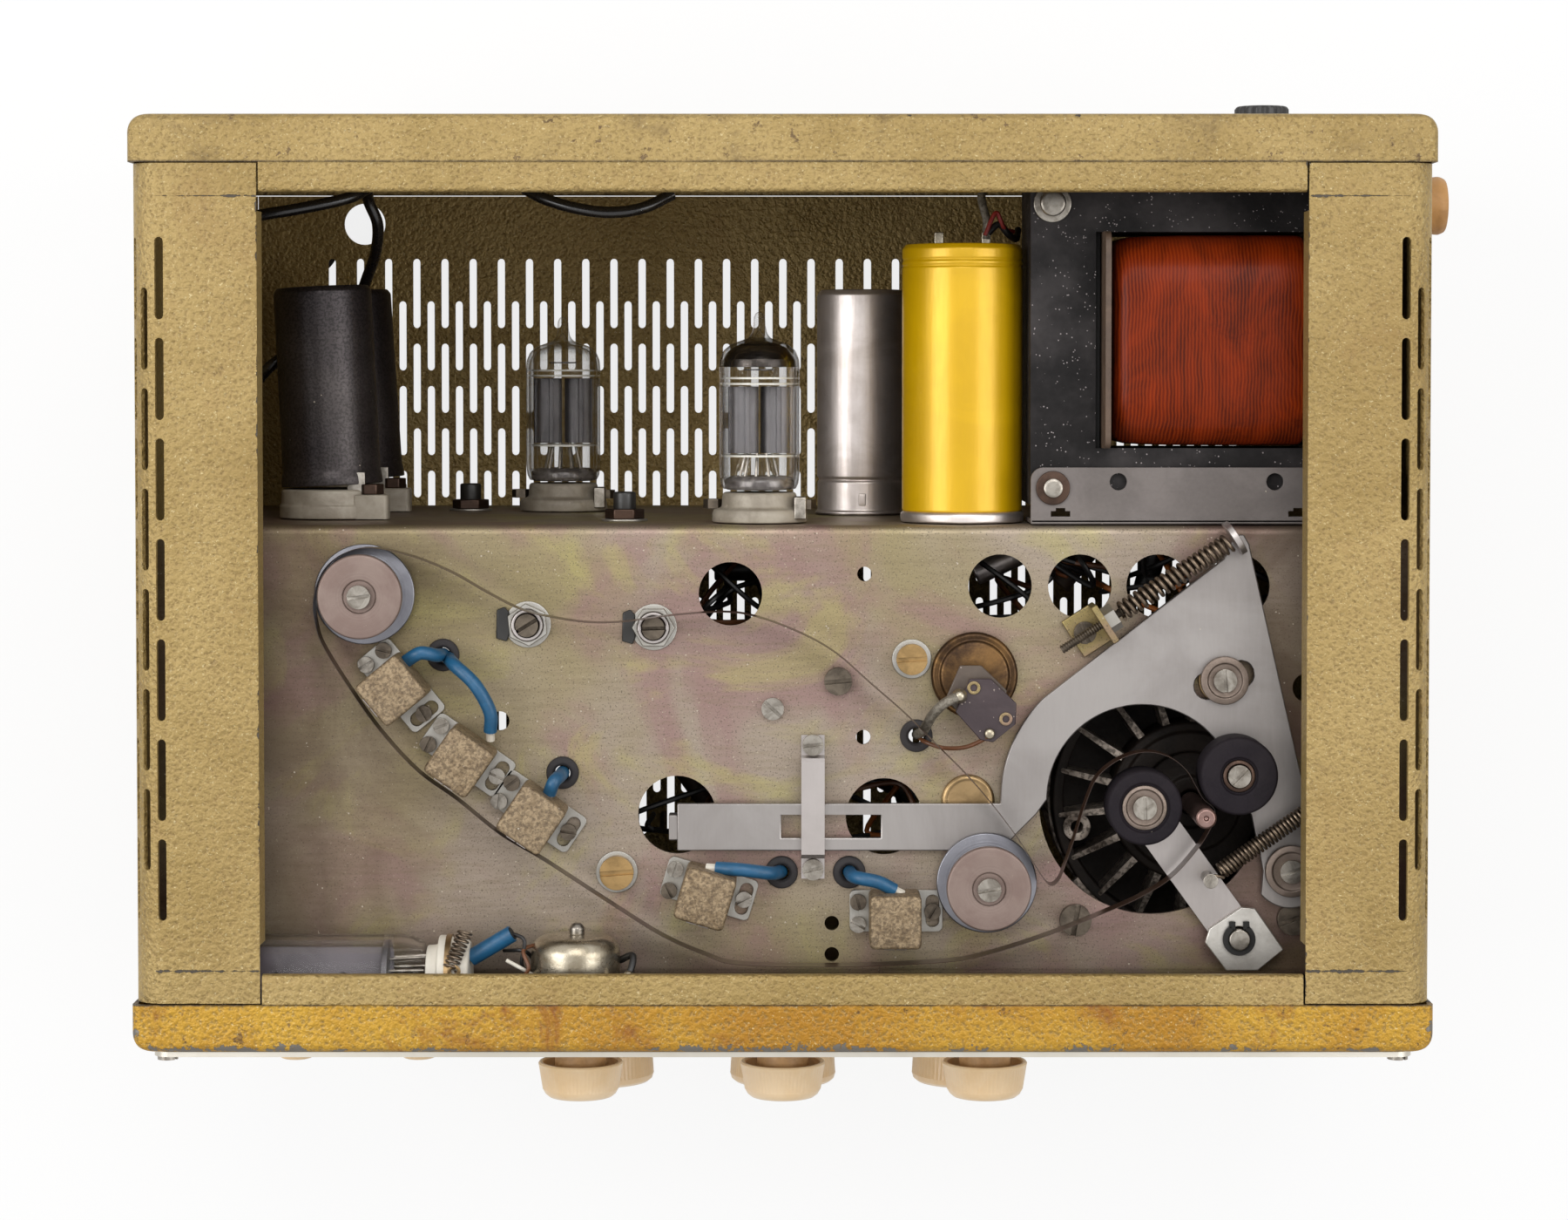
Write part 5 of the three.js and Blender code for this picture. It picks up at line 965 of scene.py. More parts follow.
def build(name: str, skin: Skin, finish: Finish, body: str = "unit", stands_for: Sequence[str] = (),
          bevel: float = 0.0, sharp: float = 34.0, levels: int = 0) -> bpy.types.Object:
    """Makes one piece of the unit from a surface, dresses it and hangs it on its body.

    Args:
        name: of the object and its mesh.
        skin: the surface, in millimetres in the case's frame.
        finish: what it is made of.
        body: CAD body that it moves with.
        stands_for: CAD nodes that it replaces.
        bevel: width in millimetres of a Bevel modifier on its sharp edges, or 0.
        sharp: angle in degrees above which an edge is shaded as sharp.
        levels: of a Subdivision Surface modifier, or 0.

    Returns:
        The object.
    """
    mesh = bpy.data.meshes.new(name)
    corners = np.concatenate([skin.quads.ravel(), skin.tris.ravel()]).astype(np.int32)
    sizes = np.concatenate([np.full(len(skin.quads), 4), np.full(len(skin.tris), 3)]).astype(np.int32)
    mesh.vertices.add(len(skin.points))
    mesh.vertices.foreach_set("co", ((skin.points + CASE_TO_ROW) * MM).astype(np.float32).ravel())
    mesh.loops.add(len(corners))
    mesh.loops.foreach_set("vertex_index", corners)
    mesh.polygons.add(len(sizes))
    mesh.polygons.foreach_set("loop_start", np.concatenate([[0], np.cumsum(sizes)[:-1]]).astype(np.int32))
    mesh.update(calc_edges=True)
    mesh.validate()
    mesh.shade_smooth()
    if not levels:
        mesh.set_sharp_from_angle(angle=np.radians(sharp))
    mesh.materials.append(finish.material())
    made = bpy.data.objects.new(name, mesh)
    bpy.context.scene.collection.objects.link(made)
    if bevel:
        edge = made.modifiers.new("soft edges", "BEVEL")
        edge.width, edge.segments, edge.limit_method, edge.angle_limit = bevel * MM, 2, "ANGLE", np.radians(40)
    if levels:
        smooth = made.modifiers.new("smooth", "SUBSURF")
        smooth.levels = smooth.render_levels = levels
    if stands_for:
        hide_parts(*stands_for)
    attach(made, body)
    LOG.info("%s: %d faces on %s", name, len(mesh.polygons), body)
    return made


def joined(skins: Sequence[Skin]) -> Skin:
    """Several surfaces in one."""
    total = skins[0]
    for skin in skins[1:]:
        total = total + skin
    return total


def sideways(skin: Skin) -> Skin:
    """A surface whose height is laid along X, its other axes becoming Y and Z."""
    return Skin(skin.points[:, [2, 0, 1]], skin.quads, skin.tris).outward()


def raised(skin: Skin) -> Skin:
    """A surface whose height is laid along Y, and whose second axis becomes Z."""
    return Skin(skin.points[:, [0, 2, 1]], skin.quads, skin.tris).outward()


def forward(skin: Skin) -> Skin:
    """A surface whose height is laid towards the front, along -Y."""
    return Skin(skin.points[:, [0, 2, 1]] * (1, -1, 1), skin.quads, skin.tris).outward()


def drum(radius: float, z0: float, z1: float, edge: float = 0.3, sides: int = 40) -> Skin:
    """Disc with rounded rims."""
    return revolve(softened([(0, z0), (radius, z0), (radius, z1), (0, z1)], edge), sides)


def collar(inner: float, outer: float, z0: float, z1: float) -> Skin:
    """Ring with rounded rims."""
    start = (inner, (z0 + z1) / 2)
    return revolve(softened([start, (inner, z0), (outer, z0), (outer, z1), (inner, z1), start], 0.2), 40)


def hexagon(across: float, z0: float, z1: float, bore: float = 0.0, turn: float = 0.0) -> Skin:
    """Nut of a width between two corners, with a bore."""
    holes = [ring(0, 0, bore, 20)] if bore else []
    return prism(ring(0, 0, across, 6, turn), z0, z1, holes)


def slotted_head(radius: float, z0: float, z1: float, slot: float, turn: float) -> Skin:
    """Screw head with a slot: a low disc and two circular segments on it, parted by the slot.

    Args:
        radius: of the head.
        z0: its underside.
        z1: its top.
        slot: width of the slot.
        turn: direction of the slot in degrees.

    Returns:
        The surface about Z.
    """
    half = np.degrees(np.arcsin(slot / 2 / radius))
    floor = z0 + (z1 - z0) * 0.45
    cap = prism(arc(0, 0, radius, half, 180 - half, 18), floor - 0.05, z1)
    return (revolve(softened([(0, z0), (radius, z0), (radius, floor), (0, floor)], 0.12), 40) + cap
            + cap.turned(180)).turned(turn)


def fluted(profile: Sequence[tuple[float, float, float]], ribs: int, sides: int) -> Skin:
    """Body of revolution with ribs: the radius at each height is lowered between the ribs by a raised cosine.

    Args:
        profile: (radius, height, flute depth) down the body.
        ribs: number of ribs.
        sides: points round each ring.

    Returns:
        The surface about Z.
    """
    r, h, depth = np.array(profile, float).T
    angle = np.linspace(0, 2 * np.pi, sides, endpoint=False)
    radius = r[:, None] - depth[:, None] * (0.5 + 0.5 * np.cos(ribs * angle))[None, :]
    x, y = radius * np.cos(angle), radius * np.sin(angle)
    return grid_skin(np.stack([x, y, np.repeat(h[:, None], sides, 1)], axis=2))


@dataclass
class Studio:
    """Camera, light and floor. The camera looks down into the open case."""

    place: tuple[float, float, float] = (-4.92, 59.8, 1082.0)
    tilt: float = 2.0
    lens: float = 83.1
    shift: float = -0.0694
    sky: float = 0.4
    floor_glow: float = 0.84

    def build(self) -> None:
        """Camera first, then the world, the lamps and the floor."""
        self.camera()
        self.world()
        self.lamp("left", (-1.1, 0.15, 1.25), 0.9, 11.5)
        self.lamp("right", (1.1, 0.1, 1.25), 0.9, 8.0)
        self.lamp("top", (0.1, 0.9, 1.6), 1.0, 11.0)
        self.floor()

    def camera(self) -> None:
        """A long lens straight above, tilted a little to the front."""
        scene = bpy.context.scene
        eye = bpy.data.cameras.new("camera")
        eye.lens, eye.sensor_width, eye.shift_y = self.lens, 36.0, self.shift
        eye.clip_start, eye.clip_end = 0.1, 20.0
        view = bpy.data.objects.new("camera", eye)
        view.location = Vector(self.place) * MM
        view.rotation_euler = (-np.radians(self.tilt), 0.0, 0.0)
        scene.collection.objects.link(view)
        scene.camera = view
        scene.view_settings.view_transform = "Standard"

    def world(self) -> None:
        """White for the camera, glossy and transmitted rays, dimmer for the rays that light the unit."""
        sky = bpy.data.worlds.new("studio")
        sky.use_nodes = True
        bpy.context.scene.world = sky
        t = Tree(sky.node_tree)
        seen = t.add("LightPath").outputs
        white = t.math("MAXIMUM", seen["Is Camera Ray"],
                       t.math("MAXIMUM", seen["Is Glossy Ray"], seen["Is Transmission Ray"]))
        dim = t.add("Background", {"Color": (1, 0.99, 0.97, 1), "Strength": self.sky})
        full = t.add("Background", {"Color": (1, 1, 1, 1), "Strength": 1.0})
        both = t.add("MixShader", {0: white, 1: dim.outputs[0], 2: full.outputs[0]})
        t.add("OutputWorld", {"Surface": both.outputs[0]})

    def lamp(self, name: str, place: tuple[float, float, float], size: float, power: float) -> None:
        """A square area lamp that faces the middle of the deck.

        Args:
            name: what it is called after.
            place: in metres.
            size: of a side in metres.
            power: in watts.
        """
        light = bpy.data.lights.new(f"lamp_{name}", "AREA")
        light.energy, light.size = power, size
        made = bpy.data.objects.new(f"lamp_{name}", light)
        made.location = place
        made.rotation_euler = (Vector((0, 0, 0.1)) - Vector(place)).to_track_quat("-Z", "Y").to_euler()
        bpy.context.scene.collection.objects.link(made)

    def floor(self) -> None:
        """White table top, mostly glowing for the camera, so that the unit's shadow stays faint."""
        reach = 1.6
        mesh = bpy.data.meshes.new("floor")
        mesh.from_pydata([(-reach, -reach, 0), (reach, -reach, 0), (reach, reach, 0), (-reach, reach, 0)], [],
                         [(0, 1, 2, 3)])
        made = bpy.data.materials.new("floor_white")
        made.use_nodes = True
        t = Tree(made.node_tree)
        seen = t.add("LightPath").outputs["Is Camera Ray"]
        plain = t.add("BsdfDiffuse", {"Color": (0.92, 0.92, 0.92, 1)})
        glow = t.add("Emission", {"Color": (1, 1, 1, 1), "Strength": 1.0})
        both = t.add("MixShader", {0: t.math("MULTIPLY", seen, self.floor_glow), 1: plain.outputs[0],
                                   2: glow.outputs[0]})
        t.add("OutputMaterial", {"Surface": both.outputs[0]})
        mesh.materials.append(made)
        table = bpy.data.objects.new("floor", mesh)
        bpy.context.scene.collection.objects.link(table)


@dataclass
class CaseShell:
    """Slotted sheet case: bottom wall, two bent side walls, two caps, their sills, feet and fittings."""

    opening: float = 262.4
    width: float = 326.4
    length: float = 210.8
    foot: float = 5.0
    thickness: float = 1.1
    corner: float = 7.4
    lip: float = 8.0
    slot_length: float = 20.6
    slot_width: float = 2.2
    slot_pitch: float = 8.36
    row_pitch: float = 25.15
    field_shift: float = 1.25
    rows: int = 7
    columns: int = 16
    cap_reach: float = 12.3
    cap_step: float = 0.5
    cap_sheet: float = 1.2
    cap_corner: float = 4.6
    cap_edge: float = 1.8
    cap_border: float = 7.0
    gap: float = 0.3
    foot_inset: float = 15.0
    lead_hole: tuple[float, float, float] = (-124.0, 8.2, 6.1)
    bumper_inset: float = 8.4
    bumper_drop: float = 50.0
    fuse_inset: float = 32.0
    fuse_drop: float = 90.0

    def build(self) -> None:
        """Every piece of the case."""
        build("case_floor", self.floor_plate(), Look.CASE, stands_for=["case_bottom"])
        side = self.side()
        build("case_wall_right", side, Look.CASE, stands_for=["case_right_side"])
        build("case_wall_left", side.mirrored(), Look.CASE, stands_for=["case_left_side"])
        build("cap_rear", self.cap(False), Look.REAR, stands_for=["rear_cap"])
        build("cap_front", self.cap(True).turned(180), Look.FRONT, stands_for=["front_cap"])
        build("sill_rear", self.sill(), Look.CASE)
        build("sill_front", self.sill().turned(180), Look.CASE)
        self.feet()
        self.bumper()
        self.fuse_cap()

    def slots(self, columns: Sequence[tuple[float, int]]) -> list:
        """Outlines of slots in columns: each is its place across, and 0 for full rows or 1 for those between.

        Args:
            columns: across the sheet.

        Returns:
            The outlines, column by column.
        """
        top = self.field_shift + ((self.rows - 1) * self.row_pitch + self.slot_length) / 2
        out = []
        for x, between in columns:
            for row in range(self.rows - between):
                y = top - self.slot_length / 2 - row * self.row_pitch - between * self.row_pitch / 2
                out.append(stadium(x, y, self.slot_length, self.slot_width))
        return out

    def floor_plate(self) -> Skin:
        """Level plate with the whole field of slots and the round hole for the lead."""
        half, end = self.width / 2 - self.corner - self.gap, self.length / 2
        full = [(k * self.slot_pitch, 0) for k in range(-self.columns, self.columns + 1)]
        between = [((k + 0.5) * self.slot_pitch, 1) for k in range(-self.columns, self.columns)]
        outline = [(-half, -end), (half, -end), (half, end), (-half, end)]
        across, inset, radius = self.lead_hole
        hole = ring(across, end - inset, radius, 36)
        return sheet(outline, self.slots(full + between) + [hole], self.thickness,
                     flat_at(self.foot + self.thickness))

    def side(self) -> Skin:
        """Right wall: lip, top flange, corner, wall and lower corner in one sheet, with three columns of slots."""
        outer = self.width / 2
        flat, inner, end = outer - self.corner, self.opening / 2, self.length / 2
        profile = [(inner, RIM - self.lip), (inner, RIM - 0.6), (inner + 0.2, RIM - 0.2), (inner + 0.6, RIM)]
        profile += arc(flat, RIM - self.corner, self.corner, 90, 0, 12)
        profile += arc(flat, self.foot + self.corner, self.corner, 0, -90, 8)
        place, at, length = bent_line(profile, "y")
        start = at[4]
        slots = [[(u, v) for u, v in slot]
                 for slot in self.slots([(start + k * self.slot_pitch / 2, k % 2) for k in range(3)])]
        lip_end = at[2]
        back, front = end - 11.9, -end + 14.7
        outline = [(0, front), (lip_end, front), (lip_end, -end), (length, -end), (length, end), (lip_end, end),
                   (lip_end, back), (0, back)]
        creases = [((u, -end), (u, end)) for u in at[3:-1]]
        return sheet(outline, slots, self.thickness, place, creases)

    def cap(self, window: bool) -> Skin:
        """Tray over an end of the body, made of rounded loops from its mouth to its face and back along the inside.

        At each depth the loop is narrower by a quarter circle of the corner's radius across, and by one of the
        edge's radius up and down.
        """
        half, high = self.width / 2 + self.cap_step, (RIM - self.foot) / 2 + self.cap_step
        middle = (RIM + self.foot) / 2
        mouth, face = self.length / 2 + self.gap, self.length / 2 + self.cap_reach
        outer = self.shells(half, high, mouth, face, self.cap_corner, self.cap_edge)
        t = self.cap_sheet
        inner = self.shells(half - t, high - t, mouth, face - t, self.cap_corner - t, 0.6)[::-1]
        if window:
            reach = (self.width / 2 - self.cap_border, (RIM - self.foot) / 2 - self.cap_border)
            ends = [(face, rounded_box(*reach, 4.0)), (face - t, rounded_box(*reach, 4.0))]
            loops = [ends[0], *outer[::-1], *inner[::-1], ends[1], ends[0]]
        else:
            dot = np.zeros_like(outer[0][1])
            loops = [(face, dot), *outer[::-1], *inner[::-1], (face - t, dot)]
        rows = [np.column_stack([loop[:, 0], np.full(len(loop), y), loop[:, 1] + middle]) for y, loop in loops]
        return grid_skin(np.stack(rows))

    def shells(self, half: float, high: float, mouth: float, face: float, corner: float, edge: float) -> list:
        """Loops of a tray's wall, from its mouth to its face.

        Args:
            half: half its width.
            high: half its height.
            mouth: place of its open end.
            face: place of its closed end.
            corner: radius where the long walls meet the face.
            edge: radius where the short walls meet it.

        Returns:
            Each loop with its place.
        """
        depth = np.concatenate([[mouth], face - corner + corner * np.sin(np.radians(np.arange(0, 60, 12))),
                                face - edge + edge * np.sin(np.radians(np.arange(0, 91, 15)))])
        depth = np.unique(np.round(depth, 4))
        into = np.clip(depth - face + corner, 0, corner)
        over = np.clip(depth - face + edge, 0, edge)
        side = corner - np.sqrt(corner**2 - into**2)
        up = edge - np.sqrt(edge**2 - over**2)
        return [(y, rounded_box(half - a, high - b, 2.0)) for y, a, b in zip(depth, side, up)]

    def sill(self) -> Skin:
        """Rolled strip that closes the back end of the opening between the columns."""
        inner, roll = self.length / 2 - 7.2, 1.2
        profile = [(inner, RIM - 2.6), *arc(inner + roll, RIM - roll, roll, 180, 90, 8),
                   (self.length / 2 + 2.3, RIM)]
        place, at, length = bent_line(profile, "x")
        half = self.opening / 2 - self.gap
        creases = [((u, -half), (u, half)) for u in at[1:-1]]
        return sheet([(0, -half), (length, -half), (length, half), (0, half)], [], self.thickness, place, creases)

    def feet(self) -> None:
        """Four rubber feet with a screw hollow below."""
        x = self.width / 2 - self.corner - self.gap - self.foot_inset
        y = self.length / 2 - self.foot_inset
        profile = softened([(0, 2.6), (3.1, 2.6), (3.1, 0), (7.6, 0), (8.4, 4.7), (0, 4.7)], 0.5)
        for i, (a, b) in enumerate([(-x, -y), (x, -y), (-x, y), (x, y)], 1):
            build(f"foot_rubber_{i}", revolve(profile).moved(a, b), Look.FOOT, stands_for=[f"foot_{i}"])

    def bumper(self) -> None:
        """Round brown rubber stop on the right wall, with a shallow waist."""
        profile = softened([(0, 0.3), (7.4, 0.3), (7.7, 1.6), (7.2, 5.2), (7.7, 9.2), (6.9, 11), (3.4, 11),
                            (3.0, 9.4), (0, 9.4)], 0.7)
        place = (self.width / 2, self.length / 2 - self.bumper_inset, RIM - self.bumper_drop)
        skin = revolve_x(profile, 56).moved(*place)
        build("round_stop", skin, Look.BUMPER, stands_for=["side_bumper"])

    def fuse_cap(self) -> None:
        """Ribbed screw cap on the rear face."""
        profile = [(0, 0.3, 0), (8.0, 0.3, 0), (8.2, 0.5, 0), (8.2, 1.8, 0), (7.9, 2.1, 0), (7.4, 2.2, 0.3),
                   (7.4, 7.4, 0.7), (6.9, 8.1, 0.4), (6.6, 8.2, 0), (0, 8.2, 0)]
        place = (self.width / 2 - self.fuse_inset, self.length / 2 + self.cap_reach, RIM - self.fuse_drop)
        skin = fluted(profile, 18, 108).turned(-90, "x").moved(*place)
        build("screw_cap", skin, Look.BLACK, body="fuse_cap", stands_for=["fuse_cap"], sharp=50)


@dataclass(frozen=True)
class Screw:
    """A slotted screw on the deck. Its turn is that of the slot, and a washer of radius 0 is none."""

    x: float
    y: float
    radius: float
    turn: float
    finish: Finish
    washer: float = 0.0
    height: float = 2.6

    def build(self, name: str, foot: float, body: str = "unit") -> None:
        """The screw and its washer on a surface at height foot.

        Args:
            name: of the head.
            foot: what it stands on.
            body: that it moves with.
        """
        low = foot
        if self.washer:
            build(f"{name}_washer", collar(self.radius * 0.5, self.washer, foot, foot + 0.8).moved(self.x, self.y),
                  Look.ZINC, body)
            low = foot + 0.8
        head = slotted_head(self.radius, low, low + self.height, self.radius * 0.3, self.turn)
        build(name, head.moved(self.x, self.y), self.finish, body, bevel=0.15)


@dataclass
class Chassis:
    """Folded plate with the deck, the shelf wall and the front wall, and the small things that sit in it."""

    half: float = 161.8
    front: float = -103.3
    bend: float = 2.4
    thickness: float = 1.2
    foot: float = 6.4
    notch: float = 155.5
    notch_height: float = 12.4
    grommets: Table = ((-87.7, -19.7), (-56.9, -50.2), (-0.3, -76.0), (17.2, -76.0), (34.5, -40.6))
    holes: Table = ((-13.5, -3.9, 8.2), (56.1, -1.9, 8.2), (76.7, -1.9, 8.2), (96.9, -1.9, 8.2), (117.5, -1.9, 8.2),
                    (-27.3, -61.1, 10.1), (26.2, -61.5, 9.9), (21.1, 1.2, 1.9), (20.8, -41.0, 1.9),
                    (12.7, -89.3, 1.9),
                    (12.7, -97.4, 1.9), (-73.1, -36.8, 2.5), (135.5, -28.2, 3.8), (95.3, -57.9, 29.0))
    trimmers: Table = ((-65.8, -11.8), (-33.3, -12.5))
    screws: Table = (
        Screw(33.3, -20.7, 4.0, 3, Look.BRONZE_SCREW, 5.1), Screw(-42.9, -75.9, 4.4, 4, Look.BRONZE_SCREW, 5.4),
        Screw(14.3, -26.4, 3.6, 5, Look.DARK_SCREW), Screw(-2.6, -33.6, 2.9, -42, Look.SCREW, height=1.8),
        Screw(75.7, -88.3, 4.1, 80, Look.DARK_SCREW), Screw(131.9, -88.0, 4.1, 20, Look.DARK_SCREW),
    )

    def build(self) -> None:
        """The plate and everything that is fixed in it."""
        build("deck_plate", self.plate(), Look.CHROMATE, stands_for=["chassis"])
        for i, (x, y) in enumerate(self.grommets, 1):
            lip = softened([(2.0, DECK + 0.8), (2.0, DECK - 2.0), (2.9, DECK - 2.4), (2.9, DECK + 0.05),
                            (4.3, DECK + 0.05), (4.1, DECK + 1.3), (2.6, DECK + 1.6), (2.0, DECK + 0.8)], 0.4)
            build(f"grommet_{i}", revolve(lip, 36).moved(x, y), Look.FOOT)
        for i, screw in enumerate(self.screws, 1):
            screw.build(f"deck_screw_{i}", DECK)
        for i, (x, y) in enumerate(self.trimmers, 1):
            self.trimmer(i, x, y)
        disc = softened([(0, DECK), (6.9, DECK), (6.9, DECK + 0.7), (6.0, DECK + 1.3), (5.2, DECK + 0.9),
                         (0, DECK + 0.8)], 0.3)
        build("brass_disc", revolve(disc, 48).moved(47.9, -57.5), Look.BRONZE)
        self.wiring()

    def plate(self) -> Skin:
        """Bent sheet with round holes, which are moved to the deck's stretch of the flat pattern."""
        back = SHELF
        profile = [(self.front, self.foot), *arc(self.front + self.bend, DECK - self.bend, self.bend, 180, 90, 8),
                   *arc(back - self.bend, DECK - self.bend, self.bend, 90, 0, 8), (back, self.foot)]
        place, at, length = bent_line(profile, "x")
        start = at[9] - (self.front + self.bend)
        sides = lambda r: 72 if r > 20 else 40 if r > 5 else 20
        holes = [[(y + start, x) for x, y in ring(cx, cy, r, sides(r))] for cx, cy, r in self.holes]
        holes += [[(y + start, x) for x, y in ring(cx, cy, 3.0, 24)] for cx, cy in self.grommets]
        rise = self.notch_height - self.foot
        a, b = self.notch, self.half
        outline = [(0, -a), (rise, -a), (rise, -b), (length - rise, -b), (length - rise, -a), (length, -a),
                   (length, a), (length - rise, a), (length - rise, b), (rise, b), (rise, a), (0, a)]
        creases = [((u, -b), (u, b)) for u in at[1:-1]]
        return sheet(outline, holes, self.thickness, place, creases)

    def trimmer(self, index: int, x: float, y: float) -> None:
        """Hexagon nut on a washer with a dark lug, and the slotted shaft that turns in it.

        Args:
            index: its number.
            x: of its axis.
            y: of its axis.
        """
        build(f"trimmer_washer_{index}", collar(3.6, 6.0, DECK, DECK + 0.6).moved(x, y), Look.ZINC)
        nut = hexagon(5.6, DECK + 0.6, DECK + 2.8, 4.1, 10 + 25 * index)
        build(f"trimmer_nut_{index}", nut.moved(x, y), Look.ZINC, bevel=0.3)
        build(f"trimmer_bush_{index}", collar(3.2, 4.0, DECK + 0.2, DECK + 3.8).moved(x, y), Look.STEEL)
        lug = prism([(-8.2, -3.6), (-5.4, -4.4), (-4.6, -2.4), (-4.8, 3.2), (-6.0, 4.6), (-8.0, 3.8)], DECK + 0.1,
                    DECK + 1.2)
        build(f"trimmer_lug_{index}", lug.moved(x, y), Look.BLACK, bevel=0.3)
        shaft = slotted_head(2.95, ON_DECK, DECK + 5.4, 0.9, 62 - 30 * index)
        build(f"trimmer_shaft_{index}", shaft.moved(x, y), Look.DARK_SCREW, body=f"trimmer_{index}",
              stands_for=[f"trimmer_{index}"], bevel=0.2)

    def wiring(self) -> None:
        """Loose leads and small capacitors under the deck, seen through the holes: each lead is a slack arch."""
        chance = np.random.default_rng(7)
        finishes = (Look.WIRE, Look.WIRE, Look.BROWN_LEAD, Look.WIRE, Look.ORANGE_LEAD)
        for i, (cx, cy, _) in enumerate(self.holes[:7]):
            for k in range(4):
                ends = chance.uniform(-1, 1, (3, 2)) * (16, 10) + (cx, cy)
                depth = 112 + 22 * chance.random(3)
                route = [(*ends[0], depth[0] - 30), (*ends[0], depth[0]), (*ends[1], depth[1]),
                         (*ends[2], depth[2]), (*ends[2], depth[2] - 35)]
                route = np.array(route)
                route[:, 1] = np.clip(route[:, 1], -97, 10)
                build(f"lead_{i + 1}_{k + 1}", tube(route, 0.75, 8, 8), finishes[(i + k) % len(finishes)])
            can = revolve_x(softened([(0, -8), (3.2, -8), (3.2, 8), (0, 8)], 0.8), 24).turned(25 * i)
            build(f"small_part_{i + 1}", can.moved(cx + 3, np.clip(cy + 4, -90, 2), 104),
                  (Look.BLACK, Look.SILVER, Look.CHEEK)[i % 3])


@dataclass
class Heads:
    """Five magnetic heads on adjusting plates, each with two fixed screws, one in a slot, and a sleeved lead."""

    places: Table = ((-99.6, -27.7, -50.4), (-82.4, -46.0, -35.0), (-64.1, -60.6, -34.0), (-19.8, -80.9, -16.7),
                     (28.8, -86.9, 0.0))
    half: tuple[float, float] = (6.6, 6.85)
    top: float = 165.0
    plate_top: float = 150.5
    leads: Table = (
        ((-96.3, -20.6, 158.0), (-92.5, -18.4, 160.0), (-88.6, -19.2, 157.0), (-87.7, -19.7, 148.0)),
        ((-74.9, -38.6, 157.5), (-74.8, -33.5, 159.5), (-78.5, -26.5, 160.5), (-84.0, -21.6, 158.0),
         (-86.6, -20.4, 148.0)),
        ((-59.8, -54.6, 157.5), (-58.6, -51.6, 158.5), (-57.2, -50.4, 155.0), (-56.9, -50.2, 148.0)),
        ((-17.0, -73.8, 158.0), (-10.6, -74.0, 159.5), (-3.0, -75.2, 157.0), (-0.4, -76.0, 148.0)),
        ((28.6, -79.4, 158.0), (24.4, -77.2, 159.0), (18.6, -76.2, 157.0), (17.2, -76.0, 148.0)),
    )

    def build(self) -> None:
        """Each head with its plate, screws and lead."""
        for i, (x, y, turn) in enumerate(self.places, 1):
            name = f"head_{i}"
            build(f"{name}_block", self.block().turned(turn).moved(x, y), Look.HEAD, stands_for=[name], sharp=50)
            build(f"{name}_gap_face", self.face().turned(turn).moved(x, y), Look.STEEL)
            build(f"{name}_plate", self.plate().turned(turn).moved(x, y), Look.ZINC, bevel=0.15)
            build(f"{name}_stem", soft_block(5.2, 5.2, self.plate_top, 152.2, 0.8, 0.3).turned(turn).moved(x, y),
                  Look.DARK)
            for k, (a, b, tilt) in enumerate([(-9.3, 3.4, 20), (-9.3, -2.4, 65), (9.9, 1.0, -25)], 1):
                spot = Skin(np.array([[a, b, 0.0]])).turned(turn).points[0]
                finish = Look.SCREW if (i + k) % 2 else Look.DARK_SCREW
                Screw(x + spot[0], y + spot[1], 2.1, turn + tilt + 17 * i, finish,
                      height=1.7).build(f"{name}_screw_{k}", self.plate_top)
            self.lead(i)

    def block(self) -> Skin:
        """Pressed can with soft edges."""
        return soft_block(*self.half, self.plate_top + 1.2, self.top, 1.3, 0.9)

    def face(self) -> Skin:
        """Polished pole face with its gap, in the middle of the side that the tape passes."""
        left = soft_block(1.45, 0.5, 153.8, 162.4, 0.3, 0.2)
        return left.moved(-1.55, -self.half[1]) + left.moved(1.55, -self.half[1])

    def plate(self) -> Skin:
        """Zinc plate with rounded corners and a slotted hole on the right."""
        outline = [(x + 0.5, y + 1.0) for x, y in rounded_box(12.0, 5.4, 1.4)]
        slot = stadium(9.9, 1.0, 8.4, 3.4, 90, 8)
        return prism(outline, ON_DECK, self.plate_top, [slot])

    def lead(self, index: int) -> None:
        """Blue sleeve from the can's back into its grommet, with a pale tip.

        Args:
            index: of the head.
        """
        route = np.array(self.leads[index - 1])
        build(f"head_{index}_sleeve", tube(route, 1.75, 14, 10), Look.BLUE)
        tip = route[0] - (route[1] - route[0]) / np.linalg.norm(route[1] - route[0]) * 2.6
        build(f"head_{index}_lead_tip", tube([tip, route[0]], 1.15, 10, 2), Look.CERAMIC)


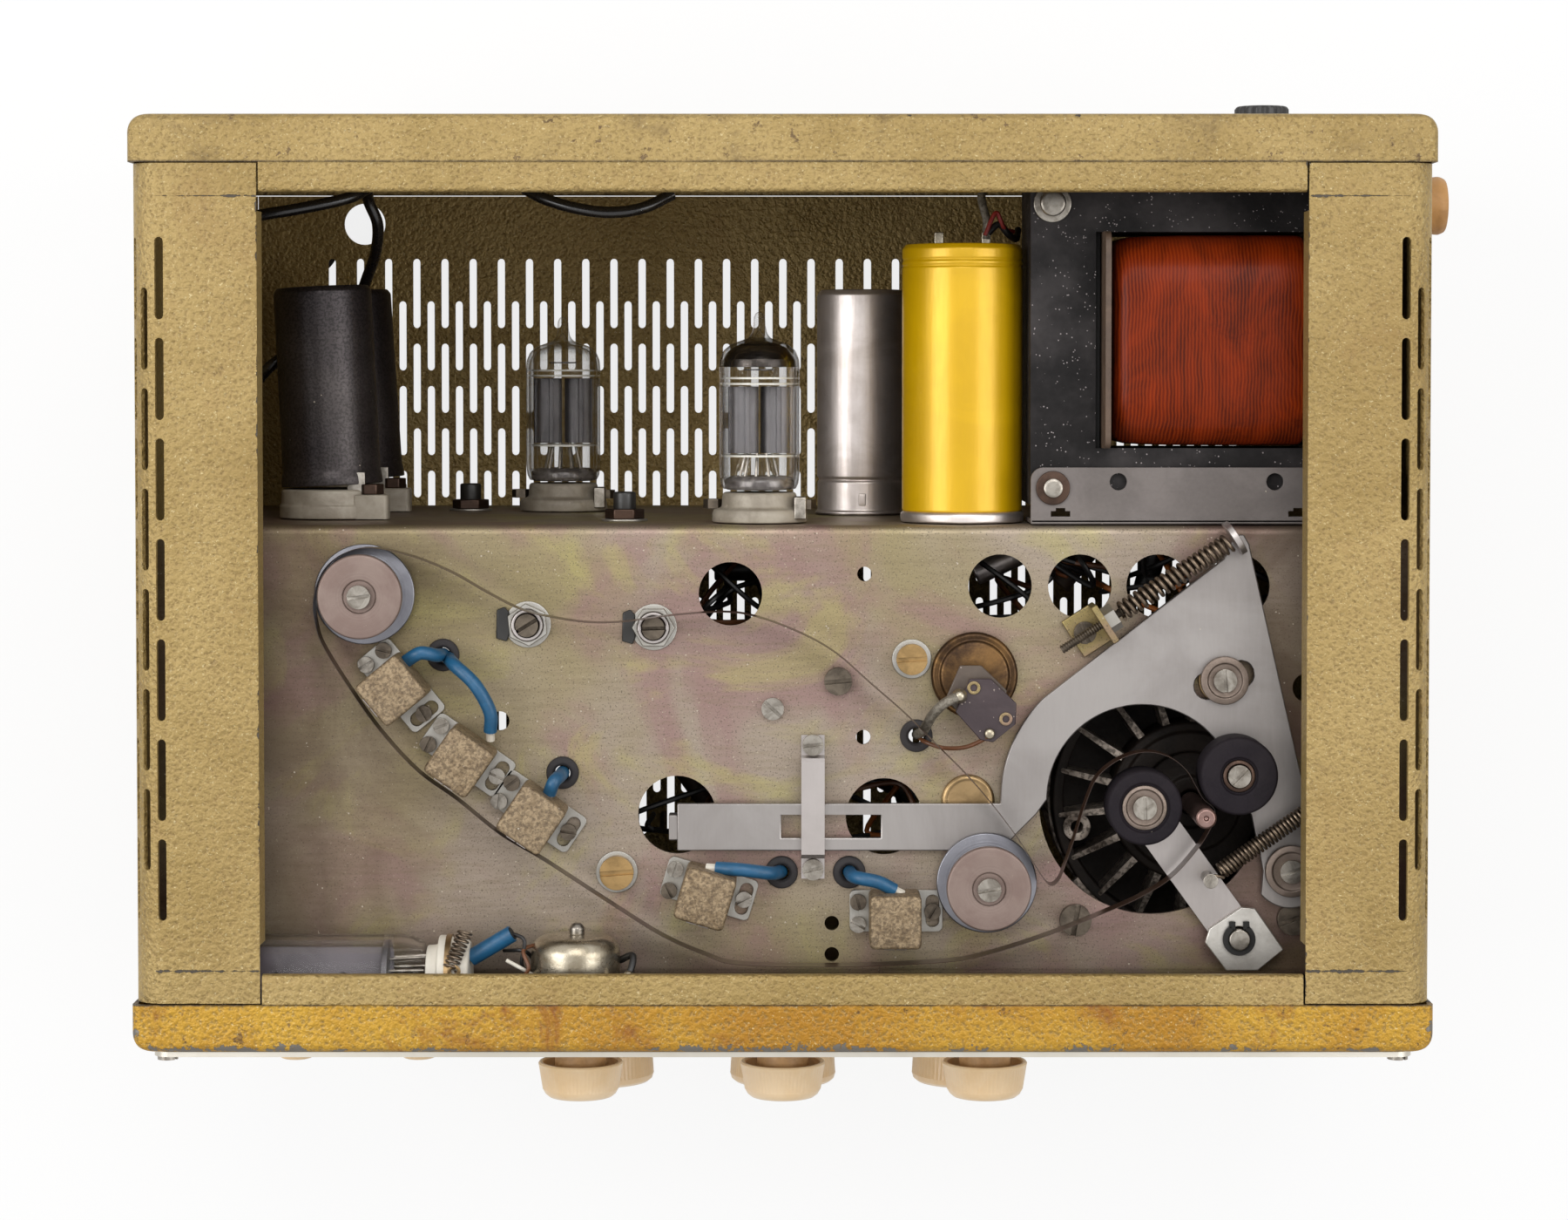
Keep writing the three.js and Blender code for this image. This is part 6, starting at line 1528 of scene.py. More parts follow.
@dataclass
class GuideRollers:
    """Two guide rollers on studs: a flange below, a core and a pinkish disc on top, round a slotted screw."""

    places: Table = (("left", -107.4, -3.7, 8.0), ("right", 52.5, -78.1, 9.0))
    low: float = 153.1
    top: float = 166.0

    def build(self) -> None:
        """Both rollers and their studs."""
        for side, x, y, slot in self.places:
            body = f"{side}_roller"
            flange = softened([(2.6, 154.0), (2.6, self.low), (12.9, self.low), (12.9, self.low + 1.5),
                               (8.6, self.low + 1.6), (8.6, 163.2), (2.6, 163.2), (2.6, 154.0)], 0.35)
            lit = Finish(f"roller_flange_{side}", "roller_metal", "#87878d", "#66656c", 60, 0.6, 0.33, 0.08, 0.9,
                         centre=(x, y, 0), bump=0.00002, dust=0.12)
            build(f"{side}_roller_core", revolve(flange, 72).moved(x, y), lit, body, stands_for=[body])
            cap = softened([(2.6, 164.0), (2.6, 163.3), (10.3, 163.3), (10.8, 163.8), (10.8, 165.6),
                            (10.4, self.top), (4.3, self.top), (4.1, 165.6), (2.6, 165.6), (2.6, 164.0)], 0.25)
            top = Finish(f"roller_top_{side}", "roller_metal", "#86756d", "#735f58", 120, 0.6, 0.5, 0.06, 0.5,
                         centre=(x, y, 0), bump=0.00002, dust=0.25, dust_tint="#8a7a70", dust_grain=1500)
            build(f"{side}_roller_disc", revolve(cap, 72).moved(x, y), top, body)
            stud = softened([(0, DECK), (4.6, DECK), (4.6, DECK + 2), (2.2, DECK + 2.1), (2.2, self.top + 0.2),
                             (0, self.top + 0.2)], 0.2)
            build(f"{side}_stud", revolve(stud, 32).moved(x, y), Look.STEEL)
            Screw(x, y, 3.0, slot, Look.SCREW, height=1.9).build(f"{side}_roller_screw", self.top + 0.2)


@dataclass
class Motor:
    """Cast drive motor under the deck with a ribbed face, and the bronze capstan on its shaft."""

    x: float = 107.3
    y: float = -59.7
    ribs: int = 18
    pillars: Table = ((75.7, -88.3), (131.9, -88.0), (113.6, -25.9))

    def build(self) -> None:
        """Housing, ribs, bosses and capstan."""
        hub = softened([(0, 127), (3.2, 127), (3.2, 133.2), (6.5, 133.2), (7.2, 132), (13.0, 132), (13.4, 133.2),
                        (18.2, 133.2),
                        (18.7, 132), (20.6, 131.8), (21, 131), (21, 120), (33, 119.6), (33, 127.1), (35.6, 127.5),
                        (36, 127), (36, 70), (33, 66), (0, 66)], 0.5)
        build("motor_body", revolve(hub, 96).moved(self.x, self.y), Look.CAST_DARK, stands_for=["motor_housing"])
        rib = loft([np.array(arc(34.0, 0, 1.0, -90, 90, 6) + arc(19.5, 0, 1.5, 90, 270, 6)),
                    np.array(arc(34.0, 0, 0.6, -90, 90, 6) + arc(19.5, 0, 1.0, 90, 270, 6))], [119.6, 127.6])
        lean = rib.points.copy()
        lean[:, 2] += np.where(lean[:, 2] > 124, (34.0 - lean[:, 0]) * 0.22, 0)
        rib = Skin(lean, rib.quads, rib.tris)
        ribs = joined([rib.turned(7 + 360 / self.ribs * k) for k in range(self.ribs)])
        build("motor_ribs", ribs.moved(self.x, self.y), Look.CAST)
        boss = collar(1.6, 3.7, 119.6, 128.4).moved(30.4, 0)
        bosses = joined([boss.turned(a) for a in (193.7, 73.7, 313.7)])
        build("motor_bosses", bosses.moved(self.x, self.y), Look.CAST)
        fins = fluted([(0, 90, 0), (36.6, 90, 0), (36.8, 92, 0.9), (36.8, 116, 0.9), (36.6, 118, 0), (0, 118, 0)],
                      36, 216)
        build("motor_fins", fins.moved(self.x, self.y), Look.CAST, sharp=60)
        for i, (px, py) in enumerate(self.pillars, 1):
            angle = np.degrees(np.arctan2(py - self.y, px - self.x))
            reach = np.hypot(px - self.x, py - self.y)
            arm = prism([(34, -4.4), (reach, -4.0), (reach, 4.0), (34, 4.4)], 123.6, 127.3)
            arm = arm.turned(angle).moved(self.x, self.y)
            build(f"motor_arm_{i}", arm + drum(4.1, 123.5, 147.5).moved(px, py), Look.CAST, bevel=0.3)
        shaft = softened([(0, 133.4), (2.7, 133.4), (2.7, 168.4), (2.1, 169.0), (0.7, 169.0), (0.5, 168.3),
                          (0, 168.2)], 0.2)
        build("capstan_shaft", revolve(shaft, 48).moved(self.x, self.y), Look.CAPSTAN, "capstan",
              stands_for=["capstan"])


@dataclass
class PinchLever:
    """Long flat lever with its arch round the motor, second rubber roller, threaded rod, spring and bracket."""

    pivot: tuple[float, float] = (130.91, -75.1)
    arch: tuple[float, float] = (92.5, -56.7)
    tip: tuple[float, float] = (116.9, 11.39)
    bush: tuple[float, float] = (113.6, -25.9)
    roller: tuple[float, float] = (116.11, -49.41)
    bracket: tuple[float, float] = (81.53, -11.39)
    rod_height: float = 156.4

    def build(self) -> None:
        """Plate, bushes, roller, rod, spring and bracket."""
        build("lever_plate", self.plate(), Look.LEVER, "pinch_lever", stands_for=["pinch_lever"], bevel=0.3)
        tab = prism([(-29.4, -67.4), (-27.1, -67.4), (-27.1, -60.8), (-29.4, -60.8)], 146.5, 152.2)
        build("lever_tab", tab, Look.LEVER, "pinch_lever", bevel=0.3)
        for name, (x, y), radius, turn in (("pivot", self.pivot, 6.7, 20), ("slide", self.bush, 6.2, 95)):
            stem = softened([(0, DECK), (6.4, DECK), (6.4, 150.5), (3.0, 150.6), (3.0, 153.1), (0, 153.1)], 0.2)
            build(f"{name}_stem", revolve(stem, 40).moved(x, y), Look.BRONZE)
            ring_skin = softened([(2.8, 154.0), (2.8, 153.1), (radius, 153.1), (radius, 155.0),
                                  (radius - 1.6, 155.3), (radius - 1.9, 154.8), (2.8, 154.8), (2.8, 154.0)], 0.25)
            build(f"{name}_bush", revolve(ring_skin, 56).moved(x, y), Look.BUSH)
            Screw(x, y, 3.0, turn, Look.SCREW, height=1.6).build(f"{name}_screw", 154.4)
        rubber_roller("lever_roller", *self.roller, 9.95, 4.6, 2.9, 45, Look.BRONZE_DARK)
        self.rod()

    def plate(self) -> Skin:
        """Outline of lines and arcs: tip, right edge, pivot, branch, inner arch, arm and outer arch."""
        meet = np.degrees(np.arcsin((-57.8 - self.arch[1]) / 36.4))
        outline = [(113.3, 5.3), (116.3, 11.3), (118.55, 11.5), (119.9, 9.1), (133.5, -50.6),
                   *arc(*self.pivot, 9.8, 40, -140, 24), (123.9, -75.2), (120.8, -60.6),
                   *arc(*self.arch, 24.4, 0, 180, 48),
                   (65.3, -60.6), (60.5, -65.4), (56.4, -70.0), (-27.2, -70.0), (-27.2, -57.8),
                   *arc(*self.arch, 36.4, 180 - meet, 134, 20)]
        window = [(-0.4, -60.7), (25.3, -60.7), (25.3, -66.7), (-0.4, -66.7)]
        lean = np.degrees(np.arctan2(self.bush[1] - self.pivot[1], self.bush[0] - self.pivot[0])) - 90
        slot = stadium(*self.bush, 16, 6.8, lean, 8)
        return prism(outline, LEVER_LOW, LEVER_TOP, [window, ring(*self.pivot, 4.6, 32), slot])

    def rod(self) -> None:
        """Threaded rod from the lever's lug through the bracket, with the spring between."""
        start, end = np.array([*self.bracket, self.rod_height]), np.array([*self.tip, self.rod_height])
        way = (end - start) / np.linalg.norm(end - start)
        turn = float(np.degrees(np.arctan2(way[1], way[0])))
        tail, pitch, threads = -12, 0.72, 60
        thread = [(0, tail)]
        for k in range(threads):
            thread += [(0.95, tail + pitch * k), (1.2, tail + pitch * k + pitch / 2)]
        thread.append((0, tail + pitch * threads))
        build("spring_rod", revolve_x(thread, 20).turned(turn).moved(*start), Look.DARK_SCREW, "pinch_lever")
        half, rise = 4.6, self.rod_height + 4.2
        outline = [(-half, LEVER_TOP - 0.4), (half, LEVER_TOP - 0.4), *arc(0, rise - half, half, 0, 180, 14)]
        lug = sideways(prism(outline, -0.8, 0.8)).turned(turn).moved(*(end[:2] - way[:2] * 1.2))
        build("rod_lug", lug, Look.STEEL, "pinch_lever", bevel=0.2)
        coil = helix(start + way * 6.0, end - way * 3.2, 2.25, 20, 20)
        build("lever_coil", wire(coil, 0.52, 10), Look.SPRING, stands_for=["lever_spring"])
        build("rod_nut", sideways(hexagon(3.6, 1.6, 4.6)).turned(turn).moved(*start), Look.ZINC)
        upright = prism([(0, -5.5), (1.6, -5.5), (1.6, 5.5), (0, 5.5)], ON_DECK, self.rod_height + 5.4)
        base = prism([(-8, -5.5), (1.6, -5.5), (1.6, 5.5), (-8, 5.5)], ON_DECK, DECK + 1.9,
                     [ring(-4.2, 0, 2.2, 24)])
        build("spring_bracket", (upright + base).turned(turn).moved(*self.bracket), Look.CHROMATE_SMALL,
              stands_for=["lever_bracket"], bevel=0.3)
        spot = start[:2] - way[:2] * 4.4
        Screw(spot[0], spot[1], 2.9, turn + 80, Look.DARK_SCREW, height=1.5).build("bracket_screw", DECK + 1.9)


def rubber_roller(name: str, x: float, y: float, radius: float, hub: float, screw: float, slot: float,
                  metal: Finish) -> None:
    """Rubber tyre on a turned hub with a slotted screw.

    Args:
        name: CAD node and body that it stands for.
        x: place of the axis.
        y: place of the axis.
        radius: of the tyre.
        hub: radius of the metal seen inside the tyre.
        screw: radius of the screw's head.
        slot: turn of its slot.
        metal: finish of the hub.
    """
    on_lever = name == "lever_roller"
    low, top = (153.8 if on_lever else 153.1), 165.1
    tyre = softened([(hub - 0.5, 160), (hub - 0.5, low), (radius - 0.5, low), (radius, low + 0.7),
                     (radius, top - 0.7),
                     (radius - 0.5, top), (hub + 0.3, top), (hub, top - 0.8), (hub - 0.5, top - 0.9),
                     (hub - 0.5, 160)], 0.3)
    build(f"{name}_tyre", revolve(tyre, 72).moved(x, y), Look.RUBBER, name, stands_for=[name])
    rim = softened([(2.0, 160), (2.0, low + 0.2), (hub - 0.5, low + 0.2), (hub - 0.5, top - 0.5),
                    (hub - 1.4, top - 0.2), (hub - 1.7, top - 0.9), (2.0, top - 0.9), (2.0, 160)], 0.2)
    build(f"{name}_hub", revolve(rim, 56).moved(x, y), metal, name)
    arm = "pinch_lever" if on_lever else "pinch_arm"
    Screw(x, y, screw, slot, Look.SCREW, height=1.4).build(f"{name}_screw", top - 0.7, arm)


@dataclass
class PinchArm:
    """Sprung arm with the first rubber roller, its pin with a clip, and the tension spring to the right wall."""

    pivot: tuple[float, float] = (117.5, -92.6)
    roller: tuple[float, float] = (92.1, -57.49)
    post: tuple[float, float] = (109.29, -76.59)
    anchor: tuple[float, float] = (146.0, -51.01)

    def build(self) -> None:
        """Arm, end plate, pin, clip, roller and spring."""
        way = np.array(self.roller) - np.array(self.pivot)
        turn, reach = float(np.degrees(np.arctan2(way[1], way[0]))), float(np.hypot(*way))
        strip = prism([(0, -5.4), *arc(reach, 0, 5.4, -90, 90, 20), (0, 5.4)], LEVER_LOW, LEVER_TOP,
                      [ring(0, 0, 3.1, 24)])
        build("arm_strip", strip.turned(turn).moved(*self.pivot), Look.STEEL, "pinch_arm", stands_for=["pinch_arm"],
              bevel=0.25)
        end = [(0.6, 8.15), (4.17, 7.85), (11.6, -2.81), (4.9, -8.2), (-3.2, -8.2), (-8.7, -1.0), (-7.6, 2.6)]
        plate = prism(end, LEVER_TOP, LEVER_TOP + 1.3, [ring(0, 0, 3.2, 32)])
        build("arm_end_plate", plate.moved(*self.pivot), Look.ZINC_BRIGHT, "pinch_arm", bevel=0.25)
        pin = softened([(0, DECK), (4.2, DECK), (4.2, 150.5), (2.7, 150.6), (2.7, 156.4), (0, 156.4)], 0.3)
        build("arm_pin", revolve(pin, 36).moved(*self.pivot), Look.SCREW)
        clip = prism(arc(0, 0, 4.2, -58, 238, 30) + arc(0, 0, 2.75, 238, -58, 24), 154.4, 155.3)
        ears = prism([(-2.6, -4.6), (-1.0, -4.6), (-1.0, -2.4), (-2.6, -2.9)], 154.4, 155.3)
        clip_all = (clip + ears + ears.mirrored()).turned(180)
        build("arm_clip", clip_all.moved(*self.pivot), Look.DARK, bevel=0.15)
        post = softened([(0, LEVER_TOP), (1.5, LEVER_TOP), (1.5, 161.6), (1.9, 161.9), (1.9, 162.2), (0, 162.2)],
                        0.2)
        build("arm_post", revolve(post, 24).moved(*self.post), Look.SCREW, "pinch_arm")
        rubber_roller("pinch_roller", *self.roller, 9.6, 6.2, 3.0, 92, Look.BUSH)
        self.spring()

    def spring(self) -> None:
        """Close-wound spring, held by a post on the deck."""
        height = 158.0
        start, end = np.array([*self.post, height]), np.array([*self.anchor, height])
        way = (end - start) / np.linalg.norm(end - start)
        body = helix(start + way * 3.4, end - way * 4.0, 1.9, 34, 18)
        line = np.vstack([[start + way * 1.6], body, [end - way * 2.0]])
        build("arm_coil", wire(line, 0.42, 8), Look.SPRING, stands_for=["arm_spring"])
        build("spring_anchor", drum(1.8, DECK, 160.5, 0.3, 24).moved(*self.anchor), Look.SCREW)


@dataclass
class StrapBridge:
    """Narrow bent strap over the lever's long arm, held by two screws."""

    x: float = 7.79
    back: float = -46.9
    front: float = -70.9

    def build(self) -> None:
        """Strap and screws."""
        low, high, t = ON_DECK, 154.4, 1.2
        profile = [(self.front - 6.6, low + t), (self.front - 1.4, low + t), (self.front - 0.6, low + t + 0.6),
                   (self.front - 0.9, high - 0.7), (self.front + 0.1, high), (self.back - 0.1, high),
                   (self.back + 0.9, high - 0.7), (self.back + 0.6, low + t + 0.6), (self.back + 1.4, low + t),
                   (self.back + 6.6, low + t)]
        place, at, length = bent_line(profile, "x")
        creases = [((u, self.x - 3), (u, self.x + 3)) for u in at[1:-1]]
        outline = [(0, self.x - 3), (length, self.x - 3), (length, self.x + 3), (0, self.x + 3)]
        strap = sheet(outline, [], t, place, creases)
        build("strap", strap, Look.STEEL, stands_for=["strap_bridge"])
        for i, y in enumerate((self.back + 4.1, self.front - 4.1), 1):
            Screw(self.x, y, 2.75, 7 * i, Look.SCREW, height=1.9).build(f"strap_screw_{i}", low + t)


@dataclass
class EraseMagnet:
    """Domed disc with two dusty laminate plates over it, eyelets, and two leads to the grommet."""

    dome: tuple[float, float] = (49.41, -24.8)
    eyelets: Table = ((48.86, -27.37), (57.07, -35.37))

    def build(self) -> None:
        """Dome, plates, eyelets and leads."""
        low = ON_DECK
        dish = softened([(0, low), (10.9, low), (11.2, low + 0.6), (11.2, low + 2.2), (10.4, low + 2.9),
                         (9.2, low + 2.6), (8.6, low + 3.4), (4.0, low + 4.1), (0, low + 4.2)], 0.5)
        build("magnet_dome", revolve(dish, 72).moved(*self.dome), Look.DOME, stands_for=["erase_magnet"])
        plate = [(44.2, -33.6), (47.8, -25.1), (53.3, -25.1), (59.8, -31.4), (59.6, -36.7), (53.8, -41.4),
                 (50.5, -40.7)]
        build("laminate_upper", prism(plate, 157.4, 158.8), Look.PHENOLIC, bevel=0.25)
        build("laminate_lower", prism(plate, 154.4, 155.8).moved(-2.36, 3.15), Look.PHENOLIC_CLEAR, bevel=0.25)
        for i, (x, y) in enumerate(self.eyelets, 1):
            build(f"eyelet_{i}", collar(0.9, 1.7, low, 159.3).moved(x, y), Look.CHROMATE_SMALL)
        build("braid",
              tube([(44.6, -29.6, 160.0), (41.2, -31.2, 161.0), (38.4, -34.4, 158.0), (36.2, -38.8, 153.5),
                    (34.6, -40.5, 147.5)], 1.3, 12, 10), Look.GREY_LEAD)
        blob = softened([(0, 158.6), (1.9, 158.7), (2.0, 159.8), (1.0, 161.2), (0, 161.4)], 0.6)
        build("solder_blob", revolve(blob, 24).moved(45.2, -29.4), Look.TIN)
        build("brown_lead",
              tube([(34.9, -41.0, 147.5), (37.0, -42.0, 152.5), (41.5, -43.3, 154.0), (47.0, -42.9, 155.5),
                    (51.6, -40.6, 158.0), (52.8, -39.2, 159.3)], 0.55, 10, 10), Look.BROWN_LEAD)
        foot = softened([(0, 158.6), (1.5, 158.7), (1.3, 160.0), (0, 160.3)], 0.5)
        build("solder_foot", revolve(foot, 24).moved(52.9, -39.1), Look.TIN)


@dataclass
class TapeLoop:
    """The endless tape, a thin ribbon on edge that runs through listed points and closes on itself."""

    low: float = 154.9
    width: float = 6.35
    thickness: float = 0.12
    route: Table = (
        (-119.6, -4.6), (-119.2, -10.6), (-117.2, -16.6), (-110.4, -27.6), (-102.8, -38.3), (-93.2, -48.7),
        (-83.2, -56),
        (-72.1, -64.9), (-60.9, -71.6), (-44.2, -82.5), (-30.8, -90.9), (-19.7, -95.8), (-10.8, -98.2),
        (14.8, -98.7),
        (40.4, -97.6), (51.5, -95.8), (67.1, -90.9), (82.7, -84.7), (91.6, -80.7), (99.4, -75.8), (106, -68.5),
        (109.4, -63), (110.35, -60.6), (110.3, -58.6), (109.4, -57.3), (107.4, -55.6), (105.4, -52.2), (103, -48.2),
        (98.5, -44.8), (92.5, -43.6), (86, -45.5), (80.4, -50), (77.3, -57), (74.9, -64.6), (72.2, -72.6),
        (70.8, -76.2),
        (69, -77.8), (67.2, -76.8), (64.3, -72.4), (60.5, -66.4), (53.8, -57.5), (47.1, -49.7), (39.3, -41.9),
        (31.5, -34.1), (22.6, -26.3), (13.7, -18.5), (4.8, -13.4), (-6.3, -9.2), (-15.2, -7.9), (-28.6, -8.8),
        (-39.7, -10.3), (-48.6, -10.6), (-57.5, -9.5), (-66.4, -7.4), (-75.3, -3), (-84.2, 2.1), (-93.2, 5.9),
        (-101.6, 8.1), (-107.6, 8.4), (-113.2, 6.4), (-117.4, 2.2))

    def build(self) -> None:
        """Ribbon of four corners carried round the route, square to it."""
        way = spline(self.route, 5, closed=True)
        along = np.roll(way, -1, axis=0) - np.roll(way, 1, axis=0)
        along /= np.linalg.norm(along, axis=1, keepdims=True)
        beside = np.column_stack([-along[:, 1], along[:, 0]]) * self.thickness / 2
        high = self.low + self.width
        corners = [(1, self.low), (1, high), (-1, high), (-1, self.low)]
        rows = np.stack([np.column_stack([way + side * beside, np.full(len(way), z)]) for side, z in corners],
                        axis=1)
        ribbon = grid_skin(np.concatenate([rows, rows[:1]]))
        build("tape", ribbon, Look.TAPE, stands_for=["tape_loop"])


@dataclass
class Capacitors:
    """Silver can and yellow can that stand on the shelf."""

    silver: tuple[float, float] = (22.1, 76.0)
    yellow: tuple[float, float] = (47.1, 131.0)

    def build(self) -> None:
        """Both cans with their rims, beads and terminals."""
        x, z = self.silver
        low = SEAT
        can = softened([(0, low), (12.9, low), (12.9, low + 0.8), (12.45, low + 1.1), (12.45, 23.0), (11.9, 23.7),
                        (12.6, 24.4), (12.6, 74.6), (11.6, 76.0), (10.7, 76.1), (10.3, 75.5), (0, 75.4)], 0.35)
        build("silver_body", revolve_y(can, 72).moved(x, 0, z), Look.SILVER, stands_for=["silver_can"])
        build("silver_rim", revolve_y([(0, low - 0.1), (13.1, low - 0.1), (13.1, low + 0.3), (0, low + 0.3)],
                                      64).moved(x, 0, z), Look.DARK_SCREW)
        notch = soft_block(1.0, 1.7, 0, 0.35, 0.4, 0.2)
        build("silver_notch", notch.moved(x - 0.3, 18.3, z + 12.35), Look.SILVER)
        x, z = self.yellow
        foot = softened([(0, low), (16.1, low), (16.2, 16.3), (15.4, 17.0), (0, 17.0)], 0.5)
        build("yellow_foot", revolve_y(foot, 72).moved(x, 0, z), Look.SILVER)
        sleeve = softened([(0, 16.9), (15.5, 16.9), (15.75, 17.2), (15.75, 80.4), (15.45, 80.9), (15.75, 81.4),
                           (15.75, 82.0), (15.45, 82.5),
                           (15.75, 83.0), (15.75, 85.4), (14.9, 86.6), (14.0, 86.7), (13.6, 86.1), (0, 86.0)], 0.3)
        build("yellow_sleeve", revolve_y(sleeve, 80).moved(x, 0, z), Look.YELLOW, stands_for=["yellow_can"])
        build("yellow_lid", revolve_y([(0, 85.9), (13.5, 85.9), (13.5, 86.3), (0, 86.3)], 48).moved(x, 0, z),
              Look.CHEEK)
        tag = raised(soft_block(1.2, 0.5, 86.2, 90.0, 0.3, 0.3))
        build("yellow_tag_1", tag.moved(x - 6.2, 0, z), Look.TIN)
        build("yellow_tag_2", tag.moved(x + 6.2, 0, z), Look.TIN)
        build("tag_lead_1",
              tube([(x + 6.2, 88.0, z), (x + 6.4, 93.0, z - 1), (x + 5.2, 99.0, z - 4), (x + 6.5, 103.0, z - 8)],
                   1.1, 12, 8), Look.GREY_LEAD)
        build("tag_lead_2",
              tube([(x + 6.6, 89.5, z), (x + 9.6, 92.0, z - 1), (x + 12.2, 89.4, z - 2), (x + 14.4, 88.4, z - 5),
                    (x + 15.2, 91, z - 10)], 0.9, 12, 8), Look.WIRE)
        build("tag_lead_3",
              tube([(x + 5.9, 89.0, z + 0.6), (x + 8.8, 95.0, z), (x + 11.0, 91.0, z - 1), (x + 13.6, 90.2, z - 4)],
                   0.6, 10, 8), Look.RED_LEAD)


@dataclass
class OnShelf:
    """Something that stands on the shelf, drawn about Y, at x across and z up the shelf."""

    index: int
    x: float
    z: float

    def put(self, name: str, skin: Skin, finish: Finish, **more: object) -> None:
        """Builds a piece of it, numbered as it is and moved to its place."""
        build(f"{name}_{self.index}", skin.moved(self.x, 0, self.z), finish, **more)


@dataclass
class Valve(OnShelf):
    """Miniature valve: blown envelope with a tip, glass foot, anodes between mica discs, and its socket."""

    anode_low: float
    anode_high: float
    getter: bool

    def build(self) -> None:
        """Envelope, internals and socket."""
        self.put("valve_glass", self.envelope(), Look.GLASS, stands_for=[f"valve_{self.index}"])
        foot = softened([(0, 22.5), (8.6, 22.5), (9.2, 23.3), (9.1, 25.2), (7.4, 26.2), (0, 25.8)], 0.5)
        self.put("valve_foot", revolve_y(foot, 48), Look.GLASS_FOOT)
        middle, half = (self.anode_low + self.anode_high) / 2, (self.anode_high - self.anode_low) / 2
        plate = raised(soft_block(3.5, 3.0, -half, half, 1.6, 0.2))
        fin = raised(soft_block(3.9, 0.35, -half, half, 0.2, 0.1))
        rib = raised(soft_block(0.7, 3.5, -half, half, 0.3, 0.1))
        for k, side in ((-1, "left"), (1, "right")):
            parts = plate.moved(k * 4.3, middle, 0) + fin.moved(k * 4.6, middle, 0) + rib.moved(k * 4.3, middle, 0)
            build(f"anode_{self.index}_{side}", parts.turned(18, "y").moved(self.x, 0, self.z), Look.ANODE)
        mica = revolve_y([(0, -0.25), (8.9, -0.25), (8.9, 0.25), (0, 0.25)], 28)
        for k, y in enumerate((self.anode_low - 0.7, self.anode_high + 0.7, self.anode_high + 2.2)):
            build(f"mica_{self.index}_{k + 1}", mica.moved(self.x, y, self.z), Look.MICA)
        self.put("valve_rods", joined([self.rod(a) for a in range(20, 380, 40)]), Look.SCREW)
        if self.getter:
            cup = softened([(2.0, 61.3), (5.2, 60.6), (7.6, 59.2), (9.2, 56.6), (9.35, 54.6), (9.25, 54.6),
                            (9.05, 56.5), (7.5, 58.9), (5.1, 60.3), (2.0, 61.0), (2.0, 61.3)], 0.2)
            self.put("getter", revolve_y(cup, 48), Look.GETTER)
        band = revolve_y([(3.4, -0.2), (3.9, -0.2), (3.9, 0.2), (3.4, 0.2), (3.4, -0.2)], 28)
        self.put("getter_ring", band.moved(0, self.anode_high + 4.4, 0), Look.ANODE)
        self.socket()

    def envelope(self) -> Skin:
        """Bell of even thickness: the outside from the rim to the tip, and the inside back from the axis."""
        outside = [(9.4, 22.6), (10.2, 24.2), (10.5, 27.0), (10.5, 54.5), (10.35, 56.6), (9.4, 58.9), (7.4, 60.6),
                   (4.8, 61.5), (2.9, 62.2), (2.0, 63.4), (1.55, 65.6), (1.5, 67.6), (0.9, 68.8), (0, 69.0)]
        inside = [(0, 64.6), (0.9, 63.6), (1.9, 61.4), (4.4, 60.7), (6.9, 59.8), (8.6, 58.3), (9.6, 56.2),
                  (9.75, 54.4), (9.75, 27.2), (9.4, 24.8), (8.8, 23.2), (9.4, 22.6)]
        return revolve_y(softened(inside[:-1] + outside, 0.5), 64)

    def rod(self, angle: float) -> Skin:
        """Support wire from the foot to the anode.

        Args:
            angle: round the valve in degrees.

        Returns:
            The wire.
        """
        a = np.radians(angle)
        low = (5.4 * np.cos(a), 24.5, 5.4 * np.sin(a))
        high = (3.6 * np.cos(a), self.anode_low, 3.6 * np.sin(a))
        return tube([low, high], 0.35, 8, 3)

    def socket(self) -> None:
        """Moulded flange with an upper ring, a spring clip and two nuts."""
        flange = softened([(0, SEAT), (12.4, SEAT), (12.4, 16.2), (12.0, 17.4), (10.4, 17.8), (9.9, 18.2),
                           (9.7, 21.3), (9.2, 21.9), (0, 21.9)], 0.4)
        self.put("valve_socket", revolve_y(flange, 56), Look.SOCKET)
        nut = raised(hexagon(2.6, 0, 2.4))
        clip = raised(soft_block(1.6, 2.6, 0, 5.8, 0.4, 0.4))
        self.put("valve_nuts", nut.moved(-12.2, 17.6, -3) + nut.moved(12.2, 17.6, 3), Look.DARK_SCREW)
        self.put("valve_clip", clip.moved(10.6, SEAT + 1, 6.0), Look.SCREW, bevel=0.2)


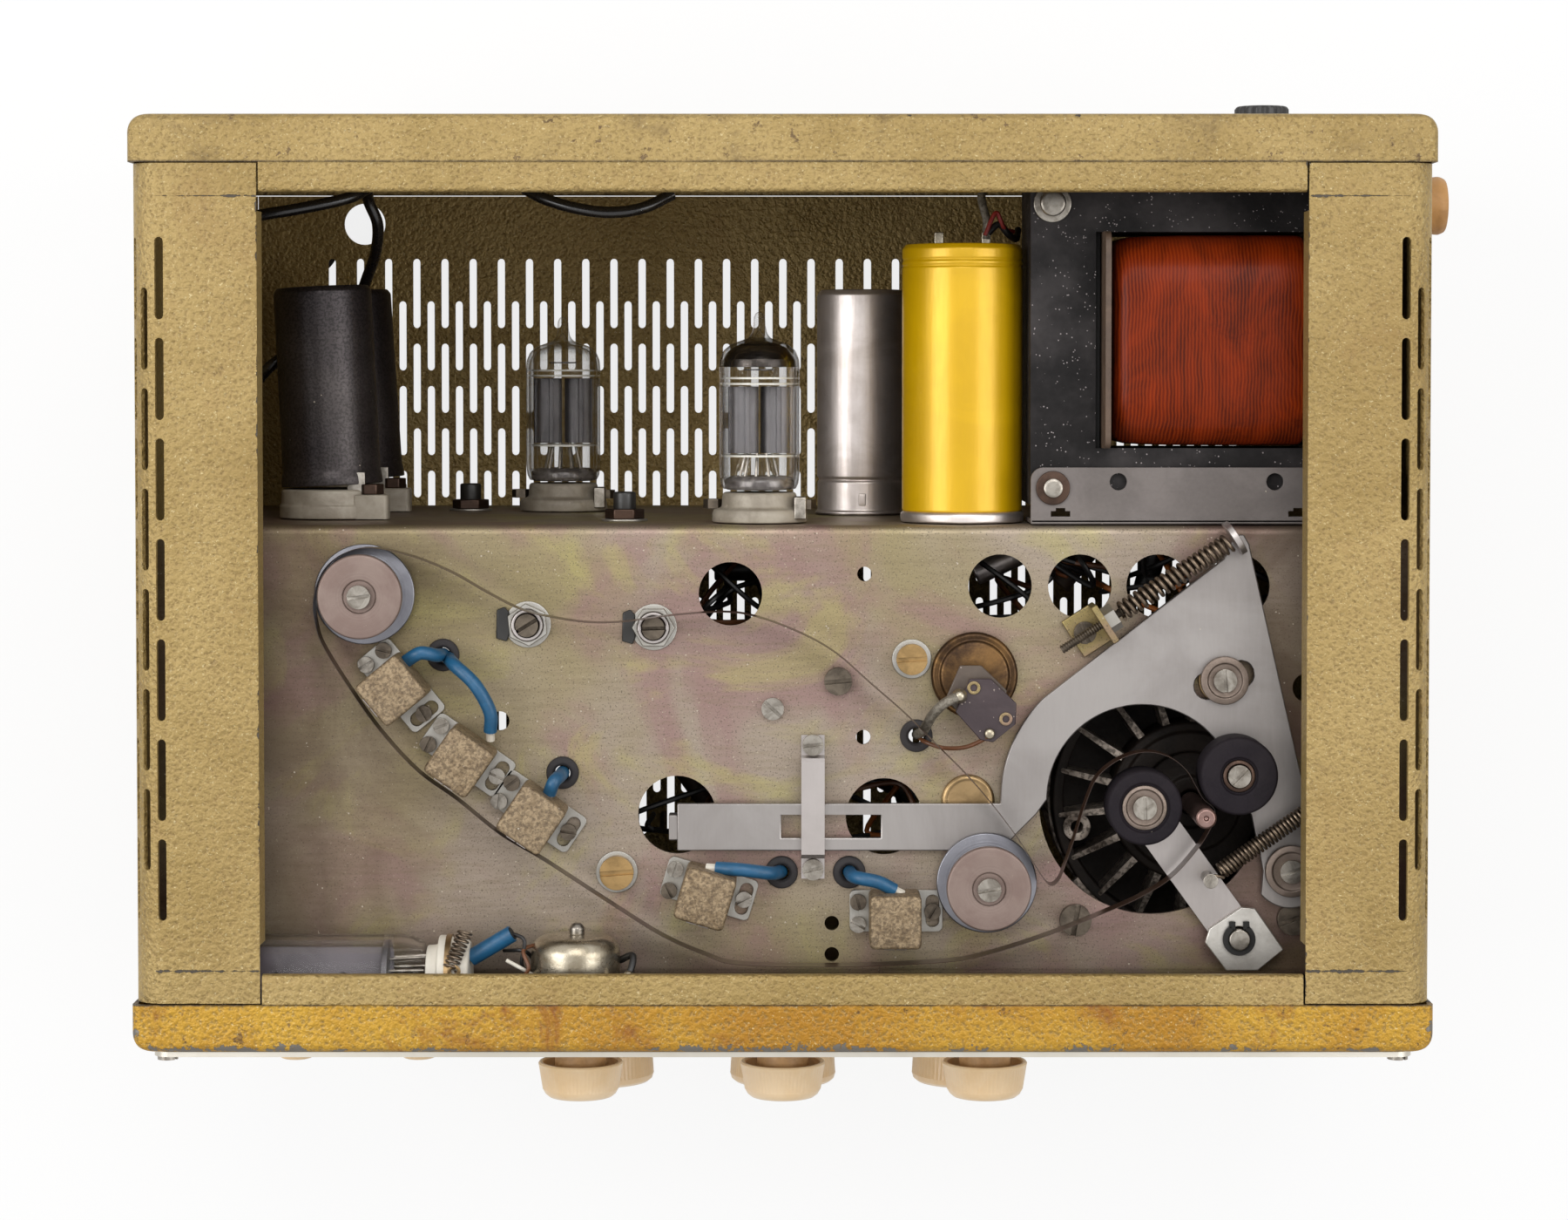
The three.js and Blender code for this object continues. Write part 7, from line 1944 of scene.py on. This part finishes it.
@dataclass
class Shield(OnShelf):
    """Black screening can over a valve, leaning in its pale socket."""

    lean: float

    def build(self) -> None:
        """Can, socket and the lug beside it."""
        profile = softened([(11.9, 40), (11.9, 23.0), (13.6, 23.0), (13.5, 25.0), (13.1, 27.0), (13.1, 75.0),
                            (12.2, 76.3), (6.3, 76.4), (6.0, 76.0),
                            (6.0, 75.3), (11.2, 75.2), (11.9, 74.4), (11.9, 40)], 0.4)
        can = revolve_y(profile, 72).moved(0, -18, 0).turned(self.lean).moved(0, 18, 0)
        self.put("shield_body", can, Look.SHIELD, stands_for=[f"shield_can_{self.index}"])
        base = softened([(0, SEAT), (14.4, SEAT), (14.4, 17.4), (13.9, 17.9), (13.8, 21.4), (13.3, 21.9),
                         (0, 21.9)], 0.4)
        self.put("shield_socket", revolve_y(base, 64), Look.SOCKET)
        lug = raised(soft_block(4.8, 3.6, SEAT, 20.6, 1.2, 0.6)).moved(11.2, 0, 8.6)
        self.put("shield_lug", lug, Look.SOCKET)
        nut = raised(hexagon(3.5, 20.6, 23.4)).moved(11.2, 0, 8.6)
        self.put("shield_lug_nut", nut, Look.BRONZE_DARK, bevel=0.3)
        clip = raised(soft_block(2.4, 1.0, 21.4, 26.6, 0.3, 0.3)).moved(7.4, 0, 9.6)
        self.put("shield_clip", clip, Look.SCREW)


@dataclass
class ShelfTrimmer(OnShelf):
    """Small adjuster on the shelf: a nut and a capped black shaft."""

    def build(self) -> None:
        """Nut, washer and cap."""
        self.put("shelf_washer", raised(collar(2.0, 6.1, SEAT - 0.3, SEAT + 0.3)), Look.ZINC)
        self.put("shelf_nut", raised(hexagon(5.3, SEAT + 0.3, 17.0)), Look.BRONZE_DARK, bevel=0.3)
        cap = softened([(0, 16.9), (3.0, 16.9), (3.0, 21.3), (2.4, 21.6), (1.9, 21.3), (1.8, 20.2), (0, 20.2)],
                       0.25)
        self.put("shelf_cap", revolve_y(cap, 32), Look.BLACK)


@dataclass
class Transformer:
    """Mains transformer: laminated core with a window, lacquered coil between cheeks, bracket on the shelf."""

    left: float = 64.0
    right: float = 155.0
    low: float = 19.0
    high: float = 104.0
    window: tuple[float, float, float, float] = (80.8, 138.2, 33.6, 89.4)
    near: float = 147.0
    far: float = 111.0
    bolt_height: float = 96.7
    foot_bolt_height: float = 23.4

    def build(self) -> None:
        """Core, coil, cheeks, bolts and bracket."""
        x0, x1, y0, y1 = self.window
        outline = [(self.left, self.low), (self.right, self.low), (self.right, self.high), (self.left, self.high)]
        hole = [(x0, y0), (x1, y0), (x1, y1), (x0, y1)]
        leaves = 24
        step = (self.near - self.far) / leaves
        stack = [prism(outline, self.far + step * k, self.far + step * (k + 0.86), [hole]) for k in range(leaves)]
        build("core_leaves", joined(stack), Look.LAMINATION, stands_for=["transformer_core"])
        heart = prism([(self.left + 0.4, self.low + 0.4), (self.right - 0.4, self.low + 0.4),
                       (self.right - 0.4, self.high - 0.4), (self.left + 0.4, self.high - 0.4)],
                      self.far + 0.4, self.near - 0.6,
                      [[(x0 - 0.4, y0 - 0.4), (x1 + 0.4, y0 - 0.4), (x1 + 0.4, y1 + 0.4), (x0 - 0.4, y1 + 0.4)]])
        build("core_heart", heart, Look.DARK)
        deep, high = (self.near + self.far) / 2, (y0 + y1) / 2
        coil = soft_block(27.4, 27.6, -25.0, 25.0, 13.0, 2.2, 1.6)
        sag = coil.points.copy()
        sag[:, :2] *= (1 + 0.02 * np.cos(sag[:, 2] / 25.3 * np.pi / 2))[:, None]
        coil = sideways(Skin(sag, coil.quads, coil.tris))
        build("coil_winding", coil.moved((x0 + x1) / 2 + 0.4, high, deep), Look.COIL,
              stands_for=["transformer_coil"], levels=2)
        cheek = sideways(soft_block(27.8, 28.4, -0.75, 0.75, 3.0, 0.2))
        for name, x in (("left", 83.2), ("right", 136.4)):
            build(f"cheek_{name}", cheek.moved(x, high, deep), Look.CHEEK)
        # Painted shade: a dark strip fills the gap between the core's window and the left cheek, so that the gap
        # shows shadow and no light through it.
        gap = prism([(x0 + 0.2, y0), (x0 + 1.4, y0), (x0 + 1.4, y1), (x0 + 0.2, y1)], 115, 143)
        build("window_shade_liner", gap, Look.DARK)
        # Painted shade: a dark plate behind the window blocks the light through the slots below, so that the gaps
        # round the coil show shadow.
        back = prism([(x0 + 2, y0 + 2), (x1 - 2, y0 + 2), (x1 - 2, y1 - 2), (x0 + 2, y1 - 2)], 109.4, 110.4)
        build("window_shade_back", back, Look.DARK)
        for i, x in enumerate((69.5, 149.3), 1):
            washer, bolt = drum(4.9, self.near, self.near + 0.9), drum(3.4, self.near + 0.9, self.near + 3.2, 0.9)
            build(f"core_bolt_washer_{i}", washer.moved(x, self.bolt_height), Look.SCREW)
            build(f"core_bolt_{i}", bolt.moved(x, self.bolt_height), Look.SCREW)
        self.bracket()

    def bracket(self) -> None:
        """Angle plate in front of the core's foot, with holes, two small slots and a bolt at each end."""
        z = self.near + 0.3
        plate = [(self.right, 14.5), (self.right, 28.7), *arc(self.left + 3.2, 25.5, 3.2, 90, 180, 6),
                 (self.left, 14.5)]
        holes = [ring(86.6, 25.0, 2.2, 24), ring(127.0, 25.0, 2.2, 24)]
        slots = [[(x - 2.5, 16.0), (x + 2.5, 16.0), (x + 2.5, 17.4), (x + 1.2, 17.4), (x + 1.2, 18.2),
                  (x - 1.2, 18.2), (x - 1.2, 17.4), (x - 2.5, 17.4)]
                 for x in (71.7, 133.0)]
        build("bracket_face", prism(plate, z, z + 1.4, holes + slots), Look.BRACKET,
              stands_for=["transformer_bracket"], bevel=0.25)
        foot = raised(prism([(self.left, 129), (self.right, 129), (self.right, z + 1.4), (self.left, z + 1.4)],
                            SEAT, SEAT + 1.2))
        build("bracket_foot", foot, Look.BRACKET, bevel=0.3)
        for i, x in enumerate((69.7, 149.3), 1):
            washer, bolt = drum(4.4, z + 1.4, z + 2.3), drum(2.5, z + 2.3, z + 3.4, 0.9)
            build(f"bracket_washer_{i}", washer.moved(x, self.foot_bolt_height), Look.BRONZE_DARK)
            build(f"bracket_bolt_{i}", bolt.moved(x, self.foot_bolt_height), Look.SCREW)


@dataclass
class Indicator:
    """Glass indicator tube on its side by the front sill, its socket, sleeved leads and a tin can control."""

    y: float = -103.0
    z: float = 160.2
    tube_rise: float = 1.7
    lead_rise: float = 3.2
    lean: float = -14.0

    def build(self) -> None:
        """Tube, socket, leads and can."""
        y, z = self.y + self.tube_rise, self.z
        outside = [(0, -146.4), (5.0, -146.2), (8.6, -145.0), (10.2, -142.8), (10.9, -140.0), (10.9, -97.5),
                   (10.5, -94.6), (9.2, -92.0), (8.6, -91.6)]
        inside = [(8.3, -92.4), (9.6, -95.0), (10.1, -98.0), (10.1, -139.8), (9.4, -142.2), (8.0, -144.2),
                  (4.8, -145.4), (0, -145.6)]
        build("indicator_glass", revolve_x(softened(outside + inside, 0.5), 64).moved(0, y, z), Look.GLASS,
              stands_for=["indicator_tube"])
        plate = soft_block(22.5, 7.2, -0.4, 0.4, 1.0, 0.2).turned(self.lean, "x")
        build("indicator_plate", plate.moved(-122.0, y + 0.5, z + 1.0), Look.TARGET)
        strip = soft_block(9.5, 3.6, -0.3, 0.3, 0.6, 0.1).turned(self.lean, "x")
        build("indicator_screen", strip.moved(-116.5, y - 3.4, z + 2.2), Look.SCREEN)
        dot = drum(0.75, 0, 0.9, 0.2, 14).turned(self.lean, "x")
        dots = [dot.moved(-138 + 8.6 * k, y - 0.6 + 1.2 * (k % 2), z + 1.4) for k in range(5)]
        build("indicator_dots", joined(dots), Look.DARK)
        end = revolve_x(softened([(0, -102.0), (9.3, -102.0), (9.5, -101.0), (9.5, -100.4), (0, -100.4)], 0.3), 48)
        build("indicator_mica", end.moved(0, y, z), Look.ANODE)
        pins = [tube([(x, r * np.cos(a), r * np.sin(a)) for x, r in ((-100.4, 5.0), (-91.4, 5.6))], 0.4, 8, 3)
                for a in np.radians(np.arange(20, 360, 45))]
        build("indicator_wires", joined(pins).moved(0, y, z), Look.SCREW)
        body = softened([(0, -90.9), (8.0, -90.9), (8.2, -88.4), (8.6, -88.0), (10.6, -87.8), (10.6, -84.6),
                         (9.4, -84.2), (9.4, -80.4), (8.8, -79.8), (0, -79.8)], 0.5)
        build("indicator_holder", revolve_x(body, 56).moved(0, y, z), Look.CERAMIC, stands_for=["indicator_socket"])
        strap = revolve_x([(9.5, -85.9), (10.9, -85.9), (10.9, -84.5), (9.5, -84.5), (9.5, -85.9)], 48)
        build("holder_strap", strap.moved(0, y, z), Look.BRONZE)
        eye = softened([(0.8, 0.4), (0.8, 0), (1.7, 0), (1.7, 0.8), (0.8, 0.8), (0.8, 0.4)], 0.2)
        build("holder_eye", revolve(eye, 24).moved(-83.2, y + 3.0, z + 10.0), Look.BRONZE)
        coil = helix(np.array([-84.4, y + 3.4, z + 9.6]), np.array([-80.6, y + 12.6, z + 7.4]), 1.7, 9, 18)
        build("holder_spring", wire(coil, 0.34, 8), Look.SPRING)
        self.leads()
        self.tin_can()

    def leads(self) -> None:
        """Two thick blue sleeves, and loose wires from them to the can."""
        y, z = self.y + self.lead_rise, self.z
        for i, (a, b) in enumerate([((-79.6, y + 3.6, z + 2.0), (-69.0, y + 10.0, z + 3.0)),
                                    ((-79.6, y - 2.4, z + 5.0), (-67.4, y - 2.2, z + 5.4))], 1):
            build(f"indicator_sleeve_{i}", tube([a, b], 2.2, 20, 4), Look.BLUE)
            tip = np.array(b) + (np.array(b) - np.array(a)) * 0.02
            build(f"indicator_sleeve_end_{i}", tube([b, tip], 1.7, 14, 2), Look.DARK)
        runs = [((-69.0, y + 10.0, z + 3.0), (-65.8, y + 8.4, z + 4.6), (-66.4, y + 2.0, z + 4.4),
                 (-62.8, y - 1.0, z + 1.0)),
                ((-67.6, y - 2.2, z + 5.4), (-64.6, y + 1.6, z + 7.0), (-66.0, y + 6.0, z + 5.0),
                 (-62.5, y + 7.0, z + 1.0)),
                ((-70.2, y + 3.6, z + 6.0), (-66.4, y + 1.8, z + 7.4), (-63.8, y - 0.6, z + 3.0)),
                ((-71.5, y + 5.0, z - 1.0), (-66.0, y + 5.5, z + 2.5), (-64.0, y + 2.6, z - 2.0))]
        for i, (route, finish) in enumerate(zip(runs, (Look.WIRE, Look.BROWN_LEAD, Look.CERAMIC, Look.WIRE)), 1):
            build(f"indicator_wire_{i}", tube(route, 0.5, 10, 10), finish)

    def tin_can(self) -> None:
        """Drawn can with a rounded back, a riveted stud, and dark leads round it."""
        x, y, z = -53.0, self.y, 159.8
        can = softened([(0, -112.0), (11.4, -112.0), (11.5, -96.0), (11.4, -93.6), (9.6, -91.0), (4.0, -90.4),
                        (0, -90.4)], 1.6)
        build("tin_body", revolve_y(can, 64).moved(x, 0, z), Look.TIN, stands_for=["tin_can"])
        stud = softened([(0, -90.6), (1.9, -90.6), (2.0, -88.6), (1.2, -87.6), (0.7, -87.4), (0, -87.7)], 0.4)
        build("tin_stud", revolve_y(stud, 28).moved(x + 0.4, 0, z + 1.0), Look.SCREW)
        build("tin_lead",
              tube([(-66, y - 4, z + 6), (-62, y - 8.4, z + 9.6), (-52, y - 9.0, z + 12.3),
                    (-43, y - 8.6, z + 10.4), (-38, y - 7.0, z + 5.0), (-36.6, y - 4, z - 4)], 1.1, 12, 8),
                    Look.WIRE)
        runs = [((-43, y - 3, z + 6), (-39.2, y + 3.0, z + 7), (-38.2, y + 7.6, z + 4), (-41.6, y + 6.0, z + 1)),
                ((-42, y - 6, z + 6), (-37.4, y - 1.0, z + 7.5), (-36.4, y + 2.6, z + 5), (-38.6, y - 2.0, z - 4)),
                ((-41.5, y + 1, z + 8), (-38.4, y - 2.4, z + 8), (-36.2, y - 5.6, z + 6), (-36.6, y - 8, z - 3))]
        for i, (route, finish) in enumerate(zip(runs, (Look.WIRE, Look.BRONZE_DARK, Look.WIRE)), 1):
            build(f"tin_wire_{i}", tube(route, 0.9, 12, 8), finish)
        blob = revolve_y(softened([(0, -1.8), (1.7, -1.2), (1.9, 0.8), (0.9, 2.2), (0, 2.4)], 0.5), 20)
        build("tin_solder", blob.moved(-39.2, y + 2.0, z + 7.4), Look.TIN)


@dataclass
class LooseWires:
    """Black mains leads along the rear wall."""

    runs: Table = (
        ((-113.0, 106.0, 86.0), (-114.6, 101.3, 80.0), (-112.4, 94.3, 76.0), (-113.6, 86.8, 70.0),
         (-117.4, 79.4, 60.0), (-121.0, 72.0, 52.0)),
        ((-152.0, 44.0, 70.0), (-146.5, 48.6, 84.0), (-141.0, 54.3, 90.0), (-136.0, 58.0, 88.0),
         (-131.0, 60.0, 80.0)),
        ((-154.0, 93.0, 100.0), (-141.4, 95.6, 102.0), (-130.0, 97.6, 101.0), (-117.8, 100.6, 97.0),
         (-112.0, 104.5, 90.0)),
        ((-70.0, 103.0, 96.0), (-64.6, 100.2, 99.0), (-56.0, 97.6, 101.0), (-47.0, 96.4, 102.0),
         (-38.0, 97.6, 101.0), (-30.0, 101.5, 97.0)),
    )

    def build(self) -> None:
        """Each lead as a smooth tube."""
        for i, run in enumerate(self.runs, 1):
            build(f"mains_lead_{i}", tube(run, 1.6, 16, 10), Look.CABLE)


@dataclass(frozen=True)
class Cup:
    """Sizes of a cup knob: where it starts and ends from the panel, its rim, tip and hub radii, and its ribs."""

    mouth: float
    end: float
    wide: float
    tip: float
    hub: float
    ribs: int
    depth: float


class Knob(Enum):
    """Kinds of cup knob on the panel."""

    SMALL = Cup(9.6, 19.0, 11.2, 9.9, 6.8, 64, 0.14)
    LARGE = Cup(8.0, 20.6, 13.7, 14.5, 8.6, 72, 0.16)


@dataclass
class FrontPanel:
    """Brushed panel with knobs, keys, jack and plug sockets, which shows its edge below the front cap."""

    half: float = 159.0
    low: float = 9.2
    high: float = 174.9
    face: float = -119.3
    upper: Table = ((-53.5, 129.0), (0.0, 129.0), (53.5, 129.0))
    lower: Table = ((-49.6, 99.0), (0.0, 99.0), (49.6, 99.0))
    slim_columns: tuple[float, float] = (-131.0, -98.0)
    slim_rows: tuple[float, float] = (112.0, 81.0)
    jacks: Table = ((-133.0, 25.0), (-99.0, 25.0), (97.0, 29.0))
    plugs: Table = ((132.0, 22.0), (132.0, 69.0))
    key_pitch: float = 18.3
    key_height: float = 77.0
    thickness: float = 1.3

    def put(self, name: str, skin: Skin, x: float, z: float, finish: Finish, body: str = "unit",
            **more: object) -> None:
        """Builds a piece that is drawn upright, laid towards the front and moved to its place on the panel."""
        build(name, forward(skin).moved(x, self.face, z), finish, body, **more)

    def build(self) -> None:
        """Panel and everything on it."""
        build("panel_sheet", self.plate(), Look.PANEL, stands_for=["front_panel"])
        for kind, places, size in (("small", self.upper, Knob.SMALL), ("large", self.lower, Knob.LARGE)):
            for i, (x, z) in enumerate(places, 1):
                self.knob(f"{kind}_knob_{i}", x, z, size)
        for i, x in enumerate(self.slim_columns):
            for j, z in enumerate(self.slim_rows):
                self.slim_knob(f"slim_knob_{2 * i + j + 1}", x, z)
        for i in range(4):
            self.put(f"key_cap_{i + 1}", soft_block(8.9, 5.0, -10.0, 6.0, 0.8, 1.4), (i - 1.5) * self.key_pitch,
                     self.key_height, Look.WHITE, f"key_{i + 1}", stands_for=[f"key_{i + 1}"])
        for i, (x, z) in enumerate([(-156, 169), (156, 169), (-156, 14), (156, 14)], 1):
            self.put(f"panel_screw_{i}", slotted_head(2.6, 0, 1.5, 0.8, 30 * i), x, z, Look.SCREW)
        for i, (x, z) in enumerate(self.jacks, 1):
            self.jack(i, x, z)
        for i, (x, z) in enumerate(self.plugs, 1):
            self.plug(i, x, z)
        self.behind()

    def plate(self) -> Skin:
        """Upright plate with rounded corners and all its holes."""
        middle, rise = (self.low + self.high) / 2, (self.high - self.low) / 2
        outline = rounded_box(self.half, rise, 4.0) + (0, middle)
        holes = [ring(x, z, 3.8, 24) for x, z in (*self.upper, *self.lower)]
        holes += [ring(x, z, 3.8, 24) for x in self.slim_columns for z in self.slim_rows]
        holes += [ring(x, z, 5.2, 28) for x, z in self.jacks] + [ring(x, z, 7.6, 36) for x, z in self.plugs]
        holes.append([(-36.9, 71.6), (36.9, 71.6), (36.9, 82.4), (-36.9, 82.4)])
        return sheet(outline, holes, self.thickness,
                     lambda uv, depth: np.column_stack([uv[:, 0], self.face + depth, uv[:, 1]]))

    def knob(self, name: str, x: float, z: float, kind: Knob) -> None:
        """Cup with fine ribs, open towards the panel, on a hub with a metal shaft.

        Args:
            name: of its body and CAD node.
            x: of its axis.
            z: of its axis.
            kind: which size it has.
        """
        mouth, end, wide, tip, hub, ribs, depth = astuple(kind.value)
        wall = 1.3
        profile = [(wide - wall, (mouth + end) / 2, 0), (wide - wall, mouth + 0.3, 0),
                   (wide - wall + 0.3, mouth, 0), (wide - 0.3, mouth, 0),
                   (wide, mouth + 0.4, 0), (wide + (tip - wide) * 0.1, mouth + 1.1, 0),
                   (wide + (tip - wide) * 0.12, mouth + 1.3, depth),
                   (wide + (tip - wide) * 0.8, end - 2.6, depth), (wide + (tip - wide) * 0.84, end - 2.3, 0),
                   (tip - 0.5, end - 1.0, 0),
                   (tip - 1.4, end - 0.25, 0), (tip - 2.6, end, 0), (1.0, end - 0.1, 0), (0.0, end - 0.1, 0)]
        inner = [(0.0, end - 1.6, 0), (tip - wall - 1.4, end - 1.7, 0), (tip - wall - 0.2, end - 2.8, 0)]
        cup = fluted(inner + profile, ribs, ribs * 5)
        self.put(f"{name}_cup", cup, x, z, Look.CREAM, name, stands_for=[name])
        boss = softened([(0, 1.4), (hub - 0.6, 1.4), (hub, 2.0), (hub, end - 1.5), (0, end - 1.5)], 0.4)
        self.put(f"{name}_hub", revolve(boss, 48), x, z, Look.CREAM_SHADED, name)
        self.put(f"{name}_shaft", drum(3.0, -self.thickness, 1.6), x, z, Look.BRONZE, name)

    def slim_knob(self, name: str, x: float, z: float) -> None:
        """Small ribbed sleeve with a recessed end.

        Args:
            name: of its body and CAD node.
            x: of its axis.
            z: of its axis.
        """
        profile = [(0, 1.0, 0), (4.4, 1.0, 0), (4.6, 1.3, 0), (4.6, 1.6, 0.1), (4.5, 10.6, 0.1), (4.5, 11.0, 0),
                   (4.2, 11.8, 0), (3.6, 12.0, 0), (3.1, 11.7, 0), (3.0, 10.6, 0), (0, 10.6, 0)]
        self.put(f"{name}_sleeve", fluted(profile, 28, 140), x, z, Look.CREAM, name, stands_for=[name])
        self.put(f"{name}_shaft", drum(3.0, -self.thickness, 1.2), x, z, Look.BRONZE, name)

    def jack(self, index: int, x: float, z: float) -> None:
        """Washer, hexagon nut and threaded bush.

        Args:
            index: its number.
            x: of its axis.
            z: of its axis.
        """
        bush = softened([(3.3, 0), (3.3, -8.5), (4.9, -8.5), (4.9, 2.9), (3.3, 2.9), (3.3, 0)], 0.3)
        self.put(f"jack_washer_{index}", collar(4.8, 7.6, 0, 0.5), x, z, Look.ZINC)
        self.put(f"jack_nut_{index}", hexagon(6.6, 0.5, 2.3, 4.7, 15 * index), x, z, Look.SCREW, bevel=0.3)
        self.put(f"jack_bush_{index}", revolve(bush, 40), x, z, Look.SCREW)
        self.put(f"jack_body_{index}", drum(6.4, -11.6, -8.6), x, z, Look.BLACK)

    def plug(self, index: int, x: float, z: float) -> None:
        """Round plug socket: a lozenge flange with two screws, and an insulating insert with five sockets.

        Args:
            index: its number.
            x: of its axis.
            z: of its axis.
        """
        reach = 9.6
        outline = (arc(0, 0, 8.6, 55, 125, 8) + arc(-reach, 0, 2.7, 110, 250, 8) + arc(0, 0, 8.6, 235, 305, 8)
                   + arc(reach, 0, 2.7, -70, 70, 8))
        flange = prism(outline, 0.0, 1.2, [ring(0, 0, 6.6, 36)])
        self.put(f"plug_flange_{index}", flange, x, z, Look.ZINC, bevel=0.3)
        rim = softened([(6.2, 0), (6.2, -7.0), (7.2, -7.0), (7.2, 1.4), (6.2, 1.4), (6.2, 0)], 0.25)
        self.put(f"plug_shell_{index}", revolve(rim, 48), x, z, Look.SCREW)
        holes = [ring(3.7 * np.cos(a), 3.7 * np.sin(a), 0.8, 14) for a in np.radians((0, 45, 90, 135, 180))]
        self.put(f"plug_insert_{index}", prism(ring(0, 0, 6.1, 40), -9.8, -6.9, holes), x, z, Look.CHEEK)
        self.put(f"plug_back_{index}", drum(8.4, -10.9, -9.7), x, z, Look.BLACK)
        for k, side in ((-1, "left"), (1, "right")):
            head = slotted_head(1.9, 1.2, 2.2, 0.6, 20 + 50 * k)
            self.put(f"plug_screw_{index}_{side}", head, x + reach * k, z, Look.SCREW)

    def behind(self) -> None:
        """Potentiometers and the key switch between the panel and the chassis."""
        pots = [(x, z, 10.0) for x, z in (*self.upper, *self.lower)]
        pots += [(x, z, 7.5) for x in self.slim_columns for z in self.slim_rows]
        for i, (x, z, radius) in enumerate(pots, 1):
            body = softened([(3.6, -2.0), (3.6, -1.4), (radius, -1.4), (radius, -13.4), (0, -13.8), (0, -4.0),
                             (3.6, -4.0), (3.6, -2.0)], 0.4)
            self.put(f"potentiometer_{i}", revolve(body, 40), x, z, Look.TIN)
        frame = prism([(-38, 67), (38, 67), (38, 87), (-38, 87)], -15.2, -13.8)
        self.put("key_switch", frame, 0, 0, Look.CHEEK)
        cheek = forward(soft_block(0.8, 10, -13.9, -1.4, 0.2, 0.2)).moved(0, self.face, self.key_height)
        build("key_switch_cheeks", cheek.moved(-37.5, 0, 0) + cheek.moved(37.5, 0, 0), Look.CHEEK)


def main() -> None:
    """Builds the unit and its studio."""
    logging.basicConfig(level=logging.INFO, format="%(message)s")
    Studio().build()
    assemblies = (
        CaseShell(), Chassis(), Heads(), GuideRollers(), Motor(), PinchLever(), PinchArm(), StrapBridge(),
        EraseMagnet(), TapeLoop(),
        Capacitors(), Valve(1, -6.1, 134.0, 32.1, 49.5, True), Valve(2, -62.4, 53.0, 33.3, 51.6, False),
        Shield(1, -121.4, 105.0, 2.7), Shield(2, -121.3, 49.0, 3.6), ShelfTrimmer(1, -42.0, 121.0),
        ShelfTrimmer(2, -89.3, 47.0), Transformer(), Indicator(), LooseWires(), FrontPanel(),
    )
    for assembly in assemblies:
        assembly.build()
        LOG.info("%s done", type(assembly).__name__)


if __name__ == "__main__":
    main()
